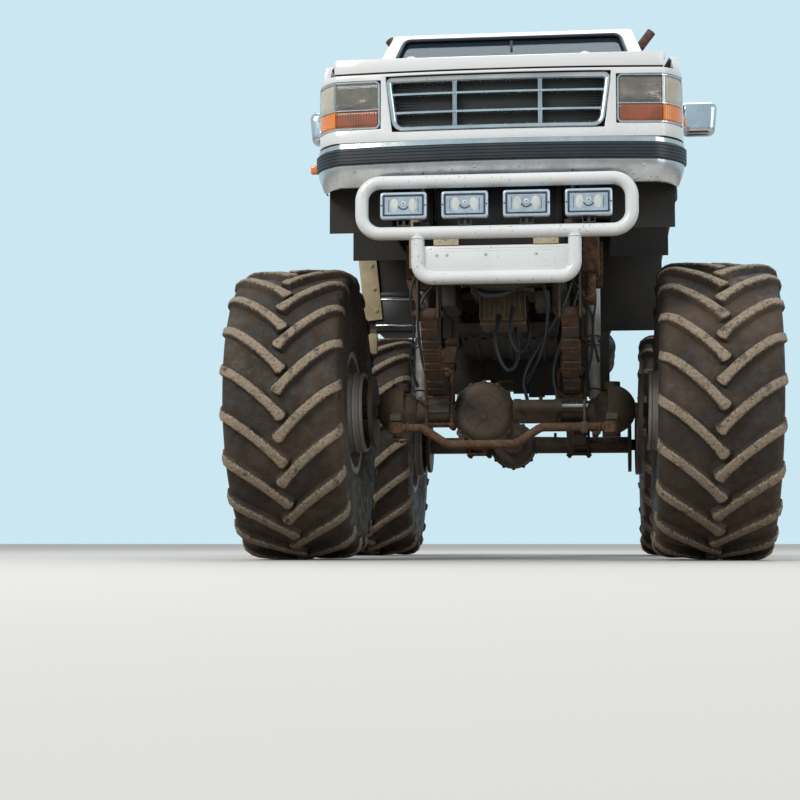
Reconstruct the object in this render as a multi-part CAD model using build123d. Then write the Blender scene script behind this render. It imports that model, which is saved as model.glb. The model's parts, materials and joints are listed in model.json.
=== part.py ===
"""A road pickup raised on military axles and flotation tyres, as a drivable monster truck.

Millimetres, +Z up, +X to the truck's own left, the nose towards -Y. Pieces are drawn with Y = 0 over the
front axle, and are moved as they are written, so that the origin is the ground point under mid length. The
body and the frame, with all they carry, are drawn on low springs and raised by body_lift in the same step.
"""
from build123d import *
import math
import os

# Length and stance
wheelbase = 3400.0
front_reach = 966.0          # front axle to the driving lamps' faces
rear_reach = 1300.0          # rear axle to the tow tongue's tip
track = 2350.0
front_camber = 1.5           # degrees, wheel tops leaning out
body_lift = 115.0            # the sprung pieces stand this much higher than they are drawn

# Tyres and rims
tyre_diameter = 1680.0       # over the lugs
tyre_width = 696.0
tread_width = 672.0
lug_height = 50.0
lugs_per_side = 20
lug_top = 54.0               # a lug's width over its top and over its foot
lug_foot = 86.0
lug_stagger = 180.0 / lugs_per_side
rim_half = tyre_width * 0.405
bead_radius = 330.0
rim_wall = 12.0
hub_radius = 118.0
drum_radius = 225.0
drum_width = 130.0
running_gap = 0.3            # radial clearance of shafts, pins and seats

# Axles
axle_tube_radius = 62.0
kingpin_x = 600.0
ball_radius = 112.0
cup_gap = 9.0
cup_wall = 20.0
kingpin_radius = 24.0
spindle_radius = 42.0
diff_x = -122.0
diff_bowl_radius = 168.0
steer_arm_y = -300.0         # tie rod's eyes, ahead of the kingpins
tie_rod_z = 736.0
tie_rod_radius = 24.0
tie_rod_dip = 92.0           # how far the rod drops under the differential
ball_stud_radius = 14.0

# Springs and frame
spring_x = 380.0
traction_x = 318.0           # ladder bars under the springs
traction_radius = 24.0
leaf_width = 92.0
leaf_thickness = 12.0
leaf_count = 9
spring_half_span = 700.0
spring_eye_z = 1326.0        # finished height
spring_eye_radius = 32.0
spring_pin_radius = 14.0
rail_x = 400.0
rail_width = 84.0
rail_bottom_z = 1490.0
rail_height = 190.0
frame_front_y = -880.0
frame_rear_y = 4360.0
shock_x = 506.0
shock_radius = 34.0

# Body heights and widths
sill_z = 1930.0
waist_half = 1003.0          # widest line of the body, which the other widths follow
sill_half = waist_half - 78
rocker_half = waist_half - 19
rocker_z = 1952.0
waist_z = 2330.0
shoulder_half = waist_half - 27
shoulder_z = 2640.0
belt_half = waist_half - 78
belt_z = 2706.0
rail_half = waist_half - 238
rail_z = 3198.0
roof_edge_half = waist_half - 313
roof_edge_z = rail_z + 70
roof_z = rail_z + 118
side_wall = 70.0
beyond_side = waist_half + 97    # clear of the body on either side, for cuts

# Body lengths, from the front axle
nose_y = -748.0
cowl_y = 480.0
screen_top_y = 962.0
screen_top_z = rail_z + 36
roof_rear_y = 1790.0
cab_back_y = 1900.0
door_front_y = 580.0
door_rear_y = 1590.0
door_bottom_z = 2010.0
door_top_z = rail_z - 21
door_gap = 9.0
bed_front_y = 1940.0
bed_rear_y = 4400.0
bed_floor_z = 2180.0
bed_top_z = 2712.0
arch_radius = 462.0
arch_z = 1850.0
liner_low_z = 1700.0

# Nose
hood_half = waist_half - 103
hood_front_top_z = 2616.0
hood_rear_top_z = 2722.0
hood_rear_y = 430.0
hood_skin = 32.0
hood_gap_z = hood_front_top_z - hood_skin * 2 - 18
hood_pivot_y = hood_rear_y - 6
hood_pivot_z = hood_rear_top_z - 50
hood_pin_radius = 8.0
nose_depth = 120.0
panel_gap = 6.0
nose_bottom_z = 2152.0
nose_rear_y = -480.0         # the nose panel ends here and the fenders begin
radiator_half = 345.0
radiator_front_y = -610.0
grille_top_half = 610.0
grille_bottom_half = grille_top_half - 36
grille_top_z = 2512.0
grille_bottom_z = 2206.0
grille_bar = 14.0
lamp_inner_half = grille_top_half + 26
lamp_outer_half = waist_half - 11
lamp_top_z = 2494.0
lamp_split_z = 2332.0
lamp_bottom_z = 2226.0
bumper_front_y = -802.0
bumper_bottom_z = 1906.0
bumper_top_z = 2146.0
bumper_half = waist_half + 1
strip_bottom_z = 2024.0
strip_top_z = 2112.0

# Bull bar
bar_radius = 35.0
bar_y = -930.0
bar_half = 710.0
bar_low_z = 1611.0
bar_high_z = 1885.0
bar_corner = 100.0
loop_half = 412.0
loop_low_z = 1370.0
lamp_pitch = 324.0
lamp_width = 248.0
lamp_height = 143.0

tyre_radius = tyre_diameter / 2
wheel_x = track / 2
rear_axle_y = wheelbase
overall_length = front_reach + wheelbase + rear_reach
mid_shift = front_reach - overall_length / 2     # places the front axle along the finished truck
kingpin_z = tyre_radius + (wheel_x - kingpin_x) * math.tan(math.radians(front_camber))

os.makedirs("parts", exist_ok=True)


# Drawing helpers
def block(x, y, z):
    """A box from three (low, high) spans."""
    spans = (x, y, z)
    sizes = [high - low for low, high in spans]
    middle = [(high + low) / 2 for low, high in spans]
    return Pos(*middle) * Box(*sizes)


def outline(points):
    return make_face(Polyline(*points, close=True))


def side_prism(points, x):
    """A closed outline of (y, z) points, stretched across the span x."""
    return extrude(Plane.YZ.offset(x[0]) * outline(points), amount=x[1] - x[0])


def front_prism(points, y):
    """A closed outline of (x, z) points, stretched along the span y."""
    return extrude(Plane.XZ.offset(-y[1]) * outline(points), amount=y[1] - y[0])


def plan_prism(points, z):
    """A closed outline of (x, y) points, stretched up the span z."""
    return extrude(Plane.XY.offset(z[0]) * outline(points), amount=z[1] - z[0])


def rod(start, end, radius):
    """A round bar between two points."""
    start, end = Vector(*start), Vector(*end)
    along = end - start
    return extrude(Plane(origin=start, z_dir=along) * Circle(radius), amount=along.length)


def bent_tube(points, radius, bend):
    """A round tube along straight runs joined by arcs; it closes on itself where its ends meet."""
    corners = [Vector(*point) for point in points]
    runs, start = [], corners[0]
    for before, corner, after in zip(corners, corners[1:], corners[2:]):
        back, ahead = (before - corner).normalized(), (after - corner).normalized()
        half_angle = math.acos(max(-1.0, min(1.0, back.dot(ahead)))) / 2
        reach = bend / math.tan(half_angle)
        middle = (back + ahead).normalized()
        centre = corner + middle * (bend / math.sin(half_angle))
        first, last = corner + back * reach, corner + ahead * reach
        runs += [Line(start, first), ThreePointArc(first, centre - middle * bend, last)]
        start = last
    runs.append(Line(start, corners[-1]))
    path = Wire(runs)
    return sweep(Plane(origin=corners[0], z_dir=corners[1] - corners[0]) * Circle(radius), path=path)


def cross_rod(x, y, z, radius):
    """A round bar along X over the span x."""
    return rod((x[0], y, z), (x[1], y, z), radius)


def upright(x, y, z, radius):
    """A round bar along Z over the span z."""
    return rod((x, y, z[0]), (x, y, z[1]), radius)


def mirrored(shape):
    return mirror(shape, about=Plane.YZ)


def both_sides(shape):
    """The piece and its mirror image on the truck's other side."""
    return Compound(children=[*shape.solids(), *mirrored(shape).solids()])


def group(*shapes):
    return Compound(children=[solid for shape in shapes for solid in shape.solids()])


def write(name, shape, lift=0.0):
    """Sets the piece in the truck's finished frame and writes it."""
    export_step(Pos(0, mid_shift, lift) * group(shape), f"parts/{name}.step")


# Body sections, seen from the front
def lower_half_outline():
    """Edges of the body's half section from the sill to the belt, from the centre line out and back."""
    return [
        Line((0, sill_z), (sill_half, sill_z)),
        Line((sill_half, sill_z), (rocker_half, rocker_z)),
        ThreePointArc((rocker_half, rocker_z), (waist_half, waist_z), (shoulder_half, shoulder_z)),
        Line((shoulder_half, shoulder_z), (belt_half, belt_z)),
    ]


def whole_section(half_edges, top_z):
    """A symmetric face from half its edges."""
    half = make_face([*half_edges, Line((0, top_z), (0, sill_z))])
    return half + mirror(half, about=Plane.YZ)


def body_section():
    return whole_section([*lower_half_outline(), Line((belt_half, belt_z), (0, belt_z))], belt_z)


def cab_section():
    corner = (rail_half - 22, rail_z + 46)
    upper = [
        Line((belt_half, belt_z), (rail_half, rail_z)),
        ThreePointArc((rail_half, rail_z), corner, (roof_edge_half, roof_edge_z)),
        ThreePointArc((roof_edge_half, roof_edge_z), (roof_edge_half / 2, roof_z - 12), (0, roof_z)),
    ]
    return whole_section([*lower_half_outline(), *upper], roof_z)


def along_body(section, y):
    """A section face stretched along the span y."""
    return extrude(Plane.XZ.offset(-y[1]) * section, amount=y[1] - y[0])


# Cab
def cab_side_outline():
    """The cab's side view, with a bowed roof."""
    roof = ThreePointArc(
        (screen_top_y, screen_top_z), ((screen_top_y + roof_rear_y) / 2, roof_z), (roof_rear_y, roof_edge_z)
    )
    return make_face([
        Line((cowl_y, sill_z), (cowl_y, belt_z)),
        Line((cowl_y, belt_z), (screen_top_y, screen_top_z)),
        roof,
        Line((roof_rear_y, roof_edge_z), (cab_back_y, belt_z)),
        Line((cab_back_y, belt_z), (cab_back_y, sill_z)),
        Line((cab_back_y, sill_z), (cowl_y, sill_z)),
    ])


def cab_solid(inset):
    """The cab's outer form, taken in on all sides by inset."""
    section = cab_section()
    side = cab_side_outline()
    if inset:
        section = offset(section, -inset, kind=Kind.ARC)
        side = offset(side, -inset, kind=Kind.ARC)
    across = extrude(Plane.YZ.offset(-waist_half - 1) * side, amount=2 * waist_half + 2)
    return along_body(section, (cowl_y - 1, cab_back_y + 1)) & across


def door_cutter(grow=0.0):
    """The door's form through the wall; its rear edge runs forward inwards, so that the swing clears."""
    inner_x, outer_x = rail_half - 205, waist_half + 57
    parts = []
    slopes = (  # rear edge's lean, its Y at the belt, low z, high z, rear Y gained up the edge
        (0.16, door_rear_y - 12.5, door_bottom_z - grow, belt_z, 0.0),
        (0.344, door_rear_y - 12.5, belt_z - 1, door_top_z + grow, 23.5),
    )
    for lean, belt_y, low, high, gain in slopes:
        faces = []
        for x in (inner_x, outer_x):
            rear = belt_y + (x - belt_half) * lean + grow
            front_top = door_front_y if gain == 0 else screen_top_y + 62
            points = [
                (door_front_y - grow, low), (front_top - grow, high), (rear + gain, high), (rear, low),
            ]
            faces.append(Plane.YZ.offset(x) * outline(points))
        parts.append(loft(faces, ruled=True))
    return parts[0] + parts[1]


def door_window_outline():
    frame = 66
    return [
        (door_front_y + frame + 30, belt_z + 62),
        (screen_top_y + 88, door_top_z - frame),
        (door_rear_y - 34 - frame, door_top_z - frame),
        (door_rear_y - frame, belt_z + 62),
    ]


screen_low_half = belt_half - 135
screen_high_half = roof_edge_half - 10
screen_opening = [
    (-screen_low_half, belt_z + 66), (screen_low_half, belt_z + 66),
    (screen_high_half, screen_top_z - 42), (-screen_high_half, screen_top_z - 42),
]
back_low_half = belt_half - 285
back_high_half = roof_edge_half - 100
back_opening = [
    (-back_low_half, belt_z + 90), (back_low_half, belt_z + 90),
    (back_high_half, roof_edge_z - 120), (-back_high_half, roof_edge_z - 120),
]
screen_corner = 46


def round_window(points, corner, shrink):
    """A window's face with round corners, taken in by shrink for the glass."""
    face = fillet(outline(points).vertices(), corner)
    return offset(face, -shrink) if shrink else face


def screen_cut(shrink=0.0):
    face = round_window(screen_opening, screen_corner, shrink)
    return extrude(Plane.XZ.offset(-(screen_top_y + 160)) * face, amount=screen_top_y + 160 - cowl_y + 60)


def back_cut(shrink=0.0):
    face = round_window(back_opening, screen_corner, shrink)
    return extrude(Plane.XZ.offset(-(cab_back_y + 60)) * face, amount=260)


def door_window_cut(shrink=0.0):
    face = round_window(door_window_outline(), 40, shrink)
    return extrude(Plane.YZ.offset(rail_half - 165) * face, amount=500)


cab_outer = cab_solid(0)
cab_inner = cab_solid(side_wall)
cab_wall = cab_outer - cab_inner
glass_layer = cab_solid(22) - cab_solid(28)
hinge_x = waist_half - 31
hinge_y = door_front_y + 140
hinge_pin_radius = 8.0


def door_opening():
    return door_cutter(door_gap)


def door_pin(grow=0.0):
    return upright(hinge_x, hinge_y, (door_bottom_z - 40, door_bottom_z + 1), hinge_pin_radius + grow)


fender_skin = 34.0


def fender_lap(grow=0.0):
    """The body's outer layer between the cowl and the doors, which belongs to the fenders."""
    inner = offset(body_section(), -fender_skin - grow, kind=Kind.ARC)
    layer = body_section() - inner
    return along_body(layer, (cowl_y - 1 - grow, door_front_y - door_gap + grow))


def cab_shell():
    opening = door_opening()
    bore = door_pin(running_gap)
    shell = cab_wall - screen_cut() - back_cut() - opening - mirrored(opening) - bore - mirrored(bore)
    shell = shell - (fender_lap(running_gap) & block(
        (-beyond_side, beyond_side), (cowl_y - 80, cowl_y + 120), (sill_z + 60, belt_z)))
    tunnel = block((-210, 210), (cowl_y + 20, 1080), (sill_z + 20, sill_z + 260))
    hollow = block((-180, 180), (cowl_y - 10, 1050), (sill_z - 10, sill_z + 230))
    shell = (shell + (tunnel & cab_inner)) - hollow
    ledge_half = hood_half - 50
    shell = shell + block((-ledge_half, ledge_half), (cowl_y - 36, cowl_y + 2),
                          (hood_pivot_z - 112, hood_pivot_z - 60))
    for side in (-1, 1):
        inner_x, outer_x = sorted((side * (hood_half - 65), side * (hood_half - 44)))
        arm = block((inner_x, outer_x), (hood_pivot_y, cowl_y + 2), (hood_pivot_z - 20, hood_pivot_z - 8))
        boss = cross_rod((inner_x, outer_x), hood_pivot_y, hood_pivot_z, hood_pin_radius + 4)
        ends = sorted((side * (hood_half - 50), side * (hood_half - 24)))
        shell = shell + arm + boss + cross_rod(ends, hood_pivot_y, hood_pivot_z, hood_pin_radius)
    return shell


def door_left():
    door = cab_wall & door_cutter()
    return door - door_window_cut() + door_pin()


def door_glass_left():
    return glass_layer & door_window_cut(running_gap)


def cab_glass():
    return group(glass_layer & screen_cut(running_gap), glass_layer & back_cut(running_gap))


# Nose
def nose_plan(inset=0.0):
    """The nose seen from above: bowed front and round corners."""
    bow, corner_y, corner_x = 46, nose_y + 250, 118
    half = waist_half - inset
    front = nose_y + inset
    face = make_face([
        ThreePointArc((-half + corner_x, front + bow), (0, front), (half - corner_x, front + bow)),
        ThreePointArc((half - corner_x, front + bow), (half - 30, corner_y - 110), (half, corner_y)),
        Line((half, corner_y), (half, cowl_y)),
        Line((half, cowl_y), (-half, cowl_y)),
        Line((-half, cowl_y), (-half, corner_y)),
        ThreePointArc((-half, corner_y), (-half + 30, corner_y - 110), (-half + corner_x, front + bow)),
    ])
    return face


def nose_block(z, inset=0.0):
    """The nose's plan raised over the span z, inside the body's section."""
    raised = extrude(Plane.XY.offset(z[0]) * nose_plan(inset), amount=z[1] - z[0])
    return raised & along_body(body_section(), (nose_y - 10, cowl_y + 10))


def grille_outline(grow=0.0):
    top, bottom = grille_top_half + grow, grille_bottom_half + grow
    high, low = grille_top_z + grow, grille_bottom_z - grow
    return [(-top, high), (top, high), (bottom, low), (-bottom, low)]


def lamp_block(z):
    """The corner space of a lamp over the span z, from just inside the nose's skin."""
    return block((lamp_inner_half, lamp_outer_half), (nose_y - 20, nose_y + 250), z)


def front_panel():
    span = block((-waist_half, waist_half), (nose_y - 10, nose_rear_y), (nose_bottom_z, hood_gap_z))
    shape = nose_block((nose_bottom_z, hood_gap_z - 4)) & span
    shape = shape - nose_block((nose_bottom_z + 30, hood_gap_z), nose_depth)
    slot_half = radiator_half + 7
    shape = shape - block((-slot_half, slot_half), (radiator_front_y - 7, nose_rear_y + 10),
                          (nose_bottom_z - 10, nose_bottom_z + 40))
    shape = shape - front_prism(grille_outline(), (nose_y - 20, nose_y + 300))
    for lamp in (lamp_block((lamp_split_z, lamp_top_z)), lamp_block((lamp_bottom_z, lamp_split_z))):
        shape = shape - lamp - mirrored(lamp)
    return shape


def grille_face(inset, corner):
    """The grille's outline taken in by inset, with round lower corners."""
    face = outline(grille_outline(-inset))
    low = face.vertices().sort_by(Axis.Y)[:2]
    return fillet(low, corner)


def grille():
    """A bright frame with two level bars and two pairs of uprights."""
    plane = Plane.XZ.offset(-(nose_y + 62))
    shell = grille_face(running_gap, 58) - grille_face(24, 40)
    inside = extrude(plane * grille_face(18, 44), amount=200)
    shape = extrude(plane * shell, amount=74)
    height = grille_top_z - grille_bottom_z
    for third in (1, 2):
        z = grille_bottom_z + height * third / 3
        shape = shape + (inside & block((-grille_top_half, grille_top_half), (nose_y, nose_y + 44),
                                        (z - grille_bar / 2, z + grille_bar / 2)))
    for x in (-grille_top_half * 0.377, grille_top_half * 0.377):
        for rib_x in (x - grille_bar * 0.6, x + grille_bar * 0.6):
            shape = shape + (inside & block((rib_x - grille_bar * 0.35, rib_x + grille_bar * 0.35),
                                            (nose_y - 6, nose_y + 50), (grille_bottom_z, grille_top_z)))
    return shape


def lamp_unit(z, proud):
    """One corner lamp, its face following the nose."""
    body = nose_block(z, -proud) & lamp_block((z[0] + running_gap, z[1] - running_gap))
    across = (lamp_inner_half + running_gap, lamp_outer_half - running_gap)
    return body & block(across, (nose_y - 20, nose_y + 190), z)


def fender_left():
    skin = whole_nose_skin()
    along = (nose_rear_y + panel_gap, door_front_y - door_gap)
    side = skin & block((0, waist_half), along, (sill_z + 60, belt_z))
    side = side - hood_clearance()
    return side - arch_cut(0)


def whole_nose_skin():
    """The body's outer layer from the nose to the doors."""
    inner_section = offset(body_section(), -fender_skin, kind=Kind.ARC)
    outer = nose_block((sill_z, belt_z)) + fender_lap()
    return outer - along_body(inner_section, (nose_y - 20, cowl_y + 300))


def hood_clearance():
    """The space of the hood and all above it."""
    above = side_prism([
        (nose_y - 50, hood_front_top_z), (hood_rear_y, hood_rear_top_z), (cowl_y + 300, hood_rear_top_z),
        (cowl_y + 300, hood_rear_top_z + 100), (nose_y - 50, hood_rear_top_z + 100),
    ], (-beyond_side, beyond_side))
    return above + block((0, hood_half + panel_gap), (nose_y - 20, cowl_y + 200), (hood_gap_z, belt_z + 10))


def arch_cut(y, radius=arch_radius, x=(waist_half - 363, waist_half + 197)):
    """The wheel arches' round space on both sides."""
    side = cross_rod(x, y, arch_z, radius)
    return side + mirrored(side)


def fender_liners():
    """Round liners over the front wheels, closed towards the engine, with sheets that hang fore and aft."""
    inner_x, outer_x, sheet = waist_half - 403, waist_half - 51, 12
    front_y, rear_y = nose_rear_y + running_gap, cowl_y - running_gap
    shell = cross_rod((inner_x, outer_x), 0, arch_z, arch_radius + 30) - cross_rod(
        (inner_x + sheet, outer_x + 1), 0, arch_z, arch_radius + 18)
    shell = shell & block((inner_x, outer_x), (-600, 600), (1995, 2500))
    apron = block((inner_x, inner_x + sheet), (front_y, rear_y), (liner_low_z, 2420))
    shape = (apron - cross_rod((inner_x + sheet, outer_x), 0, arch_z, arch_radius + 18)) + shell
    for near, far in ((front_y, front_y + sheet), (rear_y - sheet, rear_y)):
        shape = shape + block((inner_x, outer_x), (near, far), (liner_low_z, 2010))
    return both_sides(shape)


def hood():
    top = [
        (nose_y + 6, hood_front_top_z - 10), (nose_y + 34, hood_front_top_z), (hood_rear_y, hood_rear_top_z),
    ]
    under = [
        (hood_rear_y, hood_rear_top_z - hood_skin), (nose_y + 60, hood_front_top_z - hood_skin),
        (nose_y + 60, hood_gap_z + panel_gap), (nose_y + 6, hood_gap_z + panel_gap),
    ]
    shape = side_prism(top + under, (-hood_half, hood_half))
    plan = extrude(Plane.XY.offset(2000) * nose_plan(4), amount=1000)
    shape = shape & plan
    ear = block((hood_half - 42, hood_half - 28), (hood_pivot_y - 24, hood_pivot_y + 16),
                (hood_pivot_z - 16, hood_pivot_z + 30))
    bore_radius = hood_pin_radius + running_gap
    bore = cross_rod((hood_half - 50, hood_half - 20), hood_pivot_y, hood_pivot_z, bore_radius)
    return shape + ear + mirrored(ear) - bore - mirrored(bore)


def bumper_plan(grow):
    bow, wrap_y = 60, -490
    half = bumper_half + grow
    front = bumper_front_y - grow
    side_x = half - 150
    return make_face([
        ThreePointArc((-side_x, front + bow), (0, front), (side_x, front + bow)),
        ThreePointArc((side_x, front + bow), (half - 34, front + bow + 110), (half, wrap_y - 60)),
        Line((half, wrap_y - 60), (half, wrap_y)),
        Line((half, wrap_y), (-half, wrap_y)),
        Line((-half, wrap_y), (-half, wrap_y - 60)),
        ThreePointArc((-half, wrap_y - 60), (-half + 34, front + bow + 110), (-side_x, front + bow)),
    ])


def bumper_form(inset):
    """The bumper's solid form: upright above, tucked in below."""
    plan = offset(bumper_plan(0), -inset) if inset else bumper_plan(0)
    upper = extrude(Plane.XY.offset(strip_bottom_z) * plan, amount=bumper_top_z - strip_bottom_z)
    lower = extrude(Plane.XY.offset(strip_bottom_z) * plan, amount=bumper_bottom_z - strip_bottom_z, taper=18)
    return upper + lower


def front_bumper():
    wall = 26
    ring = bumper_plan(20) - bumper_plan(-6)
    strip_seat = extrude(Plane.XY.offset(strip_bottom_z) * ring, amount=strip_top_z - strip_bottom_z)
    inner_half = bumper_half - wall
    back = block((-inner_half, inner_half), (-560, -400), (bumper_bottom_z - 10, bumper_top_z + 50))
    shell = bumper_form(0) - bumper_form(wall) - back - strip_seat
    arm = block((rail_x - 6, rail_x + 6), (bumper_front_y + 22, -590),
                (rail_bottom_z + rail_height + running_gap, strip_bottom_z + 60))
    return shell + arm + mirrored(arm)


def bumper_strip():
    band = bumper_plan(12) - bumper_plan(-6 + running_gap)
    height = strip_top_z - strip_bottom_z - 2 * running_gap
    strip = extrude(Plane.XY.offset(strip_bottom_z + running_gap) * band, amount=height)
    return strip & block((-beyond_side, beyond_side), (-900, -490), (bumper_bottom_z, bumper_top_z + 50))


# Bull bar with its lamps
def bull_bar():
    upper = bent_tube([
        (0, bar_y, bar_low_z), (bar_half, bar_y, bar_low_z), (bar_half, bar_y, bar_high_z),
        (-bar_half, bar_y, bar_high_z), (-bar_half, bar_y, bar_low_z), (0, bar_y, bar_low_z),
    ], bar_radius, bar_corner)
    lower = bent_tube([
        (-loop_half, bar_y, bar_low_z), (-loop_half, bar_y, loop_low_z), (loop_half, bar_y, loop_low_z),
        (loop_half, bar_y, bar_low_z),
    ], bar_radius, 78)
    panel = block((-loop_half, loop_half), (bar_y - 3, bar_y + 3), (loop_low_z, bar_low_z - 71))
    tabs = [block((x - 66, x + 66), (bar_y - 5, bar_y + 5), (bar_low_z - 91, bar_low_z)) for x in (-262, 262)]
    arms = [
        block((x - 6, x + 6), (bar_y, frame_front_y), (rail_bottom_z + 10, rail_bottom_z + 150))
        for x in (-rail_x, rail_x)
    ]
    shape = upper + lower + panel
    for piece in (*tabs, *arms):
        shape = shape + piece
    return shape


def driving_lamp(x):
    """A rectangular lamp with a raised rim and a tapering back, on a foot over the bull bar's lower tube."""
    z = bar_low_z + 144
    shoulder_y = bar_y + 8
    rim = 12
    face = RectangleRounded(lamp_width, lamp_height, 14)
    front = extrude(Plane.XZ.offset(-shoulder_y) * Pos(x, z) * face, amount=44)
    sunk = extrude(Plane.XZ.offset(-shoulder_y + 34) * Pos(x, z) * RectangleRounded(
        lamp_width - 2 * rim, lamp_height - 2 * rim, 8), amount=20)
    back = extrude(Plane.XZ.offset(-shoulder_y) * Pos(x, z) * face, amount=-48, taper=24)
    foot = upright(x, bar_y, (bar_low_z + bar_radius + running_gap, z), 13)
    bulb = rod((x, shoulder_y - 30, z), (x, shoulder_y - 42, z), 20)
    return front - sunk + bulb + back + foot


# Bed
stack_x = waist_half - 258
stack_y = bed_front_y + 104
stack_foot_z = bed_floor_z - 20   # the stacks stand in pockets in the bed's floor
stack_radius = 32.0
gate_pin_radius = 12.0


def bed_box():
    outer = along_body(body_section(), (bed_front_y, bed_rear_y)) & block(
        (-beyond_side, beyond_side), (bed_front_y, bed_rear_y), (sill_z + 60, bed_top_z))
    half = waist_half - 150
    hold = block((-half, half), (bed_front_y + 50, bed_rear_y + 10), (bed_floor_z, bed_top_z + 10))
    under = block((-waist_half + 60, waist_half - 60), (bed_front_y + 40, bed_rear_y - 70),
                  (sill_z, bed_floor_z - 40))
    gate = block((-half, half), (bed_rear_y - 80, bed_rear_y + 10), (sill_z, bed_top_z + 10))
    arch = arch_cut(rear_axle_y)
    shape = outer - hold - under - gate - arch
    housing = arch_cut(rear_axle_y, arch_radius + 18, (waist_half - 381, waist_half - 60))
    housing = housing & block((-beyond_side, beyond_side), (rear_axle_y - 500, rear_axle_y + 500),
                              (bed_floor_z - 10, bed_top_z))
    shape = shape + (housing - arch)
    pocket = block((stack_x - 48, stack_x + 48),
                   (bed_front_y + 50, stack_y + 48), (stack_foot_z, bed_floor_z + 1))
    shape = shape - pocket - mirrored(pocket)
    pin_seat = cross_rod((-waist_half + 100, waist_half - 100), bed_rear_y - 32, bed_floor_z + 36,
                         gate_pin_radius + running_gap)
    return shape - pin_seat


def tailgate():
    half = waist_half - 150 - panel_gap
    panel = block((-half, half), (bed_rear_y - 62, bed_rear_y - 2), (bed_floor_z + 11, bed_top_z))
    press = block((-half + 120, half - 120), (bed_rear_y - 14, bed_rear_y + 10),
                  (bed_floor_z + 130, bed_top_z - 120))
    pin = cross_rod((-waist_half + 110, waist_half - 110), bed_rear_y - 32, bed_floor_z + 36, gate_pin_radius)
    return panel - press + pin


def tail_lamp():
    return block((waist_half - 146, waist_half - 32),
                 (bed_rear_y + running_gap, bed_rear_y + 16), (2300, 2640))


def rear_bumper():
    y, half = bed_rear_y + 22, waist_half - 43
    beam = block((-half, half), (y, y + 150), (1990, 2150))
    beam = fillet(beam.edges().filter_by(Axis.Z), 40)
    step = block((-330, 330), (y + 40, y + 160), (2120, 2160))
    arms = [
        block((x - 6, x + 6), (frame_rear_y - 150, y + 20), (rail_bottom_z + rail_height + running_gap, 2060))
        for x in (-rail_x, rail_x)
    ]
    shape = beam - step
    for arm in arms:
        shape = shape + arm
    return shape


tow_pin_radius = 16.0
tow_y = rear_axle_y + rear_reach - 42
tow_z = 1585.0
tow_thickness = 38.0


def tow_tongue():
    thick = (tow_z - tow_thickness / 2, tow_z + tow_thickness / 2)
    bar = block((-48, 48), (frame_rear_y - 100, tow_y), thick)
    nose = upright(0, tow_y, thick, 42)
    inner = rail_x - rail_width / 2 + 5
    cross = block((-inner, inner), (frame_rear_y - 130, frame_rear_y - 50), (tow_z - 50, tow_z + 50))
    return bar + nose + cross - upright(0, tow_y, (tow_z - 60, tow_z + 60), tow_pin_radius)


tow_eye_radius = 20.0
tow_eye_y = -822.0
tow_eye_z = 1428.0


def tow_eye(x):
    plate = block((x - 14, x + 14), (tow_eye_y - 45, tow_eye_y + 75), (tow_eye_z, rail_bottom_z + 5))
    ring = cross_rod((x - 14, x + 14), tow_eye_y, tow_eye_z, 45)
    return plate + ring - cross_rod((x - 20, x + 20), tow_eye_y, tow_eye_z, tow_eye_radius)


# Frame
cross_y = 1730.0             # low crossmember that carries the transfer case and the traction bars
cross_z = 1052.0


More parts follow.
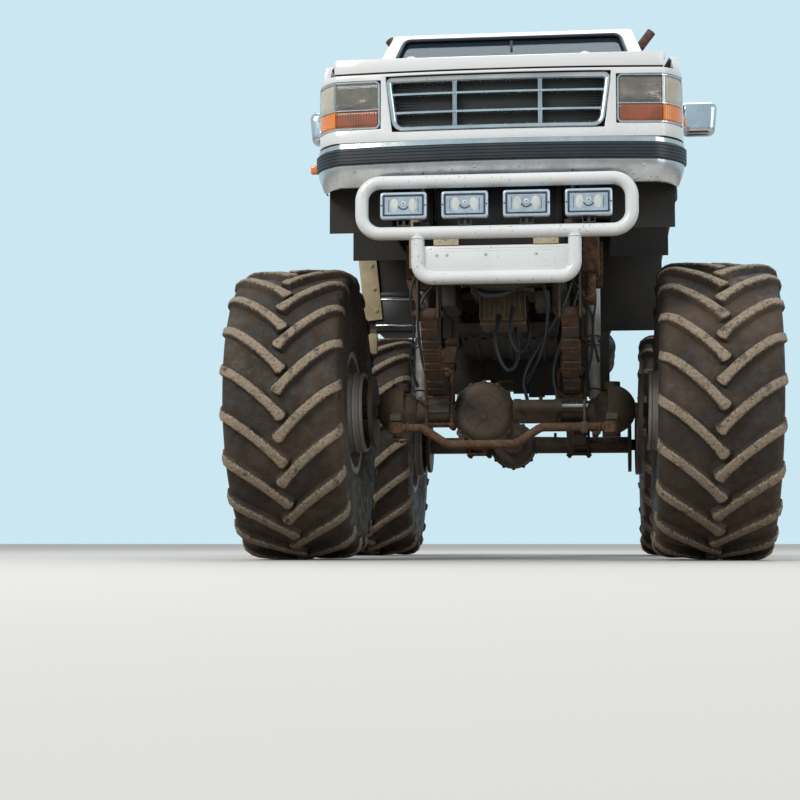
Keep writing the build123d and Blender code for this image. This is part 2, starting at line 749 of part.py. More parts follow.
def chassis_frame():
    rails = []
    for side in (-1, 1):
        x = side * rail_x
        rails.append(block((x - rail_width / 2, x + rail_width / 2), (frame_front_y, frame_rear_y),
                           (rail_bottom_z, rail_bottom_z + rail_height)))
    members = [  # y, half depth, low z, high z
        (-560, 50, rail_bottom_z + 70, rail_bottom_z + rail_height),
        (900, 60, rail_bottom_z, rail_bottom_z + 65),
        (1720, 60, rail_bottom_z + 20, rail_bottom_z + 150),
        (2620, 50, rail_bottom_z + 30, rail_bottom_z + 150),
        (3400, 50, rail_bottom_z + 60, rail_bottom_z + 170),
    ]
    inner = rail_x - rail_width / 2 + 5
    shape = rails[0] + rails[1]
    for y, half, low, high in members:
        shape = shape + block((-inner, inner), (y - half, y + half), (low, high))
    bow = make_face([
        Line((-inner, rail_bottom_z + 120), (-inner, rail_bottom_z)),
        ThreePointArc((-inner, rail_bottom_z), (0, 1352), (inner, rail_bottom_z)),
        Line((inner, rail_bottom_z), (inner, rail_bottom_z + 120)),
        ThreePointArc((inner, rail_bottom_z + 120), (0, 1440), (-inner, rail_bottom_z + 120)),
    ])
    shape = shape + extrude(Plane.XZ.offset(560) * bow, amount=90)
    hangers = [  # spring eye's y
        -spring_half_span, spring_half_span, rear_axle_y - spring_half_span, rear_axle_y + spring_half_span,
    ]
    eye_z = spring_eye_z - body_lift
    for y in hangers:
        for side in (-1, 1):
            x = side * spring_x
            cap = block((x - 61, x + 61), (y - 62, y + 62), (rail_bottom_z - 30, rail_bottom_z + 5))
            plates = [cap] + [
                block((x + s * (leaf_width / 2 + 9) - 6, x + s * (leaf_width / 2 + 9) + 6), (y - 62, y + 62),
                      (eye_z - 30, rail_bottom_z - 10)) for s in (-1, 1)
            ]
            pin_half = leaf_width / 2 + 22
            pin = cross_rod((x - pin_half, x + pin_half), y, eye_z, spring_pin_radius)
            for piece in (*plates, pin):
                shape = shape + piece
    posts = [  # y, top z
        (-530, nose_bottom_z), (cowl_y + 120, sill_z), (1700, sill_z), (2150, bed_floor_z - 40),
        (4150, bed_floor_z - 40),
    ]
    for y, top in posts:
        for side in (-1, 1):
            x = side * rail_x
            shape = shape + block((x - 36, x + 36), (y - 45, y + 45), (rail_bottom_z + rail_height - 5, top))
    mount_x = (250 + running_gap, rail_x - rail_width / 2 + 5)
    for side in (-1, 1):
        span = sorted((side * mount_x[0], side * mount_x[1]))
        shape = shape + block(span, (-140, -60), (rail_bottom_z + 70, rail_bottom_z + 150))
        leg_x = sorted((side * (spring_x + 62), side * (spring_x + 50)))
        shape = shape + block(leg_x, (cross_y - 62, cross_y + 62), (cross_z - 52, rail_bottom_z + 60))
        shape = shape + tow_eye(side * rail_x)
    beam_half = spring_x + 62
    beam = block((-beam_half, beam_half), (cross_y - 62, cross_y + 62), (cross_z - 52, cross_z))
    return shape + beam + tow_tongue()


# Springs
def spring_pack(y):
    """A pack of leaves arched about one centre above the axle, each shorter than the one above it."""
    seat_z = tyre_radius + axle_tube_radius + 34 + leaf_count * leaf_thickness
    rise = spring_eye_z - seat_z
    radius = (spring_half_span ** 2 + rise ** 2) / (2 * rise)
    centre_z = seat_z + radius
    full = math.asin(spring_half_span / radius)
    pack = None
    for leaf in range(leaf_count):
        inner = radius + leaf * leaf_thickness
        outer = inner + leaf_thickness
        half = full * (1 - 0.105 * max(leaf - 1, 0))
        ends = [(math.sin(s * half), -math.cos(s * half)) for s in (-1, 1)]
        (ly, lz), (ry, rz) = ends
        face = make_face([
            ThreePointArc((ly * inner, lz * inner), (0, -inner), (ry * inner, rz * inner)),
            Line((ry * inner, rz * inner), (ry * outer, rz * outer)),
            ThreePointArc((ry * outer, rz * outer), (0, -outer), (ly * outer, lz * outer)),
            Line((ly * outer, lz * outer), (ly * inner, lz * inner)),
        ])
        pack = face if pack is None else pack + face
    pack = Pos(y, centre_z) * pack
    solid = extrude(Plane.YZ.offset(spring_x - leaf_width / 2) * pack, amount=leaf_width)
    for end in (-1, 1):
        eye_y = y + end * spring_half_span
        eye_span = (spring_x - leaf_width / 2, spring_x + leaf_width / 2)
        eye = cross_rod(eye_span, eye_y, spring_eye_z, spring_eye_radius)
        bore = cross_rod((spring_x - 60, spring_x + 60), eye_y, spring_eye_z, spring_pin_radius + running_gap)
        solid = solid + eye - bore
    clamp = block((spring_x - 62, spring_x + 62), (y - 90, y + 90),
                  (seat_z - leaf_count * leaf_thickness - 16, seat_z + 26))
    return solid + clamp


def shock_absorber(y, top_y):
    foot = Vector(shock_x, y, tyre_radius + axle_tube_radius + 30 + running_gap)
    head = Vector(shock_x, top_y, rail_bottom_z + 100 + body_lift)
    middle = foot + (head - foot) * 0.42
    lower = rod(tuple(foot), tuple(middle), shock_radius)
    upper = rod(tuple(middle), tuple(head), shock_radius * 0.62)
    lug = cross_rod((rail_x + rail_width / 2 + running_gap, shock_x + 24), top_y, head.Z, 22)
    seat = cross_rod((shock_x - 26, shock_x + 26), y, foot.Z, 30)
    return upper + lower + lug + seat


# Axles
def banjo(y, pinion_side):
    """The differential housing: a bowl across the axle with its pinion nose."""
    z = tyre_radius
    bowl = Pos(diff_x, y, z) * Rot(90, 0, 0) * Cylinder(diff_bowl_radius, 190)
    bowl = fillet(bowl.edges(), 52)
    nose = rod((diff_x, y, z), (diff_x, y + pinion_side * 330, z + 24), 84)
    flange = rod((diff_x, y + pinion_side * 320, z + 24), (diff_x, y + pinion_side * 352, z + 24), 62)
    return bowl + nose + flange


def spring_seats(y, z):
    top = z + axle_tube_radius + 18 - running_gap
    seat = block((spring_x - 60, spring_x + 60), (y - 82, y + 82), (z, top))
    pinion_side = 1 if y == 0 else -1
    ear_y = sorted((y, y + pinion_side * 184))
    ear = block((shock_x - 22, shock_x + 22), ear_y, (z + 30, top - 18))
    bar_y_span = sorted((y + pinion_side * 40, y + pinion_side * 120))
    bracket = block((traction_x - 14, traction_x + 14), bar_y_span, (z - 72, z + 4))
    shape = seat + ear + bracket
    return shape + mirrored(shape)


def front_axle():
    z = tyre_radius
    tube = cross_rod((-kingpin_x + 60, kingpin_x - 60), 0, z, axle_tube_radius)
    shape = tube + banjo(0, 1)
    for side in (-1, 1):
        x = side * kingpin_x
        neck = rod((side * (kingpin_x - 200), 0, z), (x, 0, kingpin_z), axle_tube_radius)
        ball = Pos(x, 0, kingpin_z) * Sphere(ball_radius)
        reach = ball_radius + cup_gap + 12
        pin = upright(x, 0, (kingpin_z - reach, kingpin_z + reach), kingpin_radius)
        shape = shape + neck + ball + pin
    return shape + spring_seats(0, z)


def rear_axle():
    z = tyre_radius
    tube = cross_rod((-wheel_x + 400, wheel_x - 400), rear_axle_y, z, axle_tube_radius)
    shape = tube + banjo(rear_axle_y, -1)
    spindle = cross_rod((-wheel_x - 60, wheel_x + 60), rear_axle_y, z, spindle_radius)
    plates = cross_rod((wheel_x - 424, wheel_x - 400), rear_axle_y, z, drum_radius - 20)
    return shape + spindle + plates + mirrored(plates) + spring_seats(rear_axle_y, z)


def on_spin_axis(shape, side):
    """Turns a piece drawn on the level axis X to a front wheel's cambered axis."""
    return Pos(side * wheel_x, 0, tyre_radius) * Rot(0, side * front_camber, 0) * shape


def knuckle_left():
    """The steering knuckle: a cup over the axle's ball, its two kingpin caps, spindle and steering arm."""
    centre = Pos(kingpin_x, 0, kingpin_z)
    outer_radius = ball_radius + cup_gap + cup_wall
    cup = Sphere(outer_radius) - Sphere(ball_radius + cup_gap)
    cup = cup - block((-400, -20), (-400, 400), (-400, 400))
    caps = Cylinder(52, 2 * (outer_radius + 16)) - Sphere(ball_radius + cup_gap)
    shape = centre * (cup + caps)
    reach = ball_radius + cup_gap + 12.5
    pin_span = (kingpin_z - reach, kingpin_z + reach)
    shape = shape - upright(kingpin_x, 0, pin_span, kingpin_radius + running_gap)
    spindle_span = (kingpin_x - wheel_x + outer_radius - 14, 60)
    spindle = on_spin_axis(cross_rod(spindle_span, 0, 0, spindle_radius), 1)
    plate = on_spin_axis(cross_rod((-424, -400), 0, 0, drum_radius - 20), 1)
    arm_top = tie_rod_z + 62
    arm = block((kingpin_x - 30, kingpin_x + 30), (steer_arm_y - 32, -114), (arm_top - 20, arm_top + 14))
    stud = upright(kingpin_x, steer_arm_y, (tie_rod_z - 30, arm_top), ball_stud_radius)
    return shape + spindle + plate + arm + stud


def tie_rod():
    """A bar between the two steering arms, bent down under the differential."""
    z = tie_rod_z
    low_z = z - tie_rod_dip
    path = [
        (-kingpin_x + 30, steer_arm_y, z), (diff_x - 330, steer_arm_y, z),
        (diff_x - 190, steer_arm_y, low_z), (diff_x + 190, steer_arm_y, low_z),
        (diff_x + 330, steer_arm_y, z), (kingpin_x - 30, steer_arm_y, z),
    ]
    shape = bent_tube(path, tie_rod_radius, 70)
    for side in (-1, 1):
        eye = upright(side * kingpin_x, steer_arm_y, (z - 30, z + 30), 42)
        shape = shape + eye
    for side in (-1, 1):
        bore = upright(side * kingpin_x, steer_arm_y, (z - 60, z + 60), ball_stud_radius + running_gap)
        shape = shape - bore
    return shape


# Wheels, drawn on the level axis X with +X outboard
tread_stations = (  # share of the half tread, degrees from the bar's inner end, drop below the crown, lean
    (0.0, 2.7, 0.0, 44.0),
    (0.5, 11.6, 4.0, 36.0),
    (1.0, 18.6, 38.0, 27.0),
)
tread_pitch = 360.0 / lugs_per_side


def tyre_spot(side, x, radius, degrees):
    """A point on the tyre, its degrees counted from -Y upwards."""
    angle = math.radians(degrees)
    return Vector(side * x, -radius * math.cos(angle), radius * math.sin(angle))


def fan(*points):
    """Triangles that all meet in the first point."""
    return [
        Face(Wire.make_polygon([points[0], near, far], close=True))
        for near, far in zip(points[1:], points[2:])
    ]


def bar_reach(share, radius, lean):
    """Half the degrees that a leaning bar of the given width takes up at a radius."""
    return share / math.cos(math.radians(lean)) / 2 / radius * 180 / math.pi


def bar_rows(side, start):
    """Five points across one tread bar and its groove, at each station from the middle to the shoulder."""
    rows = []
    for share, around, drop, lean in tread_stations:
        x, root = share * tread_width / 2, tyre_radius - lug_height - drop
        tip_x, tip = x + share * 5, root + lug_height
        top, foot = bar_reach(lug_top, tyre_radius, lean), bar_reach(lug_foot, root, lean)
        middle = start + around
        rows.append([
            tyre_spot(side, x, root, middle - foot), tyre_spot(side, tip_x, tip, middle - top),
            tyre_spot(side, tip_x, tip, middle + top), tyre_spot(side, x, root, middle + foot),
            tyre_spot(side, x, root, middle + tread_pitch - foot),
        ])
    return rows


def wall_rings(side, start):
    """The side wall's points at both ends of one pitch, from the shoulder down to the bead."""
    around = start + tread_stations[-1][1]
    walls = [
        (tyre_width / 2, tyre_radius * 0.75), (tyre_width / 2 - 6, tyre_radius * 0.59),
        (rim_half - running_gap, bead_radius + 34),
    ]
    return [
        [tyre_spot(side, x, radius, around + k * tread_pitch) for k in (0, 1)] for x, radius in walls
    ]


def tyre():
    """
    The tyre as flat facets: bars run from the middle of the tread out and round to the shoulders, those of
    one side half a pitch behind those of the other.
    """
    crown = tyre_radius - lug_height
    inner_around, inner_lean = tread_stations[0][1], tread_stations[0][3]
    inner_reach = bar_reach(lug_foot, crown, inner_lean)
    faces = []
    for side in (-1, 1):
        mouth = []
        for n in range(lugs_per_side):
            start = n * tread_pitch - (0.0 if side > 0 else lug_stagger)
            rows = bar_rows(side, start)
            first, second, last = rows
            for near, far in zip(rows, rows[1:]):
                for k in range(3):
                    faces += fan(near[k], near[k + 1], far[k + 1], far[k])
            faces.append(Face(Wire.make_polygon(first[:4], close=True)))
            other = start + inner_around + lug_stagger
            before, after = [tyre_spot(side, 0, crown, other + s * inner_reach) for s in (-1, 1)]
            faces += fan(second[3], first[3], before, after)
            faces += fan(second[3], after, first[4], second[4])
            faces += fan(second[3], second[4], last[4], last[3])
            rings = wall_rings(side, start)
            faces += fan(rings[0][0], last[0], last[1], last[2], last[3])
            faces += fan(last[3], last[4], rings[0][1], rings[0][0])
            for near, far in zip(rings, rings[1:]):
                faces += fan(near[0], near[1], far[1], far[0])
            mouth.append(rings[-1][0])
        faces.append(Face(Wire.make_polygon(mouth, close=True)))
    return Solid(Shell(faces)) - cross_rod((-tyre_width, tyre_width), 0, 0, bead_radius + running_gap)


def wheel_rim():
    """A deep rim with its disc near the inboard edge, the hub and the brake drum."""
    half = rim_half
    r = bead_radius
    disc_x = -150.0
    barrel = [
        (-half, r + 26), (-half, r), (half, r), (half, r + 26), (half + 14, r + 26),
        (half + 14, r - rim_wall), (disc_x + 60, r - rim_wall), (disc_x + 24, r - 90), (disc_x + 24, 0.1),
        (disc_x, 0.1), (disc_x, r - 84), (disc_x + 36, r - rim_wall), (-half - 14, r - rim_wall),
        (-half - 14, r + 26),
    ]
    shape = revolve(make_face(Polyline(*barrel, close=True)), axis=Axis.X)
    drum = cross_rod((disc_x - drum_width - 90, disc_x), 0, 0, drum_radius)
    hub = cross_rod((disc_x, disc_x + 230), 0, 0, hub_radius)
    cap = cross_rod((disc_x + 230, disc_x + 262), 0, 0, hub_radius - 34)
    shape = shape + drum + hub + cap
    hollow = cross_rod((disc_x - drum_width - 91, disc_x - 30), 0, 0, drum_radius - 14)
    boss = cross_rod((disc_x - 60, disc_x), 0, 0, spindle_radius + 30)
    shape = shape - hollow + boss
    shape = shape - cross_rod((disc_x - 400, 61), 0, 0, spindle_radius + running_gap)
    return shape


# Drive line and engine
def engine():
    """A plain block with its oil pan, crank pulley and fan."""
    shape = block((-250, 250), (-420, 330), (1500, 2140))
    pan_plan = [(-170, -330), (170, -330), (170, 60), (120, 150), (-120, 150), (-170, 60)]
    pan = plan_prism(pan_plan, (1392, 1501))
    pulley = rod((0, -419, 1640), (0, -462, 1640), 95)
    fan = rod((0, -419, 1880), (0, -452, 1880), 34) + rod((0, -452, 1880), (0, -468, 1880), 190)
    return shape + pan + pulley + fan


def gearbox():
    bell = rod((0, 330 + running_gap, 1695), (0, 560, 1695), 185)
    case = block((-130, 130), (540, 1000), (rail_bottom_z + 65 + running_gap, 1780))
    tail = rod((0, 995, 1660), (0, 1040, 1660), 70)
    return bell + case + tail


def transfer_case():
    body = block((-180, 170), (1600, 1880), (cross_z + running_gap, cross_z + 310))
    outputs = rod((diff_x, 1540, cross_z + 80), (diff_x, 1940, cross_z + 80), 70)
    front = rod((0, 1560, cross_z + 250), (0, 1610, cross_z + 250), 70)
    return body + outputs + front


def shaft(start, end, radius):
    """A drive shaft with a flange and a joint at each end; both ends face along Y."""
    joints = []
    shape = None
    for point, into in ((start, 1), (end, -1)):
        x, y, z = point
        flange = rod((x, y + into * running_gap, z), (x, y + into * 26, z), radius + 20)
        stub = rod((x, y + into * 20, z), (x, y + into * 78, z), radius - 4)
        joint = Pos(x, y + into * 78, z) * Sphere(radius + 7)
        joints.append((x, y + into * 78, z))
        piece = flange + stub + joint
        shape = piece if shape is None else shape + piece
    return shape + rod(joints[0], joints[1], radius)


def drive_shafts():
    z, case_z = tyre_radius, cross_z + body_lift
    front = shaft((diff_x, 352, z + 24), (diff_x, 1540, case_z + 80), 36)
    rear = shaft((diff_x, 1940, case_z + 80), (diff_x, rear_axle_y - 352, z + 24), 36)
    top = shaft((0, 1040, 1660 + body_lift), (0, 1560, case_z + 250), 34)
    return group(front, rear, top)


def traction_bars():
    bars = []
    for side in (-1, 1):
        x = side * traction_x
        for y, towards in ((0, 1), (rear_axle_y, -1)):
            axle_end = (x, y + towards * (120 + running_gap), tyre_radius - 36)
            frame_end = (x, cross_y - towards * (62 + running_gap), cross_z - 26 + body_lift)
            bar = None
            inner = []
            for (ex, ey, ez), into in ((axle_end, towards), (frame_end, -towards)):
                eye = rod((ex, ey, ez), (ex, ey + into * 40, ez), traction_radius + 6)
                inner.append((ex, ey + into * 24, ez))
                bar = eye if bar is None else bar + eye
            bars.append(bar + rod(inner[0], inner[1], traction_radius))
    return group(*bars)


def exhaust_stacks():
    elbow_z, tip_rise, lean = roof_z - 14, 236, 181
    path = [
        (stack_x, stack_y, stack_foot_z + running_gap), (stack_x, stack_y, elbow_z),
        (stack_x + lean, stack_y, elbow_z + tip_rise),
    ]
    tip = Vector(*path[2])
    into = (Vector(*path[1]) - tip).normalized()
    mouth = rod(tuple(tip - into * 5), tuple(tip + into * 60), stack_radius - 5)
    return both_sides(bent_tube(path, stack_radius, 130) - mouth)


def side_box():
    outer_x = waist_half - 135
    box = block((-outer_x, -outer_x + 278), (930, 1330), (1320, 1560))
    hanger = block((-outer_x, -outer_x + 18), (960, 1300), (1550, sill_z))
    return box + hanger


def grab_loop():
    y, low, high = cab_back_y - 200, waist_z - 70, waist_z + 226
    inner_x, outer_x = waist_half - 63, waist_half + 65
    path = [(inner_x, y, low), (outer_x, y, low), (outer_x, y, high), (inner_x, y, high)]
    return bent_tube(path, 8, 26) - cab_outer


def bench_seat():
    half = waist_half - 363
    floor_z = sill_z + side_wall
    seat = block((-half, half), (1080, 1560), (floor_z + 140, floor_z + 330))
    back = side_prism([
        (1500, floor_z + 250), (1640, floor_z + 250), (1760, floor_z + 760), (1650, floor_z + 760),
    ], (-half, half))
    base = block((-half + 80, half - 80), (1120, 1520), (floor_z + running_gap, floor_z + 160))
    return seat + back + base


def dashboard():
    back = cowl_y + side_wall + running_gap
    half = waist_half - 203
    panel = side_prism([
        (back, 2380), (760, 2400), (790, 2560), (700, 2640), (600, 2660), (back, 2640),
    ], (-half, half))
    return panel + steering_wheel()


def steering_wheel():
    centre = Vector(390, 905, 2690)
    axis = Vector(0, 0.86, 0.52)
    ring = Plane(origin=centre, z_dir=axis) * Torus(185, 14)
    hub = Plane(origin=centre, z_dir=axis) * Cylinder(45, 40)
    column = rod(tuple(centre), (390, 740, 2590), 26)
    shape = hub + column
    for angle in (-90, 30, 150):
        a = math.radians(angle)
        tip = Plane(origin=centre, z_dir=axis).from_local_coords((185 * math.cos(a), 185 * math.sin(a), 0))
        shape = shape + rod(tuple(centre), tuple(tip), 12)
    return shape + ring


def radiator():
    return block((-radiator_half, radiator_half), (radiator_front_y, radiator_front_y + 90),
                 (rail_bottom_z + rail_height + running_gap, grille_top_z - 32))


def mirror_left():
    head = block((waist_half + 37, waist_half + 273), (736, 830), (2494, 2704))
    head = fillet(head.edges().filter_by(Axis.Y), 34)
    base = block((waist_half - 103, waist_half + 43), (740, 800), (2560, 2606))
    return head + base - cab_outer


def side_repeaters():
    """A side marker high on the left fender, and one low on the right fender."""
    body = along_body(body_section(), (-600, 560))
    return group(
        block((waist_half - 60, waist_half + 66), (480, 545), (2486, 2540)) - body,
        block((-waist_half - 62, -waist_half + 50), (-470, -430), (2040, 2092)) - body,
    )


write("cab_shell", cab_shell(), body_lift)
write("cab_glass", cab_glass(), body_lift)
write("door_left", door_left(), body_lift)
write("door_right", mirrored(door_left()), body_lift)
write("door_glass_left", door_glass_left(), body_lift)
write("door_glass_right", mirrored(door_glass_left()), body_lift)
write("mirror_left", mirror_left(), body_lift)
write("mirror_right", mirrored(mirror_left()), body_lift)
write("front_panel", front_panel(), body_lift)
write("grille", grille(), body_lift)
write("headlamps", both_sides(lamp_unit((lamp_split_z, lamp_top_z), 0)), body_lift)
signals = both_sides(lamp_unit((lamp_bottom_z, lamp_split_z), 0))
write("turn_signals", group(signals, side_repeaters()), body_lift)
write("fenders", both_sides(fender_left()), body_lift)
write("hood", hood(), body_lift)
write("fender_liners", fender_liners(), body_lift)
write("front_bumper", front_bumper(), body_lift)
write("bumper_strip", bumper_strip(), body_lift)
write("bull_bar", bull_bar(), body_lift)
write("driving_lamps", group(*[driving_lamp(lamp_pitch * (n - 1.5)) for n in range(4)]), body_lift)
write("bed_box", bed_box(), body_lift)
write("tailgate", tailgate(), body_lift)
write("tail_lamps", both_sides(tail_lamp()), body_lift)
write("rear_bumper", rear_bumper(), body_lift)
write("chassis_frame", chassis_frame(), body_lift)
write("leaf_springs", group(both_sides(spring_pack(0)), both_sides(spring_pack(rear_axle_y))))
front_shock, rear_shock = shock_absorber(150, 320), shock_absorber(rear_axle_y - 150, rear_axle_y - 320)
write("shock_absorbers", group(both_sides(front_shock), both_sides(rear_shock)))
write("front_axle", front_axle())
write("rear_axle", rear_axle())
write("knuckle_left", knuckle_left())
write("knuckle_right", mirrored(knuckle_left()))
write("tie_rod", tie_rod())
write("engine", engine(), body_lift)
write("gearbox", group(gearbox(), transfer_case()), body_lift)
write("drive_shafts", drive_shafts())
write("traction_bars", traction_bars())
write("exhaust_stacks", exhaust_stacks(), body_lift)
write("side_box", side_box(), body_lift)
write("grab_loops", both_sides(grab_loop()), body_lift)
write("bench_seat", bench_seat(), body_lift)
write("dashboard", dashboard(), body_lift)
write("radiator", radiator(), body_lift)
rim, lugged_tyre = wheel_rim(), tyre()
for side, label, front_turn, rear_turn in ((1, "left", 5.8, 10.0), (-1, "right", 3.6, -2.0)):
    turned = Rot(0, 0, 0) if side > 0 else Rot(0, 0, 180)
    rear_hub = Pos(side * wheel_x, rear_axle_y, tyre_radius)
    write(f"rim_front_{label}", on_spin_axis(turned * rim, side))
    write(f"rim_rear_{label}", rear_hub * turned * rim)
    write(f"tyre_front_{label}", on_spin_axis(Rot(-front_turn, 0, 0) * lugged_tyre, side))
    write(f"tyre_rear_{label}", rear_hub * Rot(-rear_turn, 0, 0) * lugged_tyre)
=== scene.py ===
import json
import math
import bmesh
import bpy
from mathutils import Matrix, Vector, noise
from mathutils.bvhtree import BVHTree


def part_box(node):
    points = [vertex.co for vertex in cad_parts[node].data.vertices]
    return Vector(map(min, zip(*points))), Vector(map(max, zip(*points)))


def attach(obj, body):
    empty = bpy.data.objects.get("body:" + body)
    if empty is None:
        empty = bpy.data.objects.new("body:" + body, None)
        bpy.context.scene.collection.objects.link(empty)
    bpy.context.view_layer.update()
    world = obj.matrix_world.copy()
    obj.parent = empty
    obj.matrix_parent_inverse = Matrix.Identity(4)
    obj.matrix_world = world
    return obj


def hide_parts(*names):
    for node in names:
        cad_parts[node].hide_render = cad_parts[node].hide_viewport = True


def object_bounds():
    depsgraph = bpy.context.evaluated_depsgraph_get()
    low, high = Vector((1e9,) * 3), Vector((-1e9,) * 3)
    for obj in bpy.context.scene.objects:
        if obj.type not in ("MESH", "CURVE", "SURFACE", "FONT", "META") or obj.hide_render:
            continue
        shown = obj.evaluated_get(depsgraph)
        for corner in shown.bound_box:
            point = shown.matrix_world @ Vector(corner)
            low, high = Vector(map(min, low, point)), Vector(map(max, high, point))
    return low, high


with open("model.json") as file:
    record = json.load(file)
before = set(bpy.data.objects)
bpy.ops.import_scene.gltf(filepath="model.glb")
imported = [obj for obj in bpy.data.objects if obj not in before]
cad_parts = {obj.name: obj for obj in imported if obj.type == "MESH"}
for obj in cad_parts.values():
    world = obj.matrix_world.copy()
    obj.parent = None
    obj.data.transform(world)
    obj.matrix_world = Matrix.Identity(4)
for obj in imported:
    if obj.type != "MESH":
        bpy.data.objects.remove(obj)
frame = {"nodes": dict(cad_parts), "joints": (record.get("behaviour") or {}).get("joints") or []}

# White pickup on tall lugged tyres. Metres, Z up, nose to -Y, the truck's left to +X.
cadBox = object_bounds()
scene = bpy.context.scene
nodes = frame["nodes"]
joints = {joint["name"]: joint for joint in frame["joints"]}
print("frame loaded:", len(nodes), "CAD nodes")

frontAxle = Vector((0.0, joints["spin_front_left"]["pos_m"][1], joints["spin_front_left"]["pos_m"][2]))
rearAxle = Vector((0.0, joints["spin_rear_left"]["pos_m"][1], joints["spin_rear_left"]["pos_m"][2]))


# Camera: on the floor ahead of the truck, a little to its left
cameraSetup = {"distance": 10.0, "side": 0.52, "height": 0.1, "lens": 78.6, "aim": (-0.612, 1.0, 0.92)}


def placeCamera(setup):
    camera = bpy.data.objects.new("photoCamera", bpy.data.cameras.new("photoCamera"))
    scene.collection.objects.link(camera)
    camera.location = (setup["side"], frontAxle.y - setup["distance"], setup["height"])
    aimed = Vector(setup["aim"])
    aimed.y = frontAxle.y
    camera.rotation_euler = (aimed - camera.location).to_track_quat("-Z", "Y").to_euler()
    camera.data.lens = setup["lens"]
    camera.data.sensor_width = 36
    camera.data.clip_end = 400
    scene.camera = camera


placeCamera(cameraSetup)
scene.view_settings.view_transform = "Standard"


# Shader effects that several finishes share; each passes a clean colour on and covers part of it
def newGroup(name, effect=True, **inputs):
    group = bpy.data.node_groups.new(name, "ShaderNodeTree")
    kinds = {tuple: "NodeSocketColor", float: "NodeSocketFloat"}
    if effect:
        inputs = {"Clean": (1, 1, 1), **inputs}
    for label, value in inputs.items():
        socket = group.interface.new_socket(name=label, in_out="INPUT", socket_type=kinds[type(value)])
        socket.default_value = (*value, 1) if isinstance(value, tuple) else value
    for label, kind in (("Color", tuple), ("Mask", float)) if effect else (("Height", float),):
        group.interface.new_socket(name=label, in_out="OUTPUT", socket_type=kinds[kind])
    return group, group.nodes.new("NodeGroupInput").outputs, group.nodes.new("NodeGroupOutput").inputs


def objectSpace(tree):
    return tree.nodes.new("ShaderNodeTexCoord").outputs["Object"]


def noiseOf(tree, scale, detail, roughness, scaleLink=None):
    node = tree.nodes.new("ShaderNodeTexNoise")
    node.inputs["Scale"].default_value = scale
    node.inputs["Detail"].default_value = detail
    node.inputs["Roughness"].default_value = roughness
    tree.links.new(objectSpace(tree), node.inputs["Vector"])
    if scaleLink:
        tree.links.new(scaleLink, node.inputs["Scale"])
    return node.outputs["Fac"]


def ranged(tree, value, low, high, toLow=0.0, toHigh=1.0):
    node = tree.nodes.new("ShaderNodeMapRange")
    node.inputs["To Min"].default_value = toLow
    node.inputs["To Max"].default_value = toHigh
    tree.links.new(value, node.inputs["Value"])
    for source, socket in ((low, "From Min"), (high, "From Max")):
        if isinstance(source, (int, float)):
            node.inputs[socket].default_value = source
        else:
            tree.links.new(source, node.inputs[socket])
    return node.outputs["Result"]


def maths(tree, operation, first, second=None, clamp=False):
    node = tree.nodes.new("ShaderNodeMath")
    node.operation = operation
    node.use_clamp = clamp
    for index, source in enumerate((first, second)):
        if source is None:
            continue
        if isinstance(source, (int, float)):
            node.inputs[index].default_value = source
        else:
            tree.links.new(source, node.inputs[index])
    return node.outputs[0]


def mixed(tree, factor, first, second, kind="RGBA"):
    node = tree.nodes.new("ShaderNodeMix")
    node.data_type = kind
    place = {"RGBA": (6, 7, 2), "FLOAT": (2, 3, 0)}[kind]
    tree.links.new(factor, node.inputs[0])
    for source, index in ((first, place[0]), (second, place[1])):
        if isinstance(source, bpy.types.NodeSocket):
            tree.links.new(source, node.inputs[index])
        else:
            node.inputs[index].default_value = source
    return node.outputs[place[2]]


def heightOf(tree):
    split = tree.nodes.new("ShaderNodeSeparateXYZ")
    tree.links.new(objectSpace(tree), split.inputs[0])
    return split.outputs["Z"]


def upwardness(tree):
    geometry = tree.nodes.new("ShaderNodeNewGeometry")
    split = tree.nodes.new("ShaderNodeSeparateXYZ")
    tree.links.new(geometry.outputs["Normal"], split.inputs[0])
    return split.outputs["Z"]


def coverWith(group, entry, leave, mask, tone):
    group.links.new(mixed(group, mask, entry["Clean"], tone), leave["Color"])
    group.links.new(mask, leave["Mask"])
    return group


def makeDust():  # a film that thickens towards the ground and on faces that look up
    group, entry, leave = newGroup("roadDust", Dust=(0.42, 0.34, 0.25), Amount=0.5, Scale=3.0, Low=0.0, High=2.6,
                                   Settled=0.3)
    cloud = noiseOf(group, 3.0, 8.0, 0.65, entry["Scale"])
    fine = noiseOf(group, 40.0, 4.0, 0.6)
    lowness = ranged(group, heightOf(group), entry["High"], entry["Low"])
    patch = maths(group, "ADD", ranged(group, cloud, 0.35, 0.7), ranged(group, fine, 0.3, 0.8, -0.15, 0.15))
    settled = maths(group, "MULTIPLY", ranged(group, upwardness(group), 0.2, 1.0), entry["Settled"])
    weight = maths(group, "ADD", maths(group, "MULTIPLY", patch, lowness), settled)
    mask = maths(group, "MULTIPLY", weight, entry["Amount"], clamp=True)
    return coverWith(group, entry, leave, mask, entry["Dust"])


def makeSpeckle():  # flung spots of mud
    group, entry, leave = newGroup("mudSpeckle", Mud=(0.12, 0.08, 0.05), Amount=0.5, Scale=55.0, High=2.8)
    spots = noiseOf(group, 55.0, 2.0, 0.5, entry["Scale"])
    patches = noiseOf(group, 2.5, 3.0, 0.5)
    limit = ranged(group, patches, 0.3, 0.75, 0.74, 0.58)
    lowness = ranged(group, heightOf(group), entry["High"], 0.4)
    over = ranged(group, maths(group, "SUBTRACT", spots, limit), 0.0, 0.03)
    mask = maths(group, "MULTIPLY", maths(group, "MULTIPLY", over, lowness), entry["Amount"], clamp=True)
    return coverWith(group, entry, leave, mask, entry["Mud"])


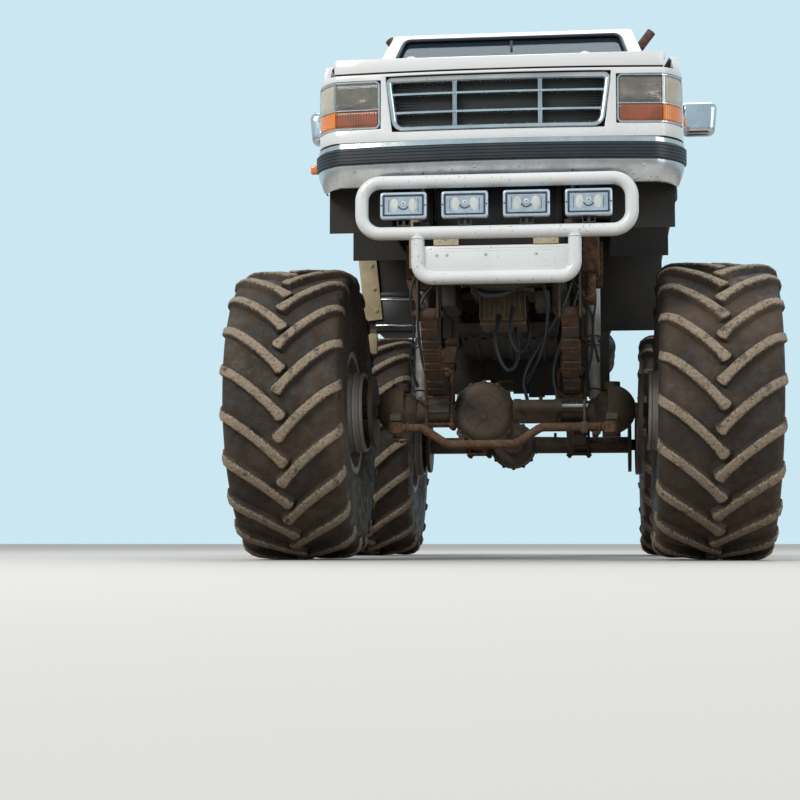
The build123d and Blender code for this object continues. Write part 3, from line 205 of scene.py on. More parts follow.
def makeRust():  # brown patches with a paler bloom inside them
    group, entry, leave = newGroup("rustPatches", Dark=(0.07, 0.028, 0.014), Bright=(0.3, 0.115, 0.04), Amount=0.5,
                                   Scale=6.0)
    big = noiseOf(group, 6.0, 9.0, 0.7, entry["Scale"])
    small = noiseOf(group, 45.0, 5.0, 0.6)
    tone = mixed(group, ranged(group, small, 0.38, 0.68), entry["Dark"], entry["Bright"])
    start = ranged(group, entry["Amount"], 0.0, 1.0, 0.72, 0.22)
    mask = maths(group, "MULTIPLY", maths(group, "SUBTRACT", big, start), 9.0, clamp=True)
    return coverWith(group, entry, leave, mask, tone)


def makeMottle():  # slow shifts of tone, such as oil, sun-fade or old paint
    group, entry, leave = newGroup("mottle", Other=(0.5, 0.5, 0.5), Amount=0.5, Scale=4.0)
    cloud = noiseOf(group, 4.0, 7.0, 0.62, entry["Scale"])
    mask = maths(group, "MULTIPLY", ranged(group, cloud, 0.36, 0.66), entry["Amount"], clamp=True)
    return coverWith(group, entry, leave, mask, entry["Other"])


def makeUndercoatAndShade():  # faces that look down are darkened: a black, crusted undercoat and painted shade
    group, entry, leave = newGroup("undercoatAndShade", Dark=(0.022, 0.018, 0.015), Amount=1.0)
    cloud = noiseOf(group, 14.0, 6.0, 0.65)
    cakeAndShade = mixed(group, ranged(group, cloud, 0.45, 0.75), entry["Dark"], (0.1, 0.068, 0.042, 1))
    down = ranged(group, upwardness(group), -0.3, -0.55)
    mask = maths(group, "MULTIPLY", down, entry["Amount"], clamp=True)
    return coverWith(group, entry, leave, mask, cakeAndShade)


def makeGrain():  # height of a cast, moulded or sprayed surface
    group, entry, leave = newGroup("surfaceGrain", False, Scale=200.0, Coarse=0.3)
    fine = noiseOf(group, 200.0, 4.0, 0.6, entry["Scale"])
    wide = noiseOf(group, 20.0, 3.0, 0.5, maths(group, "MULTIPLY", entry["Scale"], 0.09))
    total = maths(group, "ADD", fine, maths(group, "MULTIPLY", wide, entry["Coarse"]))
    group.links.new(total, leave["Height"])
    return group


effects = {"dust": makeDust(), "speckle": makeSpeckle(), "rust": makeRust(), "mottle": makeMottle(),
           "grain": makeGrain(),
           "undercoatAndShade": makeUndercoatAndShade()}
finishes = {}


def placeGroup(tree, effect, values):
    node = tree.nodes.new("ShaderNodeGroup")
    node.node_tree = effects[effect]
    for label, value in values.items():
        node.inputs[label].default_value = (*value, 1) if isinstance(value, tuple) else value
    return node


def addBump(tree, shader, height, strength, depth):
    bump = tree.nodes.new("ShaderNodeBump")
    bump.inputs["Strength"].default_value = strength
    bump.inputs["Distance"].default_value = depth
    tree.links.new(height, bump.inputs["Height"])
    tree.links.new(bump.outputs["Normal"], shader.inputs["Normal"])


def addLayers(tree, shader, color, roughness, metallic, layers):  # each layer is laid over the ones before it
    tint, rough, metal = None, roughness, metallic
    for effect, values, layerRoughness in layers:
        node = placeGroup(tree, effect, values)
        if tint is None:
            node.inputs["Clean"].default_value = (*color, 1)
        else:
            tree.links.new(tint, node.inputs["Clean"])
        tint = node.outputs["Color"]
        rough = mixed(tree, node.outputs["Mask"], rough, layerRoughness, "FLOAT")
        if metallic > 0 and effect != "mottle":
            metal = mixed(tree, node.outputs["Mask"], metal, 0.0, "FLOAT")
    if tint is not None:
        tree.links.new(tint, shader.inputs["Base Color"])
        tree.links.new(rough, shader.inputs["Roughness"])
        if isinstance(metal, bpy.types.NodeSocket):
            tree.links.new(metal, shader.inputs["Metallic"])


def makeFinish(name, color, roughness, metallic=0.0, layers=(), grain=None, **shaderValues):
    material = bpy.data.materials.new(name)
    material.use_nodes = True
    tree = material.node_tree
    shader = tree.nodes["Principled BSDF"]
    shader.inputs["Base Color"].default_value = (*color, 1)
    shader.inputs["Roughness"].default_value = roughness
    shader.inputs["Metallic"].default_value = metallic
    for label, value in shaderValues.items():
        shader.inputs[label.replace("_", " ")].default_value = value
    addLayers(tree, shader, color, roughness, metallic, layers)
    if grain:
        scale, depth, strength, coarse = (*grain, 0.3)[:4]
        height = placeGroup(tree, "grain", {"Scale": scale, "Coarse": coarse})
        addBump(tree, shader, height.outputs["Height"], strength, depth)
    finishes[name] = material
    return material


def mottle(other, amount, scale, rough):
    return "mottle", {"Other": other, "Amount": amount, "Scale": scale}, rough


def dust(tone, amount, scale, high, low, settled, rough):
    return "dust", {"Dust": tone, "Amount": amount, "Scale": scale, "High": high, "Low": low,
                    "Settled": settled}, rough


def speckle(mud, amount, scale, rough, high=2.8):
    return "speckle", {"Mud": mud, "Amount": amount, "Scale": scale, "High": high}, rough


def rust(amount, scale, rough, dark=(0.07, 0.028, 0.014), bright=(0.3, 0.115, 0.04)):
    return "rust", {"Dark": dark, "Bright": bright, "Amount": amount, "Scale": scale}, rough


# Each has colour, roughness, metallic, its layers, and a grain of scale, depth, strength and coarseness
oldMud = (0.1, 0.068, 0.042)
makeFinish("bodyPaint", (0.81, 0.835, 0.85), 0.24, 0.0, [
    mottle((0.74, 0.765, 0.775), 0.5, 1.4, 0.3),
    dust((0.58, 0.52, 0.42), 0.34, 2.2, 2.5, 1.5, 0.12, 0.7),
    speckle((0.25, 0.2, 0.15), 0.7, 70.0, 0.8, 2.9),
    # downward faces of the body take the dark undercoat and painted shade
    ("undercoatAndShade", {}, 0.85),
], (260.0, 0.0004, 0.12), Coat_Weight=0.5, Coat_Roughness=0.08)
makeFinish("tubePaint", (0.78, 0.82, 0.835), 0.34, 0.0, [
    mottle((0.69, 0.72, 0.72), 0.6, 3.0, 0.4),
    rust(0.07, 22.0, 0.8, (0.2, 0.1, 0.05), (0.42, 0.27, 0.15)),
    speckle((0.22, 0.17, 0.12), 0.9, 60.0, 0.8, 3.6),
], (180.0, 0.0006, 0.2), Coat_Weight=0.25, Coat_Roughness=0.15)
makeFinish("chrome", (0.6, 0.62, 0.64), 0.09, 1.0, [
    mottle((0.36, 0.37, 0.38), 0.7, 6.0, 0.24),
    dust((0.36, 0.32, 0.25), 0.42, 5.0, 2.7, 1.6, 0.1, 0.75),
    speckle((0.09, 0.07, 0.05), 0.9, 60.0, 0.85, 3.2),
])
makeFinish("stripRubber", (0.012, 0.015, 0.021), 0.38, 0.0, [
    dust((0.085, 0.085, 0.085), 0.3, 5.0, 3.2, 1.4, 0.4, 0.8),
], (420.0, 0.0008, 0.5))
makeFinish("frameBlack", (0.018, 0.015, 0.013), 0.5, 0.0, [
    mottle((0.04, 0.03, 0.022), 0.9, 5.0, 0.72),
    dust((0.17, 0.12, 0.08), 0.55, 4.0, 2.6, 0.3, 0.5, 0.92),
    rust(0.16, 7.0, 0.9),
], (120.0, 0.0016, 0.6, 0.8))
makeFinish("castMetal", (0.035, 0.028, 0.022), 0.5, 0.2, [
    mottle((0.085, 0.062, 0.042), 0.9, 4.0, 0.7),
    dust((0.22, 0.155, 0.095), 0.7, 5.0, 2.2, 0.0, 0.5, 0.92),
    rust(0.2, 9.0, 0.9),
], (90.0, 0.003, 0.7, 1.0))
makeFinish("springSteel", (0.05, 0.036, 0.028), 0.6, 0.3, [
    rust(0.55, 8.0, 0.88, (0.05, 0.025, 0.015), (0.16, 0.075, 0.035)),
    dust((0.24, 0.17, 0.11), 0.6, 8.0, 2.0, 0.2, 0.4, 0.95),
], (130.0, 0.002, 0.6, 0.7))
makeFinish("rustySteel", (0.062, 0.036, 0.024), 0.7, 0.2, [
    rust(0.75, 7.0, 0.92, (0.045, 0.023, 0.014), (0.165, 0.08, 0.038)),
    dust((0.2, 0.145, 0.09), 0.5, 6.0, 1.6, 0.1, 0.4, 0.95),
], (110.0, 0.002, 0.7, 0.9))
makeFinish("damperWhite", (0.62, 0.62, 0.6), 0.35, 0.0, [
    mottle((0.34, 0.31, 0.27), 0.8, 9.0, 0.6),
    dust((0.2, 0.15, 0.1), 0.8, 9.0, 1.7, 0.7, 0.4, 0.9),
    speckle(oldMud, 0.9, 50.0, 0.9),
])
makeFinish("boxBlack", (0.02, 0.02, 0.021), 0.4, 0.0, [
    dust((0.2, 0.15, 0.1), 0.5, 6.0, 2.2, 0.5, 0.6, 0.9),
], (200.0, 0.001, 0.5))
makeFinish("creamPlate", (0.6, 0.49, 0.29), 0.55, 0.0, [
    mottle((0.36, 0.3, 0.2), 0.9, 6.0, 0.7),
    speckle(oldMud, 0.95, 45.0, 0.9, 4.0),
    rust(0.12, 12.0, 0.9),
], (140.0, 0.001, 0.4))
# near-black radiator core: painted shade seen through the grille
makeFinish("radiatorShadeBlack", (0.007, 0.007, 0.008), 0.55, 0.3, [
    dust((0.08, 0.065, 0.05), 0.3, 5.0, 3.5, 1.4, 0.1, 0.9),
], (500.0, 0.002, 0.8))
makeFinish("dashPlastic", (0.055, 0.055, 0.06), 0.5, 0.0, [
    mottle((0.085, 0.082, 0.08), 0.6, 4.0, 0.62),
], (700.0, 0.0006, 0.6))
makeFinish("linerBlack", (0.011, 0.01, 0.009), 0.7, 0.0, [
    dust((0.1, 0.07, 0.045), 0.45, 4.0, 2.8, 1.2, 0.4, 0.95),
], (90.0, 0.003, 0.7, 1.0))
makeFinish("rimPaint", (0.4, 0.39, 0.37), 0.4, 0.0, [
    mottle((0.24, 0.21, 0.18), 0.8, 5.0, 0.5),
    dust((0.27, 0.2, 0.13), 0.8, 6.0, 1.5, 0.2, 0.5, 0.9),
    rust(0.1, 12.0, 0.9),
], (150.0, 0.001, 0.4))
makeFinish("pipeRust", (0.1, 0.06, 0.045), 0.62, 0.5, [
    rust(0.7, 10.0, 0.85, (0.045, 0.024, 0.018), (0.16, 0.085, 0.055)),
], (160.0, 0.0012, 0.5))
makeFinish("sumpMetal", (0.075, 0.055, 0.035), 0.48, 0.3, [
    mottle((0.17, 0.125, 0.07), 0.9, 9.0, 0.62),
    speckle(oldMud, 0.9, 45.0, 0.9),
], (90.0, 0.002, 0.6, 0.9))
makeFinish("pinkPipe", (0.32, 0.17, 0.13), 0.5, 0.1, [
    mottle((0.2, 0.11, 0.085), 0.9, 12.0, 0.7),
], (120.0, 0.001, 0.5))
makeFinish("mirrorGlass", (0.9, 0.91, 0.92), 0.03, 1.0, [
    mottle((0.8, 0.81, 0.82), 0.4, 5.0, 0.1),
])
makeFinish("seatCloth", (0.16, 0.15, 0.15), 0.85, 0.0, [
    mottle((0.11, 0.1, 0.1), 0.7, 6.0, 0.9),
], (900.0, 0.0012, 0.8), Sheen_Weight=0.4)


def makeGlass(name, color, roughness, clearness, layers):  # thin glass: seen through, with a film of dust
    makeFinish(name, color, roughness, 0.0, layers, Transmission_Weight=clearness, IOR=1.45)


makeGlass("cabGlass", (0.1, 0.17, 0.24), 0.03, 0.85, [
    dust((0.45, 0.42, 0.36), 0.06, 6.0, 4.0, 2.4, 0.1, 0.5)])
makeGlass("lampGlass", (0.74, 0.7, 0.64), 0.08, 0.9, [
    dust((0.27, 0.235, 0.19), 0.6, 9.0, 3.6, 1.6, 0.1, 0.7)])
makeGlass("amberGlass", (0.72, 0.21, 0.02), 0.16, 0.35, [
    dust((0.26, 0.13, 0.05), 0.55, 10.0, 3.4, 1.5, 0.1, 0.7)])
makeGlass("redGlass", (0.46, 0.02, 0.015), 0.14, 0.3, [
    dust((0.28, 0.14, 0.1), 0.5, 10.0, 3.4, 1.5, 0.1, 0.7)])


def makeTyreRubber():  # the lug tops are dry and dusty; the floor between them is darkened with mud and painted shade
    material = makeFinish("tyreRubber", (0.03, 0.028, 0.026), 0.75)
    tree = material.node_tree
    shader = tree.nodes["Principled BSDF"]
    lug = tree.nodes.new("ShaderNodeAttribute")
    lug.attribute_name = "lugHeight"
    level = lug.outputs["Fac"]
    broad, mid, fine = noiseOf(tree, 2.6, 6.0, 0.6), noiseOf(tree, 17.0, 6.0, 0.65), noiseOf(tree, 75.0, 5.0, 0.6)
    # the floor's near-black tones are mud and painted shade between the lugs
    wetMudAndShade = mixed(tree, ranged(tree, mid, 0.35, 0.7), (0.012, 0.009, 0.007, 1), (0.052, 0.034, 0.021, 1))
    floorMudAndShade = mixed(tree, ranged(tree, broad, 0.46, 0.74), wetMudAndShade, (0.1, 0.068, 0.042, 1))
    dryDust = mixed(tree, ranged(tree, fine, 0.3, 0.7), (0.19, 0.15, 0.108, 1), (0.38, 0.31, 0.23, 1))
    wornTop = mixed(tree, ranged(tree, mid, 0.56, 0.66), dryDust, (0.075, 0.066, 0.058, 1))
    edge = ranged(tree, maths(tree, "ADD", level, ranged(tree, fine, 0.3, 0.7, -0.16, 0.16)), 0.72, 0.96)
    crustAndShade = mixed(tree, edge, floorMudAndShade, wornTop)
    tree.links.new(crustAndShade, shader.inputs["Base Color"])
    damp = ranged(tree, mid, 0.35, 0.6, 0.46, 0.95)
    tree.links.new(mixed(tree, edge, damp, 0.92, "FLOAT"), shader.inputs["Roughness"])
    clumps = maths(tree, "ADD", mid, maths(tree, "MULTIPLY", fine, 0.5))
    addBump(tree, shader, clumps, 0.7, 0.012)


makeTyreRubber()
print("finishes made:", len(finishes))


# Which finish each CAD node takes
nodeFinish = {
    "cab_shell": "bodyPaint", "cab_glass": "cabGlass", "front_panel": "bodyPaint", "grille": "chrome",
    "headlamps": "lampGlass", "turn_signals": "amberGlass", "fenders": "bodyPaint", "fender_liners": "linerBlack",
    "front_bumper": "chrome", "bumper_strip": "stripRubber", "bull_bar": "tubePaint", "driving_lamps": "chrome",
    "bed_box": "bodyPaint", "tail_lamps": "redGlass", "rear_bumper": "chrome", "chassis_frame": "frameBlack",
    "leaf_springs": "springSteel", "shock_absorbers": "damperWhite", "front_axle": "castMetal",
    "rear_axle": "castMetal", "engine": "castMetal", "gearbox": "castMetal", "drive_shafts": "springSteel",
    "traction_bars": "rustySteel", "exhaust_stacks": "pipeRust", "side_box": "boxBlack", "grab_loops": "frameBlack",
    "bench_seat": "seatCloth", "dashboard": "dashPlastic", "radiator": "radiatorShadeBlack", "door_left": "bodyPaint",
    "door_right": "bodyPaint", "door_glass_left": "cabGlass", "door_glass_right": "cabGlass",
    "mirror_left": "chrome", "mirror_right": "chrome", "hood": "bodyPaint", "tailgate": "bodyPaint",
    "knuckle_left": "castMetal", "knuckle_right": "castMetal", "tie_rod": "rustySteel",
}
for corner in ("front_left", "front_right", "rear_left", "rear_right"):
    nodeFinish["rim_" + corner] = "rimPaint"
    nodeFinish["tyre_" + corner] = "tyreRubber"
for nodeName, node in nodes.items():
    node.data.materials.clear()
    node.data.materials.append(finishes[nodeFinish[nodeName]])


def makePiece(name, bm, finish, body="truck", angle=35, stands=()):
    bmesh.ops.recalc_face_normals(bm, faces=bm.faces)
    mesh = bpy.data.meshes.new(name)
    bm.to_mesh(mesh)
    bm.free()
    mesh.polygons.foreach_set("use_smooth", [True] * len(mesh.polygons))
    mesh.set_sharp_from_angle(angle=math.radians(angle))
    mesh.materials.append(finishes[finish])
    piece = bpy.data.objects.new(name, mesh)
    scene.collection.objects.link(piece)
    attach(piece, body)
    if stands:
        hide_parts(*stands)


def place(bm, verts, matrix):
    bmesh.ops.transform(bm, matrix=matrix, verts=verts)
    return verts


def addBlock(bm, low, high):
    low, high = Vector(low), Vector(high)
    verts = bmesh.ops.create_cube(bm, size=1)["verts"]
    return place(bm, verts, Matrix.Translation((low + high) / 2) @ Matrix.Diagonal((*(high - low), 1)))


def alongMatrix(start, end):  # local Z from start towards end
    start, end = Vector(start), Vector(end)
    turn = (end - start).to_track_quat("Z", "Y").to_matrix().to_4x4()
    return Matrix.Translation((start + end) / 2) @ turn, (end - start).length


def addRod(bm, start, end, radius, segments=20, radiusEnd=None):
    matrix, length = alongMatrix(start, end)
    verts = bmesh.ops.create_cone(bm, cap_ends=True, segments=segments, radius1=radius,
                                  radius2=radius if radiusEnd is None else radiusEnd, depth=length)["verts"]
    return place(bm, verts, matrix)


def bevelled(bm, geometry, width, segments=2):
    return bmesh.ops.bevel(bm, geom=geometry, offset=width, offset_type="OFFSET", segments=segments, profile=0.5,
                           affect="EDGES", clamp_overlap=True, material=-1)


def sharpEdges(bm, degrees=30):
    limit = math.radians(degrees)
    return [edge for edge in bm.edges if edge.is_manifold and edge.calc_face_angle(0.0) > limit]


def edgesOf(verts):  # in a fixed order, so that each run bevels alike
    return list(dict.fromkeys(edge for vert in verts for edge in vert.link_edges))


def softBlock(bm, low, high, width=0.004, segments=2):
    verts = addBlock(bm, low, high)
    return bevelled(bm, edgesOf(verts), width, segments)


def sideBlock(bm, side, low, high, width=0.004, segments=2):  # given for the left, turned over for the right
    near, far = sorted((side * low[0], side * high[0]))
    return softBlock(bm, (near, *low[1:]), (far, *high[1:]), width, segments)


def softRod(bm, start, end, radius, segments, width, rounds, radiusEnd=None):
    verts = addRod(bm, start, end, radius, segments, radiusEnd)
    rims = [edge for edge in edgesOf(verts) if edge.calc_face_angle(0.0) > 1.0]
    return bevelled(bm, rims, width, rounds)


def asMesh(draw):  # the function draws into an empty bmesh, which its callers get
    def build(*values):
        bm = bmesh.new()
        draw(bm, *values)
        return bm
    return build


# Floor, backdrop and lamps
stageSetup = {"floorSize": 90.0, "pale": (0.62, 0.61, 0.59, 1), "bounce": (0.2, 0.165, 0.13, 1),
              "sky": (0.6, 0.8, 0.89, 1), "skyLight": 0.62}


def backdropRays(tree):  # 1 where the backdrop is seen directly or in gloss and glass
    path = tree.nodes.new("ShaderNodeLightPath")
    seen = maths(tree, "MAXIMUM", path.outputs["Is Camera Ray"], path.outputs["Is Glossy Ray"])
    return maths(tree, "MAXIMUM", seen, path.outputs["Is Transmission Ray"])


def buildStage(setup):
    bm = bmesh.new()
    bmesh.ops.create_grid(bm, x_segments=1, y_segments=1, size=setup["floorSize"])
    mesh = bpy.data.meshes.new("studioFloor")
    bm.to_mesh(mesh)
    bm.free()
    floor = bpy.data.objects.new("studioFloor", mesh)
    scene.collection.objects.link(floor)
    floor.location.z = cadBox[0].z
    material = bpy.data.materials.new("studioFloor")
    material.use_nodes = True
    tree = material.node_tree
    shader = tree.nodes["Principled BSDF"]
    shader.inputs["Roughness"].default_value = 0.9
    tree.links.new(mixed(tree, backdropRays(tree), setup["bounce"], setup["pale"]), shader.inputs["Base Color"])
    mesh.materials.append(material)

    world = bpy.data.worlds.new("studioWorld")
    scene.world = world
    world.use_nodes = True
    tree = world.node_tree
    sky = tree.nodes["Background"]
    tree.links.new(mixed(tree, backdropRays(tree), (1, 1, 1, 1), setup["sky"]), sky.inputs["Color"])
    tree.links.new(ranged(tree, backdropRays(tree), 0.0, 1.0, setup["skyLight"], 1.0), sky.inputs["Strength"])


def addLamp(name, location, aim, size, power, color=(1, 1, 1)):
    lamp = bpy.data.objects.new(name, bpy.data.lights.new(name, "AREA"))
    scene.collection.objects.link(lamp)
    lamp.data.shape = "SQUARE"
    lamp.data.size = size
    lamp.data.energy = power
    lamp.data.color = color
    lamp.location = location
    lamp.rotation_euler = (Vector(aim) - Vector(location)).to_track_quat("-Z", "Y").to_euler()


buildStage(stageSetup)
addLamp("keyLamp", (-7.0, -11.0, 9.0), (0, -1.5, 1.6), 5.0, 980, (1.0, 0.97, 0.92))
addLamp("fillLamp", (9.0, -8.0, 5.0), (0, -1.0, 1.8), 7.0, 300, (0.92, 0.96, 1.0))
addLamp("topLamp", (1.0, 3.0, 11.0), (0, 0, 2.0), 8.0, 520)
print("stage and lamps set")


# Tyres: spun carcass with curved chevron lugs set over it
tyreShape = {
    "lugHeight": 0.046, "lugsPerSide": 20, "lugTop": 0.046, "lugBase": 0.078,
    "profile": [  # across, radius: from the middle of the tread down to the bead
        (0.0, 0.7965), (0.14, 0.796), (0.24, 0.794), (0.292, 0.788), (0.318, 0.764), (0.3255, 0.715),
        (0.329, 0.64), (0.329, 0.55), (0.323, 0.47), (0.31, 0.405), (0.296, 0.37), (0.283, 0.352),
        (0.28, 0.334),
    ],
    "steps": 144, "innerPast": 0.022, "outerReach": 0.385, "steep": 50.0, "shallow": 34.0,
}


def roundedLine(points, rounds=2):
    for turn in range(rounds):
        fresh = [points[0]]
        for (ax, ay), (bx, by) in zip(points, points[1:]):
            fresh += [(ax * 0.75 + bx * 0.25, ay * 0.75 + by * 0.25),
                      (ax * 0.25 + bx * 0.75, ay * 0.25 + by * 0.75)]
        points = fresh + [points[-1]]
    return points


class TyreProfile:  # distance along the outer skin gives place and outward direction
    def __init__(self, points):
        self.points = [Vector((across, radius)) for across, radius in roundedLine(points)]
        self.reach = [0.0]
        for a, b in zip(self.points, self.points[1:]):
            self.reach.append(self.reach[-1] + (b - a).length)

    def at(self, distance):
        side = -1 if distance < 0 else 1
        distance = min(abs(distance), self.reach[-1] - 1e-6)
        index = next(i for i in range(len(self.reach) - 1) if self.reach[i + 1] > distance)
        a, b = self.points[index], self.points[index + 1]
        share = (distance - self.reach[index]) / (self.reach[index + 1] - self.reach[index])
        spot = a.lerp(b, share)
        normal = Vector(((a - b).y, (b - a).x)).normalized()
        return side * spot.x, spot.y, side * normal.x, normal.y


tyreProfile = TyreProfile(tyreShape["profile"])


def lugPath(shape):  # centre line of a lug from its inner end outwards: (across the skin, around the tyre)
    across, around, line = -shape["innerPast"], 0.0, []
    length = shape["outerReach"] + shape["innerPast"]
    samples = 60
    while len(line) <= samples:
        share = len(line) / samples
        angle = math.radians(shape["steep"] + (shape["shallow"] - shape["steep"]) * min(1.0, share * 1.25))
        line.append((across, around, angle))
        across += math.cos(angle) * length / samples / math.cos(math.radians(36))
        around += math.sin(angle) * length / samples / math.cos(math.radians(36))
    return line


def lugTemplate(shape):  # a straight lug with rounded ends and top, 0.52 long along X
    bm = bmesh.new()
    bmesh.ops.create_cube(bm, size=1)
    size = Matrix.Diagonal((0.52, shape["lugTop"], shape["lugHeight"], 1))
    place(bm, bm.verts, size @ Matrix.Translation((0.5, 0, 0.5)))
    lengthwise = [edge for edge in bm.edges if abs(edge.verts[0].co.x - edge.verts[1].co.x) > 0.5]
    bmesh.ops.subdivide_edges(bm, edges=lengthwise, cuts=13, use_grid_fill=True)
    inner = [edge for edge in bm.edges if edge.verts[0].co.x < 0.01]
    bevelled(bm, [edge for edge in inner if abs(edge.verts[0].co.z - edge.verts[1].co.z) > 0.04], 0.018, 4)
    limit = shape["lugHeight"] * 0.9
    top = [edge for edge in bm.edges if min(v.co.z for v in edge.verts) > limit and edge.calc_face_angle(0.0) > 0.5]
    bevelled(bm, top, 0.008, 3)
    mesh = bpy.data.meshes.new("lugTemplate")
    bm.to_mesh(mesh)
    bm.free()
    return mesh


def addLug(bm, template, shape, path, side, angle, levels, seed):
    before = len(bm.verts)
    bm.from_mesh(template)
    bm.verts.ensure_lookup_table()
    for vert in bm.verts[before:]:
        x, y, z = vert.co
        share = min(max(x / 0.52, 0.0), 1.0)
        index = min(int(share * (len(path) - 1)), len(path) - 2)
        blend = share * (len(path) - 1) - index
        across, around, lean = (a + (b - a) * blend for a, b in zip(path[index], path[index + 1]))
        up = z / shape["lugHeight"]
        wide = 1.0 + (shape["lugBase"] / shape["lugTop"] - 1.0) * (1.0 - up)
        wide *= 1.0 + 0.24 * math.exp(-((share - 0.03) / 0.06) ** 2) - 0.06 * share
        drift = y * wide
        across -= math.sin(lean) * drift
        around += math.cos(lean) * drift
        wear = noise.noise(Vector((x * 30 + seed * 7.3, y * 40, z * 30 + seed)))
        spotX, spotR, normalX, normalR = tyreProfile.at(across)
        rise = z * (1.0 - 0.72 * max(0.0, (share - 0.72) / 0.28) ** 1.2) - 0.004 + wear * 0.0022 * up
        px = side * (spotX + normalX * rise)
        pr = spotR + normalR * rise
        theta = angle + around / 0.83
        vert.co = Vector((px, -pr * math.cos(theta), pr * math.sin(theta)))
        vert[levels] = up


@asMesh
def buildTyre(bm, shape, startLeft, startRight):
    levels = bm.verts.layers.float.new("lugHeight")
    outer = [(point.x, point.y) for point in tyreProfile.points]
    line = [(-x, r) for x, r in reversed(outer)] + outer[1:]
    verts = [bm.verts.new((x, 0, r)) for x, r in line]
    verts += [bm.verts.new((x, 0, 0.3335)) for x in (0.14, -0.14)]
    edges = [bm.edges.new((a, b)) for a, b in zip(verts, verts[1:] + verts[:1])]
    bmesh.ops.spin(bm, geom=verts + edges, cent=(0, 0, 0), axis=(1, 0, 0), angle=2 * math.pi, steps=shape["steps"],
                   use_merge=True, use_duplicate=False)
    bmesh.ops.remove_doubles(bm, verts=bm.verts, dist=1e-5)
    for vert in bm.verts:
        radius = math.hypot(vert.co.y, vert.co.z)
        vert[levels] = 0.0
        if radius > 0.74:
            clump = noise.noise(vert.co * 9.0) * 0.6 + noise.noise(vert.co * 25.0) * 0.4
            scaleBy = 1.0 + clump * 0.006
            vert.co.y *= scaleBy
            vert.co.z *= scaleBy
    path, template = lugPath(shape), lugTemplate(shape)
    pitch = 2 * math.pi / shape["lugsPerSide"]
    for count in range(shape["lugsPerSide"]):
        addLug(bm, template, shape, path, 1, math.radians(startRight) + pitch * count, levels, count)
        addLug(bm, template, shape, path, -1, math.radians(startLeft) + pitch * count, levels, count + 50)


wheels = {  # corner: joint, phase of the lugs on the -X and +X side of the tyre
    "front_left": ("spin_front_left", -3.2, 5.8), "front_right": ("spin_front_right", -5.8, 4.0),
    "rear_left": ("spin_rear_left", 1.0, 10.0), "rear_right": ("spin_rear_right", 7.0, -2.0),
}


def wheelMatrix(jointName):
    joint = joints[jointName]
    axis = Vector(joint["axis"]).normalized()
    return Matrix.Translation(joint["pos_m"]) @ Vector((1, 0, 0)).rotation_difference(axis).to_matrix().to_4x4()


for corner, (jointName, startLeft, startRight) in wheels.items():
    bm = buildTyre(tyreShape, startLeft, startRight)
    place(bm, bm.verts, wheelMatrix(jointName))
    words = corner.split("_")
    makePiece("tyre" + words[0].title() + words[1].title(), bm, "tyreRubber", "wheel_" + corner, angle=40,
              stands=["tyre_" + corner])
print("tyres built")


# Sweeping helpers
def roundedPath(points, radius, closed=False, steps=6):
    points = [Vector(point) for point in points]
    path, count = [], len(points)
    for index, point in enumerate(points):
        if not closed and index in (0, count - 1):
            path.append(point)
            continue
        toBack, toAhead = points[index - 1] - point, points[(index + 1) % count] - point
        back, ahead = toBack.normalized(), toAhead.normalized()
        half = back.angle(ahead) / 2
        reach = min(radius / math.tan(half), 0.49 * min(toBack.length, toAhead.length))
        centre = point + (back + ahead).normalized() * reach / math.cos(half)
        start, end = point + back * reach - centre, point + ahead * reach - centre
        turn = start.angle(end)
        for step in range(steps + 1):
            share = step / steps
            blend = start * math.sin((1 - share) * turn) + end * math.sin(share * turn)
            path.append(centre + blend / math.sin(turn))
    return path


def roundedRect(width, height, radius, steps=3):
    w, h = width / 2, height / 2
    corners = [(-w, -h, 0), (w, -h, 0), (w, h, 0), (-w, h, 0)]
    return [(point.x, point.y) for point in roundedPath(corners, radius, True, steps)]


def joinRings(bm, here, there):
    for a in range(len(here)):
        b = (a + 1) % len(here)
        bm.faces.new((here[a], here[b], there[b], there[a]))


def closeEnds(bm, rings):
    bm.faces.new(rings[0])
    bm.faces.new(list(reversed(rings[-1])))


def denseLoop(loop, gap):  # a closed path with points no farther apart than about the gap
    dense = []
    for a, b in zip(loop, loop[1:] + loop[:1]):
        pieces = max(1, int((b - a).length / gap))
        dense += [a.lerp(b, step / pieces) for step in range(pieces)]
    return dense


def sweep(bm, path, section, outward, closed=False):  # section points are (sideways, outward)
    path = [Vector(point) for point in path]
    rings, count = [], len(path)
    for index, point in enumerate(path):
        if closed:
            before, after = path[index - 1], path[(index + 1) % count]
        else:
            before, after = path[max(index - 1, 0)], path[min(index + 1, count - 1)]
        tangent = (after - before).normalized()
        out = Vector(outward)
        out = (out - tangent * out.dot(tangent)).normalized()
        side = out.cross(tangent)
        rings.append([bm.verts.new(point + side * a + out * b) for a, b in section])
    for index in range(count if closed else count - 1):
        joinRings(bm, rings[index], rings[(index + 1) % count])
    if not closed:
        closeEnds(bm, rings)


def addTube(bm, path, radius, segments=14, closed=False):
    path = [Vector(point) for point in path]
    count, rings, normal = len(path), [], None
    for index, point in enumerate(path):
        if closed:
            tangent = (path[(index + 1) % count] - path[index - 1]).normalized()
        else:
            tangent = (path[min(index + 1, count - 1)] - path[max(index - 1, 0)]).normalized()
        if normal is None:
            normal = tangent.orthogonal()
        normal = (normal - tangent * normal.dot(tangent)).normalized()
        other = tangent.cross(normal)
        spokes = [2 * math.pi * turn / segments for turn in range(segments)]
        rings.append([bm.verts.new(point + (normal * math.cos(a) + other * math.sin(a)) * radius) for a in spokes])
    for here, there in zip(rings, rings[1:]):
        joinRings(bm, here, there)
    if closed:
        shift = min(range(segments), key=lambda s: (rings[0][s].co - rings[-1][0].co).length)
        joinRings(bm, rings[-1], rings[0][shift:] + rings[0][:shift])
    else:
        closeEnds(bm, rings)


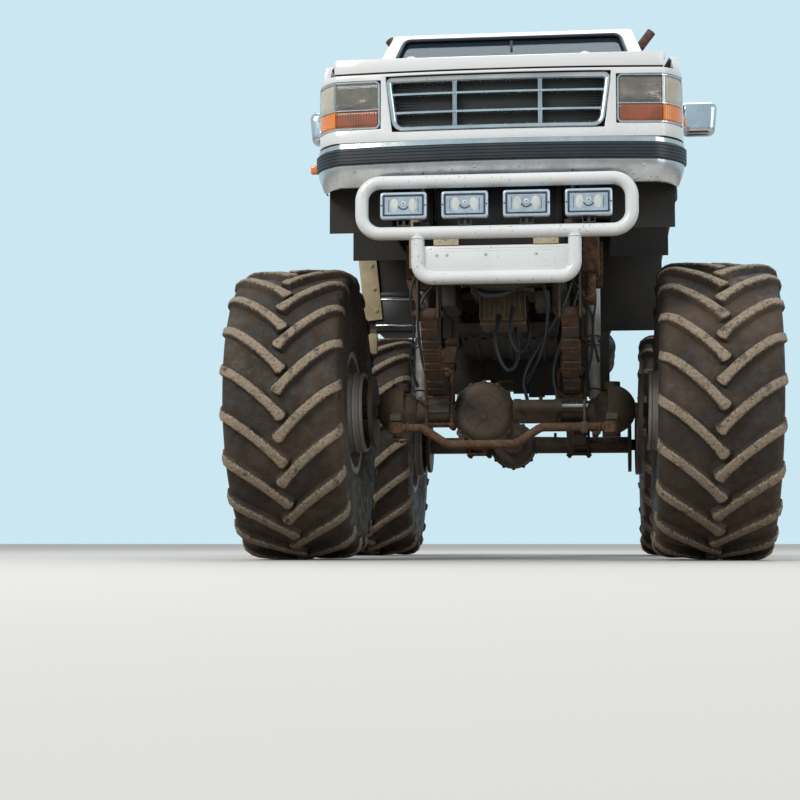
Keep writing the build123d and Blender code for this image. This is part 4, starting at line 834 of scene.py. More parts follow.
def smoothPath(points, rounds=3):  # an even curve through soft corners, for hoses
    path = [Vector(point) for point in points]
    for turn in range(rounds):
        fresh = [path[0]]
        for a, b in zip(path, path[1:]):
            fresh += [a.lerp(b, 0.25), a.lerp(b, 0.75)]
        path = fresh + [path[-1]]
    return path


def addHose(bm, points, radius, segments=10):
    addTube(bm, smoothPath(points), radius, segments)


def addEllipsoid(bm, centre, radii, around, upwards):
    verts = bmesh.ops.create_uvsphere(bm, u_segments=around, v_segments=upwards, radius=1)["verts"]
    place(bm, verts, Matrix.Translation(centre) @ Matrix.Diagonal((*radii, 1)))


def addBolt(bm, spot, direction, radius=0.008, height=0.006, sides=6, washer=True):
    spot, direction = Vector(spot), Vector(direction).normalized()
    start = spot - direction * 0.001
    if washer:
        addRod(bm, start, spot + direction * height * 0.25, radius * 1.5, 16)
    addRod(bm, start, spot + direction * height, radius, sides)
    addRod(bm, spot + direction * height * 0.9, spot + direction * height * 1.15, radius * 0.8, 12, radius * 0.5)


def boltRing(bm, centre, radius, count, direction, size, height):  # for faces that look along X or Y
    x, y, z = centre
    for step in range(count):
        angle = 2 * math.pi * (step + 0.5) / count
        along, up = radius * math.cos(angle), radius * math.sin(angle)
        addBolt(bm, (x, y + along, z + up) if direction[0] else (x + along, y, z + up), direction, size, height)


def mirroredToo(bm):  # adds the other side's copy
    copies = bmesh.ops.duplicate(bm, geom=bm.verts[:] + bm.edges[:] + bm.faces[:])["geom"]
    for item in copies:
        if isinstance(item, bmesh.types.BMVert):
            item.co.x = -item.co.x


def circleThrough(a, b, c, count):  # points in the ground plan from a over b to c
    a, b, c = Vector(a), Vector(b), Vector(c)
    d = 2 * (a.x * (b.y - c.y) + b.x * (c.y - a.y) + c.x * (a.y - b.y))
    sa, sb, sc = a.length_squared, b.length_squared, c.length_squared
    centre = Vector(((sa * (b.y - c.y) + sb * (c.y - a.y) + sc * (a.y - b.y)) / d,
                     (sa * (c.x - b.x) + sb * (a.x - c.x) + sc * (b.x - a.x)) / d))
    start, end = a - centre, c - centre
    turn = start.angle_signed(end)
    return [centre + Matrix.Rotation(-turn * step / count, 2) @ start for step in range(count + 1)]


class PlanLine:  # a bowed front with round corners; u runs from the middle outwards, out is away from the truck
    def __init__(self, front, cornerX, bow, middle, end, tail):
        points = circleThrough((-cornerX, front + bow), (0, front), (cornerX, front + bow), 64)[32:]
        points += circleThrough((cornerX, front + bow), middle, end, 14)[1:] + [Vector((end[0], tail))]
        self.points, self.reach = points, [0.0]
        for a, b in zip(points, points[1:]):
            self.reach.append(self.reach[-1] + (b - a).length)

    def spot(self, u, out):
        side, u = (-1 if u < 0 else 1), min(abs(u), self.reach[-1] - 1e-6)
        index = next(i for i in range(len(self.reach) - 1) if self.reach[i + 1] > u)
        a, b = self.points[index], self.points[index + 1]
        share = (u - self.reach[index]) / (self.reach[index + 1] - self.reach[index])
        tangents = [(self.points[min(i + 1, len(self.points) - 1)] - self.points[max(i - 1, 0)]).normalized()
                    for i in (index, index + 1)]
        tangent = tangents[0].lerp(tangents[1], share).normalized()
        if index == 0 and share < 0.5:
            tangent = (b - a).normalized().lerp(tangent, share * 2)
        place = a.lerp(b, share) + Vector((tangent.y, -tangent.x)) * out
        return side * place.x, place.y

    def reachOf(self, x):
        index = next(i for i in range(len(self.points) - 1) if self.points[i + 1].x >= x)
        a, b = self.points[index], self.points[index + 1]
        return self.reach[index] + (self.reach[index + 1] - self.reach[index]) * (x - a.x) / max(b.x - a.x, 1e-9)

    def wrap(self, verts):  # from (u, -out, z) to place
        for vert in verts:
            vert.co.x, vert.co.y = self.spot(vert.co.x, -vert.co.y)


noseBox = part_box("front_panel")
noseFront = noseBox[0].y
noseLine = PlanLine(noseFront, 0.885, 0.046, (0.973, noseFront + 0.14), (1.003, noseFront + 0.25), noseFront + 0.5)
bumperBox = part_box("front_bumper")
bumperFront = bumperBox[0][1]
bumperLine = PlanLine(bumperFront, 0.854, 0.06, (0.97, bumperFront + 0.17), (1.004, bumperFront + 0.252),
                      bumperFront + 0.312)


# Grille: bright frame with round lower corners, two level bars and two double uprights over a near-black screen of
# painted shade
grilleShape = {"topHalf": 0.596, "bottomHalf": 0.558, "barHeight": 0.019, "uprights": (-0.23, 0.23), "rib": 0.0105}
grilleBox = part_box("grille")
grilleLow, grilleHigh = grilleBox[0][2], grilleBox[1][2]


def addGrilleFrame(bm, shape):
    top, bottom = grilleHigh - 0.02, grilleLow + 0.012
    upper, lower = shape["topHalf"], shape["bottomHalf"]
    corners = [(-upper, 0, top), (upper, 0, top), (lower, 0, bottom), (-lower, 0, bottom)]
    path, low = roundedPath(corners, 0.018, True, 5), roundedPath(corners, 0.055, True, 8)
    loop = [p for p in path if p.z > (top + bottom) / 2] + [p for p in low if p.z < (top + bottom) / 2]
    section = [(-0.021, -0.045), (-0.021, -0.012), (-0.012, 0.002), (-0.006, 0.007), (0.006, 0.009), (0.01, 0.006),
               (0.011, -0.045)]
    sweep(bm, denseLoop(loop, 0.05), section, (0, -1, 0), True)


def barSection(half, crown, depth, face, back):  # both halves of a bar: square back, softened front
    points = [(half, back), (half, face), (half * crown, depth)]
    return [(-a, b) for a, b in points] + list(reversed(points))


@asMesh
def buildGrille(bm, shape):
    addGrilleFrame(bm, shape)
    height = grilleHigh - grilleLow
    for third in (1, 2):
        z = grilleLow + height * third / 3
        reach = shape["bottomHalf"] + (shape["topHalf"] - shape["bottomHalf"]) * third / 3 - 0.012
        line = [(-reach + 2 * reach * step / 40, 0, z) for step in range(41)]
        sweep(bm, line, barSection(shape["barHeight"] / 2, 0.55, 0.001, -0.006, -0.034), (0, -1, 0))
    low, high = grilleLow + 0.016, grilleHigh - 0.024
    for x in shape["uprights"]:
        for nudge in (-0.0085, 0.0085):
            line = [(x + nudge, 0, low), (x + nudge, 0, (grilleLow + grilleHigh) / 2), (x + nudge, 0, high)]
            sweep(bm, line, barSection(shape["rib"] / 2, 0.4, 0.005, 0.0, -0.034), (0, -1, 0))
        addBlock(bm, (x - 0.005, 0.004, low), (x + 0.005, 0.034, high))
    noseLine.wrap(bm.verts)


# a sheet of near-black slats and wires behind the bars: painted shade behind the grille
@asMesh
def buildGrilleShadeScreen(bm):
    low, high = grilleLow + 0.02, grilleHigh - 0.03
    for step in range(24):
        addBlock(bm, (-0.57 + step * 0.0475, 0.05, low), (-0.57 + step * 0.0475 + 0.0475, 0.054, high))
    for level in range(17):
        z = low + (high - low) * (level + 0.5) / 17
        addBlock(bm, (-0.565, 0.04, z - 0.0018), (0.565, 0.05, z + 0.0018))
    bmesh.ops.remove_doubles(bm, verts=bm.verts, dist=1e-5)
    noseLine.wrap(bm.verts)


makePiece("grilleBars", buildGrille(grilleShape), "chrome", angle=38, stands=["grille"])
# near-black that stands for the shade behind the grille and in the radiator
makeFinish("grilleShadeBlack", (0.004, 0.004, 0.005), 0.6, 0.0, [
    dust((0.06, 0.05, 0.04), 0.25, 8.0, 3.4, 1.6, 0.1, 0.8)])
makePiece("grilleShadeScreen", buildGrilleShadeScreen(), "grilleShadeBlack")
print("grille built")


# Headlamps over amber signals, set in bright frames that follow the nose round its corners
cornerLamps = {"inner": 0.6405, "divider": 0.89, "outer": 0.9885, "frame": 0.011}
headLow, headHigh = (corner[2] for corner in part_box("headlamps"))
signalLow = headLow - 0.1054


def gridOf(bm, columns, rows, spot):  # a sheet of faces, its vertices placed by their two shares from 0 to 1
    grid = [[bm.verts.new(spot(i / columns, j / rows)) for j in range(rows + 1)] for i in range(columns + 1)]
    for here, there in zip(grid, grid[1:]):
        for j in range(rows):
            bm.faces.new((here[j], there[j], there[j + 1], here[j + 1]))
    return grid


def rimOf(grid):
    columns, rows = len(grid) - 1, len(grid[0]) - 1
    rim = [grid[i][0] for i in range(columns + 1)] + [grid[columns][j] for j in range(1, rows + 1)]
    return rim + [grid[i][rows] for i in range(columns - 1, -1, -1)] + [grid[0][j] for j in range(rows - 1, 0, -1)]


def backGrid(bm, grid, y):  # side walls and a flat back
    rim = rimOf(grid)
    back = [bm.verts.new((vert.co.x, y, vert.co.z)) for vert in rim]
    joinRings(bm, rim, back)
    bm.faces.new(back)


# A lens between two lines of the nose, its rim rounded back; relief gives extra height over the face
def lampPatch(bm, u0, u1, z0, z1, face, depth, cells, relief, edge):
    def spot(a, b):
        margin = min(a * (u1 - u0), (1 - a) * (u1 - u0), b * (z1 - z0), (1 - b) * (z1 - z0))
        drop = edge * max(0.0, 1 - margin / edge) ** 2 if edge else 0.0
        return u0 + (u1 - u0) * a, -(face - drop + relief(a, b)), z0 + (z1 - z0) * b

    backGrid(bm, gridOf(bm, *cells, spot), -(face - depth))


def wrapped(build):  # both sides of something drawn on the nose's line
    bm = bmesh.new()
    build(bm)
    noseLine.wrap(bm.verts)
    mirroredToo(bm)
    return bm


lampInner, lampDivider, lampOuter = (noseLine.reachOf(cornerLamps[key]) for key in ("inner", "divider", "outer"))


def flutes(count, depth):
    return lambda a, b: depth * abs(math.sin(math.pi * count * a))


def bowl(depth):
    return lambda a, b: -depth * max(0.0, 1 - ((a - 0.5) * 2) ** 2) * max(0.0, 1 - ((b - 0.5) * 2) ** 2)


lampRim = cornerLamps["frame"]


def lampFrame(bm):
    wide = lampRim
    low, high = signalLow + wide / 2, headHigh - wide / 2
    left, right = lampInner + wide / 2, lampOuter + 0.004
    path = roundedPath([(left, 0, low), (left, 0, high), (right, 0, high), (right, 0, low)], 0.022, True, 6)
    section = [(-wide / 2, -0.02), (-wide / 2, 0.0), (-wide * 0.3, 0.004), (wide * 0.3, 0.004), (wide / 2, 0.0),
               (wide / 2, -0.02)]
    sweep(bm, denseLoop(path, 0.02), section, (0, -1, 0), True)
    middle = headLow + 0.001
    line = [(left + (right - left) * step / 24, 0, middle) for step in range(25)]
    sweep(bm, line, [(-0.003, -0.02), (-0.003, 0.001), (0.003, 0.001), (0.003, -0.02)], (0, -1, 0))
    for u in (lampDivider - 0.004, lampDivider + 0.004):
        section = [(-0.0022, -0.02), (-0.0022, 0.0015), (0.0022, 0.0015), (0.0022, -0.02)]
        sweep(bm, [(u, 0, headLow), (u, 0, headHigh - wide)], section, (0, -1, 0))


makeFinish("reflector", (0.42, 0.385, 0.34), 0.24, 0.9, [
    mottle((0.16, 0.14, 0.115), 0.85, 16.0, 0.4),
    dust((0.3, 0.28, 0.23), 0.5, 10.0, 4.0, 1.0, 0.2, 0.7)])
makeFinish("cornerGlass", (0.62, 0.56, 0.46), 0.16, 0.0, [
    mottle((0.44, 0.38, 0.3), 0.7, 9.0, 0.3),
    speckle((0.2, 0.16, 0.12), 0.6, 70.0, 0.7, 4.0)], Coat_Weight=0.6)
makeFinish("amberBright", (0.9, 0.26, 0.015), 0.14, 0.0, [
    mottle((0.72, 0.17, 0.01), 0.6, 14.0, 0.25)], Coat_Weight=0.7)
# a darker copy of the amber for the signals' front faces: painted shade
makeFinish("amberShaded", (0.36, 0.075, 0.012), 0.16, 0.0, [
    mottle((0.14, 0.03, 0.01), 0.9, 7.0, 0.25),
    dust((0.3, 0.13, 0.05), 0.4, 9.0, 4.0, 1.2, 0.1, 0.6)], Coat_Weight=0.7)
makePiece("headlampFrame", wrapped(lampFrame), "chrome", angle=40, stands=["headlamps"])
headLens = (lampInner + lampRim, lampDivider - 0.006, headLow + 0.004, headHigh - lampRim)
cornerLens = (lampDivider + 0.006, lampOuter, headLow + 0.004, headHigh - lampRim)
signalLens = (lampInner + lampRim, lampDivider - 0.004, signalLow + lampRim, headLow - 0.002)
signalCorner = (lampDivider - 0.0035, lampOuter, signalLow + lampRim, headLow - 0.002)
# piece: its span, face, depth, cells, relief and rounded edge; then its finish, smooth angle and CAD node
lenses = {
    "headlampReflector": ((*headLens, -0.022, 0.05, (20, 12), bowl(0.045), 0), "reflector", 35, ()),
    "headlampGlass": ((*headLens, -0.003, 0.006, (84, 10), flutes(21, 0.0014), 0.006), "lampGlass", 35, ()),
    "cornerLenses": ((*cornerLens, 0.0, 0.03, (24, 8), flutes(8, 0.001), 0.006), "cornerGlass", 35, ()),
    "signalLenses": ((*signalLens, 0.0, 0.03, (84, 10), flutes(16, 0.0012), 0.007), "amberShaded", 40,
                     ["turn_signals"]),
    "signalCorners": ((*signalCorner, 0.001, 0.03, (48, 10), flutes(11, 0.0018), 0.007), "amberBright", 35, ()),
}
for name, (values, finish, angle, stands) in lenses.items():
    makePiece(name, wrapped(lambda bm: lampPatch(bm, *values)), finish, angle=angle, stands=stands)
print("corner lamps built")


# Bumper: bright upper lip, grooved rubber strip, tucked lower face with bolts, and its brackets
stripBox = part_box("bumper_strip")
stripLow, stripHigh = stripBox[0][2], stripBox[1][2]
bumperTop, bumperLow = bumperBox[1][2], stripLow - 0.118


def planPath(step=0.03):
    total = bumperLine.reach[-1] - 0.002
    count = int(total / step)
    return [(total * (index / count), 0, 0) for index in range(-count, count + 1)]


@asMesh
def buildBumper(bm):
    top, high, strip, low = bumperTop, stripHigh, stripLow, bumperLow
    outer = [(top - 0.014, -0.045), (top - 0.003, -0.03), (top, -0.014), (top - 0.006, -0.003), (high + 0.004, 0.0),
             (high + 0.001, -0.0055), (strip - 0.001, -0.0055), (strip - 0.004, 0.0), (strip - 0.03, -0.003),
             (strip - 0.062, -0.013), (low + 0.012, -0.03), (low, -0.043)]
    inner = []
    for z, out in reversed(outer):  # the sheet is 7 mm thick, its lips 4 mm
        inner.append((z + (0.004 if z < 2.1 else -0.004 if z > high + 0.02 else 0.0), out - 0.007))
    sweep(bm, planPath(), outer + inner, (0, -1, 0))
    bumperLine.wrap(bm.verts)


@asMesh
def buildStrip(bm):
    points = [(stripLow + 0.001, -0.0055), (stripLow + 0.001, 0.006), (stripLow + 0.007, 0.0115)]
    for groove in range(1, 5):
        z = stripLow + (stripHigh - stripLow) * groove / 5
        points += [(z - 0.0035, 0.0118), (z - 0.0022, 0.0082), (z + 0.0022, 0.0082), (z + 0.0035, 0.0118)]
    points += [(stripHigh - 0.007, 0.0115), (stripHigh - 0.001, 0.006), (stripHigh - 0.001, -0.0055)]
    sweep(bm, planPath(), points, (0, -1, 0))
    bumperLine.wrap(bm.verts)


@asMesh
def buildBumperBolts(bm):
    for u in (-0.78, -0.52, -0.12, 0.12, 0.52, 0.78):
        x, y = bumperLine.spot(u, -0.006)
        addBolt(bm, (x, y, stripLow - 0.034), (0, -1, -0.2), 0.0085, 0.007, 12)


@asMesh
def buildBumperArms(bm):
    for side in (-1, 1):
        sideBlock(bm, side, (0.394, bumperFront + 0.024, 1.806), (0.406, bumperFront + 0.21, 2.199), 0.002)
        for z in (1.9, 2.0, 2.1):
            addBolt(bm, (side * 0.406, bumperFront + 0.12, z), (side, 0, 0), 0.01, 0.008)


makePiece("bumperFace", buildBumper(), "chrome", angle=40, stands=["front_bumper"])
makePiece("bumperRubber", buildStrip(), "stripRubber", angle=30, stands=["bumper_strip"])
makePiece("bumperBolts", buildBumperBolts(), "chrome")
makePiece("bumperArms", buildBumperArms(), "frameBlack")
print("bumper built")


# Bull bar: two welded loops, a blank plate with a pressed border, and cream tabs
barShape = {"y": -2.797, "radius": 0.035, "half": 0.71, "low": 1.726, "high": 2.0, "corner": 0.1,
            "loopHalf": 0.412, "loopLow": 1.485, "loopCorner": 0.078}


def ringAround(bm, centre, along, radius, thickness, segments=28):
    centre, along = Vector(centre), Vector(along).normalized()
    side = along.orthogonal().normalized()
    other = along.cross(side)
    angles = [2 * math.pi * step / segments for step in range(segments)]
    addTube(bm, [centre + (side * math.cos(a) + other * math.sin(a)) * radius for a in angles], thickness, 8, True)


@asMesh
def buildBullBar(bm, shape):
    y, half, low, high = shape["y"], shape["half"], shape["low"], shape["high"]
    loop = [(-half, y, low), (half, y, low), (half, y, high), (-half, y, high)]
    addTube(bm, roundedPath(loop, shape["corner"], True, 12), shape["radius"], 28, True)
    inner, bottom = shape["loopHalf"], shape["loopLow"]
    under = [(-inner, y, low - 0.005), (-inner, y, bottom), (inner, y, bottom), (inner, y, low - 0.005)]
    addTube(bm, roundedPath(under, shape["loopCorner"], False, 12), shape["radius"], 28)
    for side in (-1, 1):
        ringAround(bm, (side * inner, y, low - shape["radius"] + 0.004), (0, 0, 1), shape["radius"] + 0.001, 0.0035)


@asMesh
def buildBarPlate(bm, shape):
    y, inner, bottom = shape["y"], shape["loopHalf"] - 0.03, shape["loopLow"] + 0.03
    top = 1.655
    softBlock(bm, (-inner, y - 0.003, bottom), (inner, y + 0.003, top), 0.0015)
    for inset, thick in ((0.014, 0.0016), (0.028, 0.0012)):
        a, b, c = inner - inset, bottom + inset, top - inset
        loop = [(-a, y - 0.003, b), (a, y - 0.003, b), (a, y - 0.003, c), (-a, y - 0.003, c)]
        addTube(bm, roundedPath(loop, 0.03, True, 6), thick, 6, True)


@asMesh
def buildBarTabs(bm, shape):
    for x in (-0.262, 0.262):
        softBlock(bm, (x - 0.066, shape["y"] - 0.009, 1.657), (x + 0.066, shape["y"] - 0.003, 1.7), 0.002)


@asMesh
def buildBarScrews(bm, shape):
    for x in (-0.312, -0.258, -0.054, 0.21):
        addBolt(bm, (x, shape["y"] - 0.003, 1.606), (0, -1, 0), 0.0055, 0.004, 12)
    for x in (-0.298, -0.226, 0.226, 0.298):
        addBolt(bm, (x, shape["y"] - 0.009, 1.682), (0, -1, 0), 0.006, 0.005)


@asMesh
def buildBarArms(bm, shape):
    for side in (-1, 1):
        x = side * 0.4
        softBlock(bm, (x - 0.006, shape["y"], 1.615), (x + 0.006, -2.66, 1.755), 0.002)
        for z in (1.645, 1.725):
            addBolt(bm, (x + side * 0.006, -2.7, z), (side, 0, 0), 0.011, 0.009)


makePiece("bullBarLoops", buildBullBar(barShape), "tubePaint", angle=40, stands=["bull_bar"])
makePiece("bullBarPlate", buildBarPlate(barShape), "tubePaint")
makePiece("bullBarTabs", buildBarTabs(barShape), "creamPlate")
makePiece("bullBarScrews", buildBarScrews(barShape), "chrome")
makePiece("bullBarArms", buildBarArms(barShape), "frameBlack")


# Driving lamps: pale rim, dark recess, two tall ovals of painted highlight beside a white shielded bulb, fluted
# glass
# the rims' blue tone is a painted reflection of the sky on bright rims
makeFinish("lampRimSkyTint", (0.56, 0.66, 0.76), 0.22, 0.35, [
    mottle((0.42, 0.52, 0.64), 0.6, 14.0, 0.35),
    speckle((0.14, 0.11, 0.09), 0.8, 80.0, 0.8, 4.0)], Coat_Weight=0.6)
# white for the painted highlights in the driving lamps
makeFinish("lampGlintWhite", (0.92, 0.89, 0.8), 0.2, 0.0, [
    mottle((0.84, 0.76, 0.64), 0.5, 30.0, 0.3)], Coat_Weight=0.5)
makeFinish("lampSilver", (0.62, 0.68, 0.74), 0.35, 0.25, [
    mottle((0.4, 0.45, 0.5), 0.7, 24.0, 0.5)])
makeFinish("lampClear", (0.97, 0.98, 1.0), 0.03, 0.0, [
    dust((0.6, 0.58, 0.52), 0.05, 9.0, 3.6, 1.6, 0.1, 0.5)],
    Transmission_Weight=1.0, IOR=1.35)
lampShape = {"centres": (-0.486, -0.162, 0.162, 0.486), "z": 1.87, "width": 0.246, "height": 0.141, "face": -2.832,
             "shoulder": -2.789, "back": -2.741, "rim": 0.015, "line": 0.009}


def ringLoft(bm, rings):
    loops = [[bm.verts.new(point) for point in ring] for ring in rings]
    for here, there in zip(loops, loops[1:]):
        joinRings(bm, here, there)
    closeEnds(bm, loops)


def lampRing(width, height, radius, y, shape, x):
    return [(x + a, y, shape["z"] + b) for a, b in roundedRect(width, height, radius, 5)]


@asMesh
def buildLampRims(bm, shape):
    w, h, face, rim = shape["width"], shape["height"], shape["face"], shape["rim"]
    for x in shape["centres"]:
        steps = [(0.0, 0.044, 0.014), (0.0, 0.006, 0.014), (0.003, 0.0015, 0.013), (0.007, 0.0, 0.011),
                 (rim - 0.003, 0.0, 0.008), (rim, 0.004, 0.007), (rim, 0.016, 0.007)]
        rings = [lampRing(w - 2 * inset, h - 2 * inset, radius, face + deep, shape, x)
                 for inset, deep, radius in steps]
        ringLoft(bm, rings)


@asMesh
def buildLampHousings(bm, shape):
    w, h, face, shoulder, back, z = (shape[key] for key in ("width", "height", "face", "shoulder", "back", "z"))
    inner = shape["rim"] + 0.0005
    for x in shape["centres"]:
        steps = ((0.001, shoulder - 0.001), (0.002, shoulder + 0.004), (0.02, back - 0.006), (0.026, back))
        ringLoft(bm, [lampRing(w - 2 * inset, h - 2 * inset, 0.014, y, shape, x) for inset, y in steps])
        ringLoft(bm, [lampRing(w - 2 * inner, h - 2 * inner, 0.007, face + deep, shape, x)
                      for deep in (0.0085, 0.0155)])
        for side in (-1, 1):
            near = x + side * (w / 2 - 0.0075)
            addRod(bm, (near, face + 0.002, z), (near, face - 0.0008, z), 0.0048, 14)
        addBlock(bm, (x - 0.035, -2.815, 1.762), (x + 0.035, -2.779, 1.768))
        for side in (-1, 1):
            addBlock(bm, (x + side * 0.032 - 0.003, -2.812, 1.765), (x + side * 0.032 + 0.003, -2.782, 1.802))
        addRod(bm, (x, -2.797, 1.756), (x, -2.797, 1.8), 0.011, 16)


@asMesh
def buildLampReflectors(bm, shape):
    inset = shape["rim"] + shape["line"]
    halfWide, halfHigh = shape["width"] / 2 - inset, shape["height"] / 2 - inset
    for x in shape["centres"]:
        def spot(i, j):
            a, b = i * 2 - 1, j * 2 - 1
            dish = 0.0035 * max(0.0, 1 - a * a) * max(0.0, 1 - b * b)
            return x + a * halfWide, shape["face"] + 0.0045 + dish, shape["z"] + b * halfHigh

        backGrid(bm, gridOf(bm, 28, 14, spot), shape["face"] + 0.009)


# two tall white ovals are painted highlights on the reflector; the bulb takes the same white
@asMesh
def buildLampGlints(bm, shape):
    face, z = shape["face"], shape["z"]
    for x in shape["centres"]:
        for side in (-1, 1):
            addEllipsoid(bm, (x + side * 0.048, face + 0.0065, z + 0.002), (0.021, 0.0042, 0.036), 28, 14)
        addEllipsoid(bm, (x, face + 0.006, z + 0.01), (0.013, 0.0045, 0.013), 20, 12)


@asMesh
def buildLampShields(bm, shape):
    face, z = shape["face"], shape["z"]
    turns = [math.radians(degrees) for degrees in range(-62, 63, 6)]
    for x in shape["centres"]:
        addEllipsoid(bm, (x, face + 0.0024, z + 0.01), (0.0045, 0.0016, 0.0045), 14, 8)
        arc = [(x + math.sin(a) * 0.03, face + 0.0052, z + 0.014 - math.cos(a) * 0.034) for a in turns]
        addTube(bm, arc, 0.0034, 8)
        for side in (-1, 1):
            addTube(bm, [(x + side * 0.078, face + 0.005, z + h * 0.034) for h in (-1, 0, 1)], 0.0014, 6)


@asMesh
def buildLampCovers(bm, shape):
    inset = shape["rim"] + 0.0008
    halfWide, halfHigh = shape["width"] / 2 - inset, shape["height"] / 2 - inset
    for x in shape["centres"]:
        def spot(i, j, back=0.0, fluting=0.0004):
            a, b = i * 2 - 1, j * 2 - 1
            flute, swell = fluting * abs(math.sin(a * math.pi * 9)), 0.0012 * (1 - a * a) * (1 - b * b)
            return x + a * halfWide, shape["face"] + 0.0016 - swell * 0.6 - flute + back, shape["z"] + b * halfHigh

        front = gridOf(bm, 60, 8, spot)
        rear = gridOf(bm, 60, 8, lambda i, j: spot(i, j, 0.0012, 0.0))
        joinRings(bm, rimOf(front), rimOf(rear))


makePiece("drivingLampRims", buildLampRims(lampShape), "lampRimSkyTint", angle=40, stands=["driving_lamps"])
makePiece("drivingLampHousings", buildLampHousings(lampShape), "boxBlack")
makePiece("drivingLampReflectors", buildLampReflectors(lampShape), "lampSilver")
makePiece("drivingLampGlints", buildLampGlints(lampShape), "lampGlintWhite")
makePiece("drivingLampShields", buildLampShields(lampShape), "boxBlack")
makePiece("drivingLampCovers", buildLampCovers(lampShape), "lampClear")
print("bull bar and driving lamps built")


def sideSpan(side, near, far):
    return min(side * near, side * far), max(side * near, side * far)


# Under the truck: everything below hangs from the frame and the cab's floor, clear of the steered wheels
@asMesh
def buildFlaps(bm):
    for side in (-1, 1):
        sideBlock(bm, side, (0.455, -0.925, 1.42), (0.93, -0.915, 2.042), 0.003)
        sideBlock(bm, side, (0.455, -0.921, 1.02), (0.6, -0.913, 1.46), 0.003)
        sideBlock(bm, side, (0.45, -0.931, 2.0), (0.94, -0.911, 2.04), 0.003)


@asMesh
def buildTanks(bm):
    for side in (-1, 1):
        for z, radius, start, end in ((1.335, 0.088, -0.88, 0.3), (1.545, 0.07, -0.86, 0.1)):
            x = side * 0.545
            addRod(bm, (x, start, z), (x, end, z), radius, 32)
            for y, out in ((start, -1), (end, 1)):
                addRod(bm, (x, y, z), (x, y + out * 0.022, z), radius * 0.98, 32, radius * 0.6)
                addBolt(bm, (x, y + out * 0.022, z), (0, out, 0), 0.014, 0.012)
            for y in (start + 0.12, (start + end) / 2, end - 0.12):
                ringAround(bm, (x, y, z), (0, 1, 0), radius + 0.003, 0.005)
                a, b = sideSpan(side, 0.44, 0.545)
                addBlock(bm, (a, y - 0.014, z - 0.012), (b, y + 0.014, z + 0.012))


@asMesh
def buildSump(bm):  # ribbed casting under the oil pan
    softBlock(bm, (-0.125, -2.17, 1.335), (0.125, -1.72, 1.515), 0.014, 3)
    for count in range(10):
        x = -0.126 + count * 0.028
        softBlock(bm, (x - 0.004, -2.186, 1.345), (x + 0.004, -1.75, 1.5), 0.002)
    for count in range(9):
        y = -2.12 + count * 0.045
        softBlock(bm, (-0.13, y - 0.004, 1.318), (0.13, y + 0.004, 1.345), 0.002)
    softBlock(bm, (-0.178, -2.21, 1.498), (0.178, -1.7, 1.516), 0.004)
    for x in (-0.165, -0.085, 0.0, 0.085, 0.165):
        addBolt(bm, (x, -2.195, 1.498), (0, 0, -1), 0.008, 0.008)
    addBolt(bm, (0.05, -2.186, 1.37), (0, -1, 0), 0.017, 0.016)


@asMesh
def buildEngineFront(bm):  # belts, idler wheels, hoses' stubs, filter
    for x, z, radius in ((0.0, 1.755, 0.098), (-0.165, 1.87, 0.055), (0.175, 1.83, 0.062), (0.02, 1.995, 0.07)):
        addRod(bm, (x, -2.302, z), (x, -2.33, z), radius, 32)
        addRod(bm, (x, -2.33, z), (x, -2.338, z), radius * 0.4, 20)
        ringAround(bm, (x, -2.316, z), (0, 1, 0), radius + 0.002, 0.006, 36)
    softBlock(bm, (-0.25, -2.31, 1.66), (-0.15, -2.2, 1.78), 0.012, 3)
    addRod(bm, (0.2, -2.28, 1.56), (0.2, -2.16, 1.56), 0.045, 28)
    addRod(bm, (-0.285, -2.1, 1.6), (-0.285, -1.98, 1.6), 0.048, 28)
    for z in (1.7, 1.78, 1.86, 1.94, 2.02, 2.1):
        softBlock(bm, (-0.262, -2.26, z - 0.006), (-0.249, -1.58, z + 0.006), 0.002)
        softBlock(bm, (0.249, -2.26, z - 0.006), (0.262, -1.58, z + 0.006), 0.002)


hosePaths = {
    "coolant": (0.022, [(-0.12, -2.32, 1.62), (-0.16, -2.4, 1.52), (-0.1, -2.42, 1.44), (0.06, -2.4, 1.46),
                        (0.16, -2.36, 1.56), (0.2, -2.3, 1.66)]),
    "loopOne": (0.011, [(-0.02, -2.18, 1.36), (-0.05, -2.24, 1.2), (0.02, -2.2, 1.03), (0.09, -2.14, 1.1),
                        (0.07, -2.06, 1.3)]),
    "loopTwo": (0.009, [(0.06, -2.2, 1.4), (0.03, -2.26, 1.24), (0.1, -2.22, 1.12), (0.15, -2.12, 1.24),
                        (0.13, -2.0, 1.4)]),
    "loopThree": (0.01, [(0.2, -2.3, 1.62), (0.26, -2.3, 1.42), (0.24, -2.22, 1.2), (0.17, -2.12, 1.06),
                         (0.12, -1.98, 1.01)]),
    "brakeLeft": (0.008, [(0.36, -2.05, 1.6), (0.5, -2.1, 1.42), (0.5, -2.0, 1.16), (0.44, -1.94, 0.98),
                          (0.36, -1.93, 0.92)]),
    "brakeRight": (0.008, [(-0.36, -2.05, 1.6), (-0.49, -2.12, 1.44), (-0.48, -2.02, 1.18), (-0.44, -1.94, 1.0),
                           (-0.34, -1.93, 0.92)]),
    "cable": (0.007, [(-0.44, -2.1, 1.72), (-0.54, -2.12, 1.52), (-0.5, -2.06, 1.3), (-0.55, -2.0, 1.14),
                      (-0.5, -1.95, 0.99)]),
    "cableRight": (0.007, [(0.44, -2.12, 1.7), (0.53, -2.16, 1.5), (0.49, -2.06, 1.28), (0.53, -1.98, 1.12)]),
    "wiring": (0.012, [(-0.36, -2.52, 1.8), (-0.2, -2.5, 1.62), (0.05, -2.5, 1.58), (0.24, -2.52, 1.66),
                       (0.36, -2.54, 1.8)]),
}


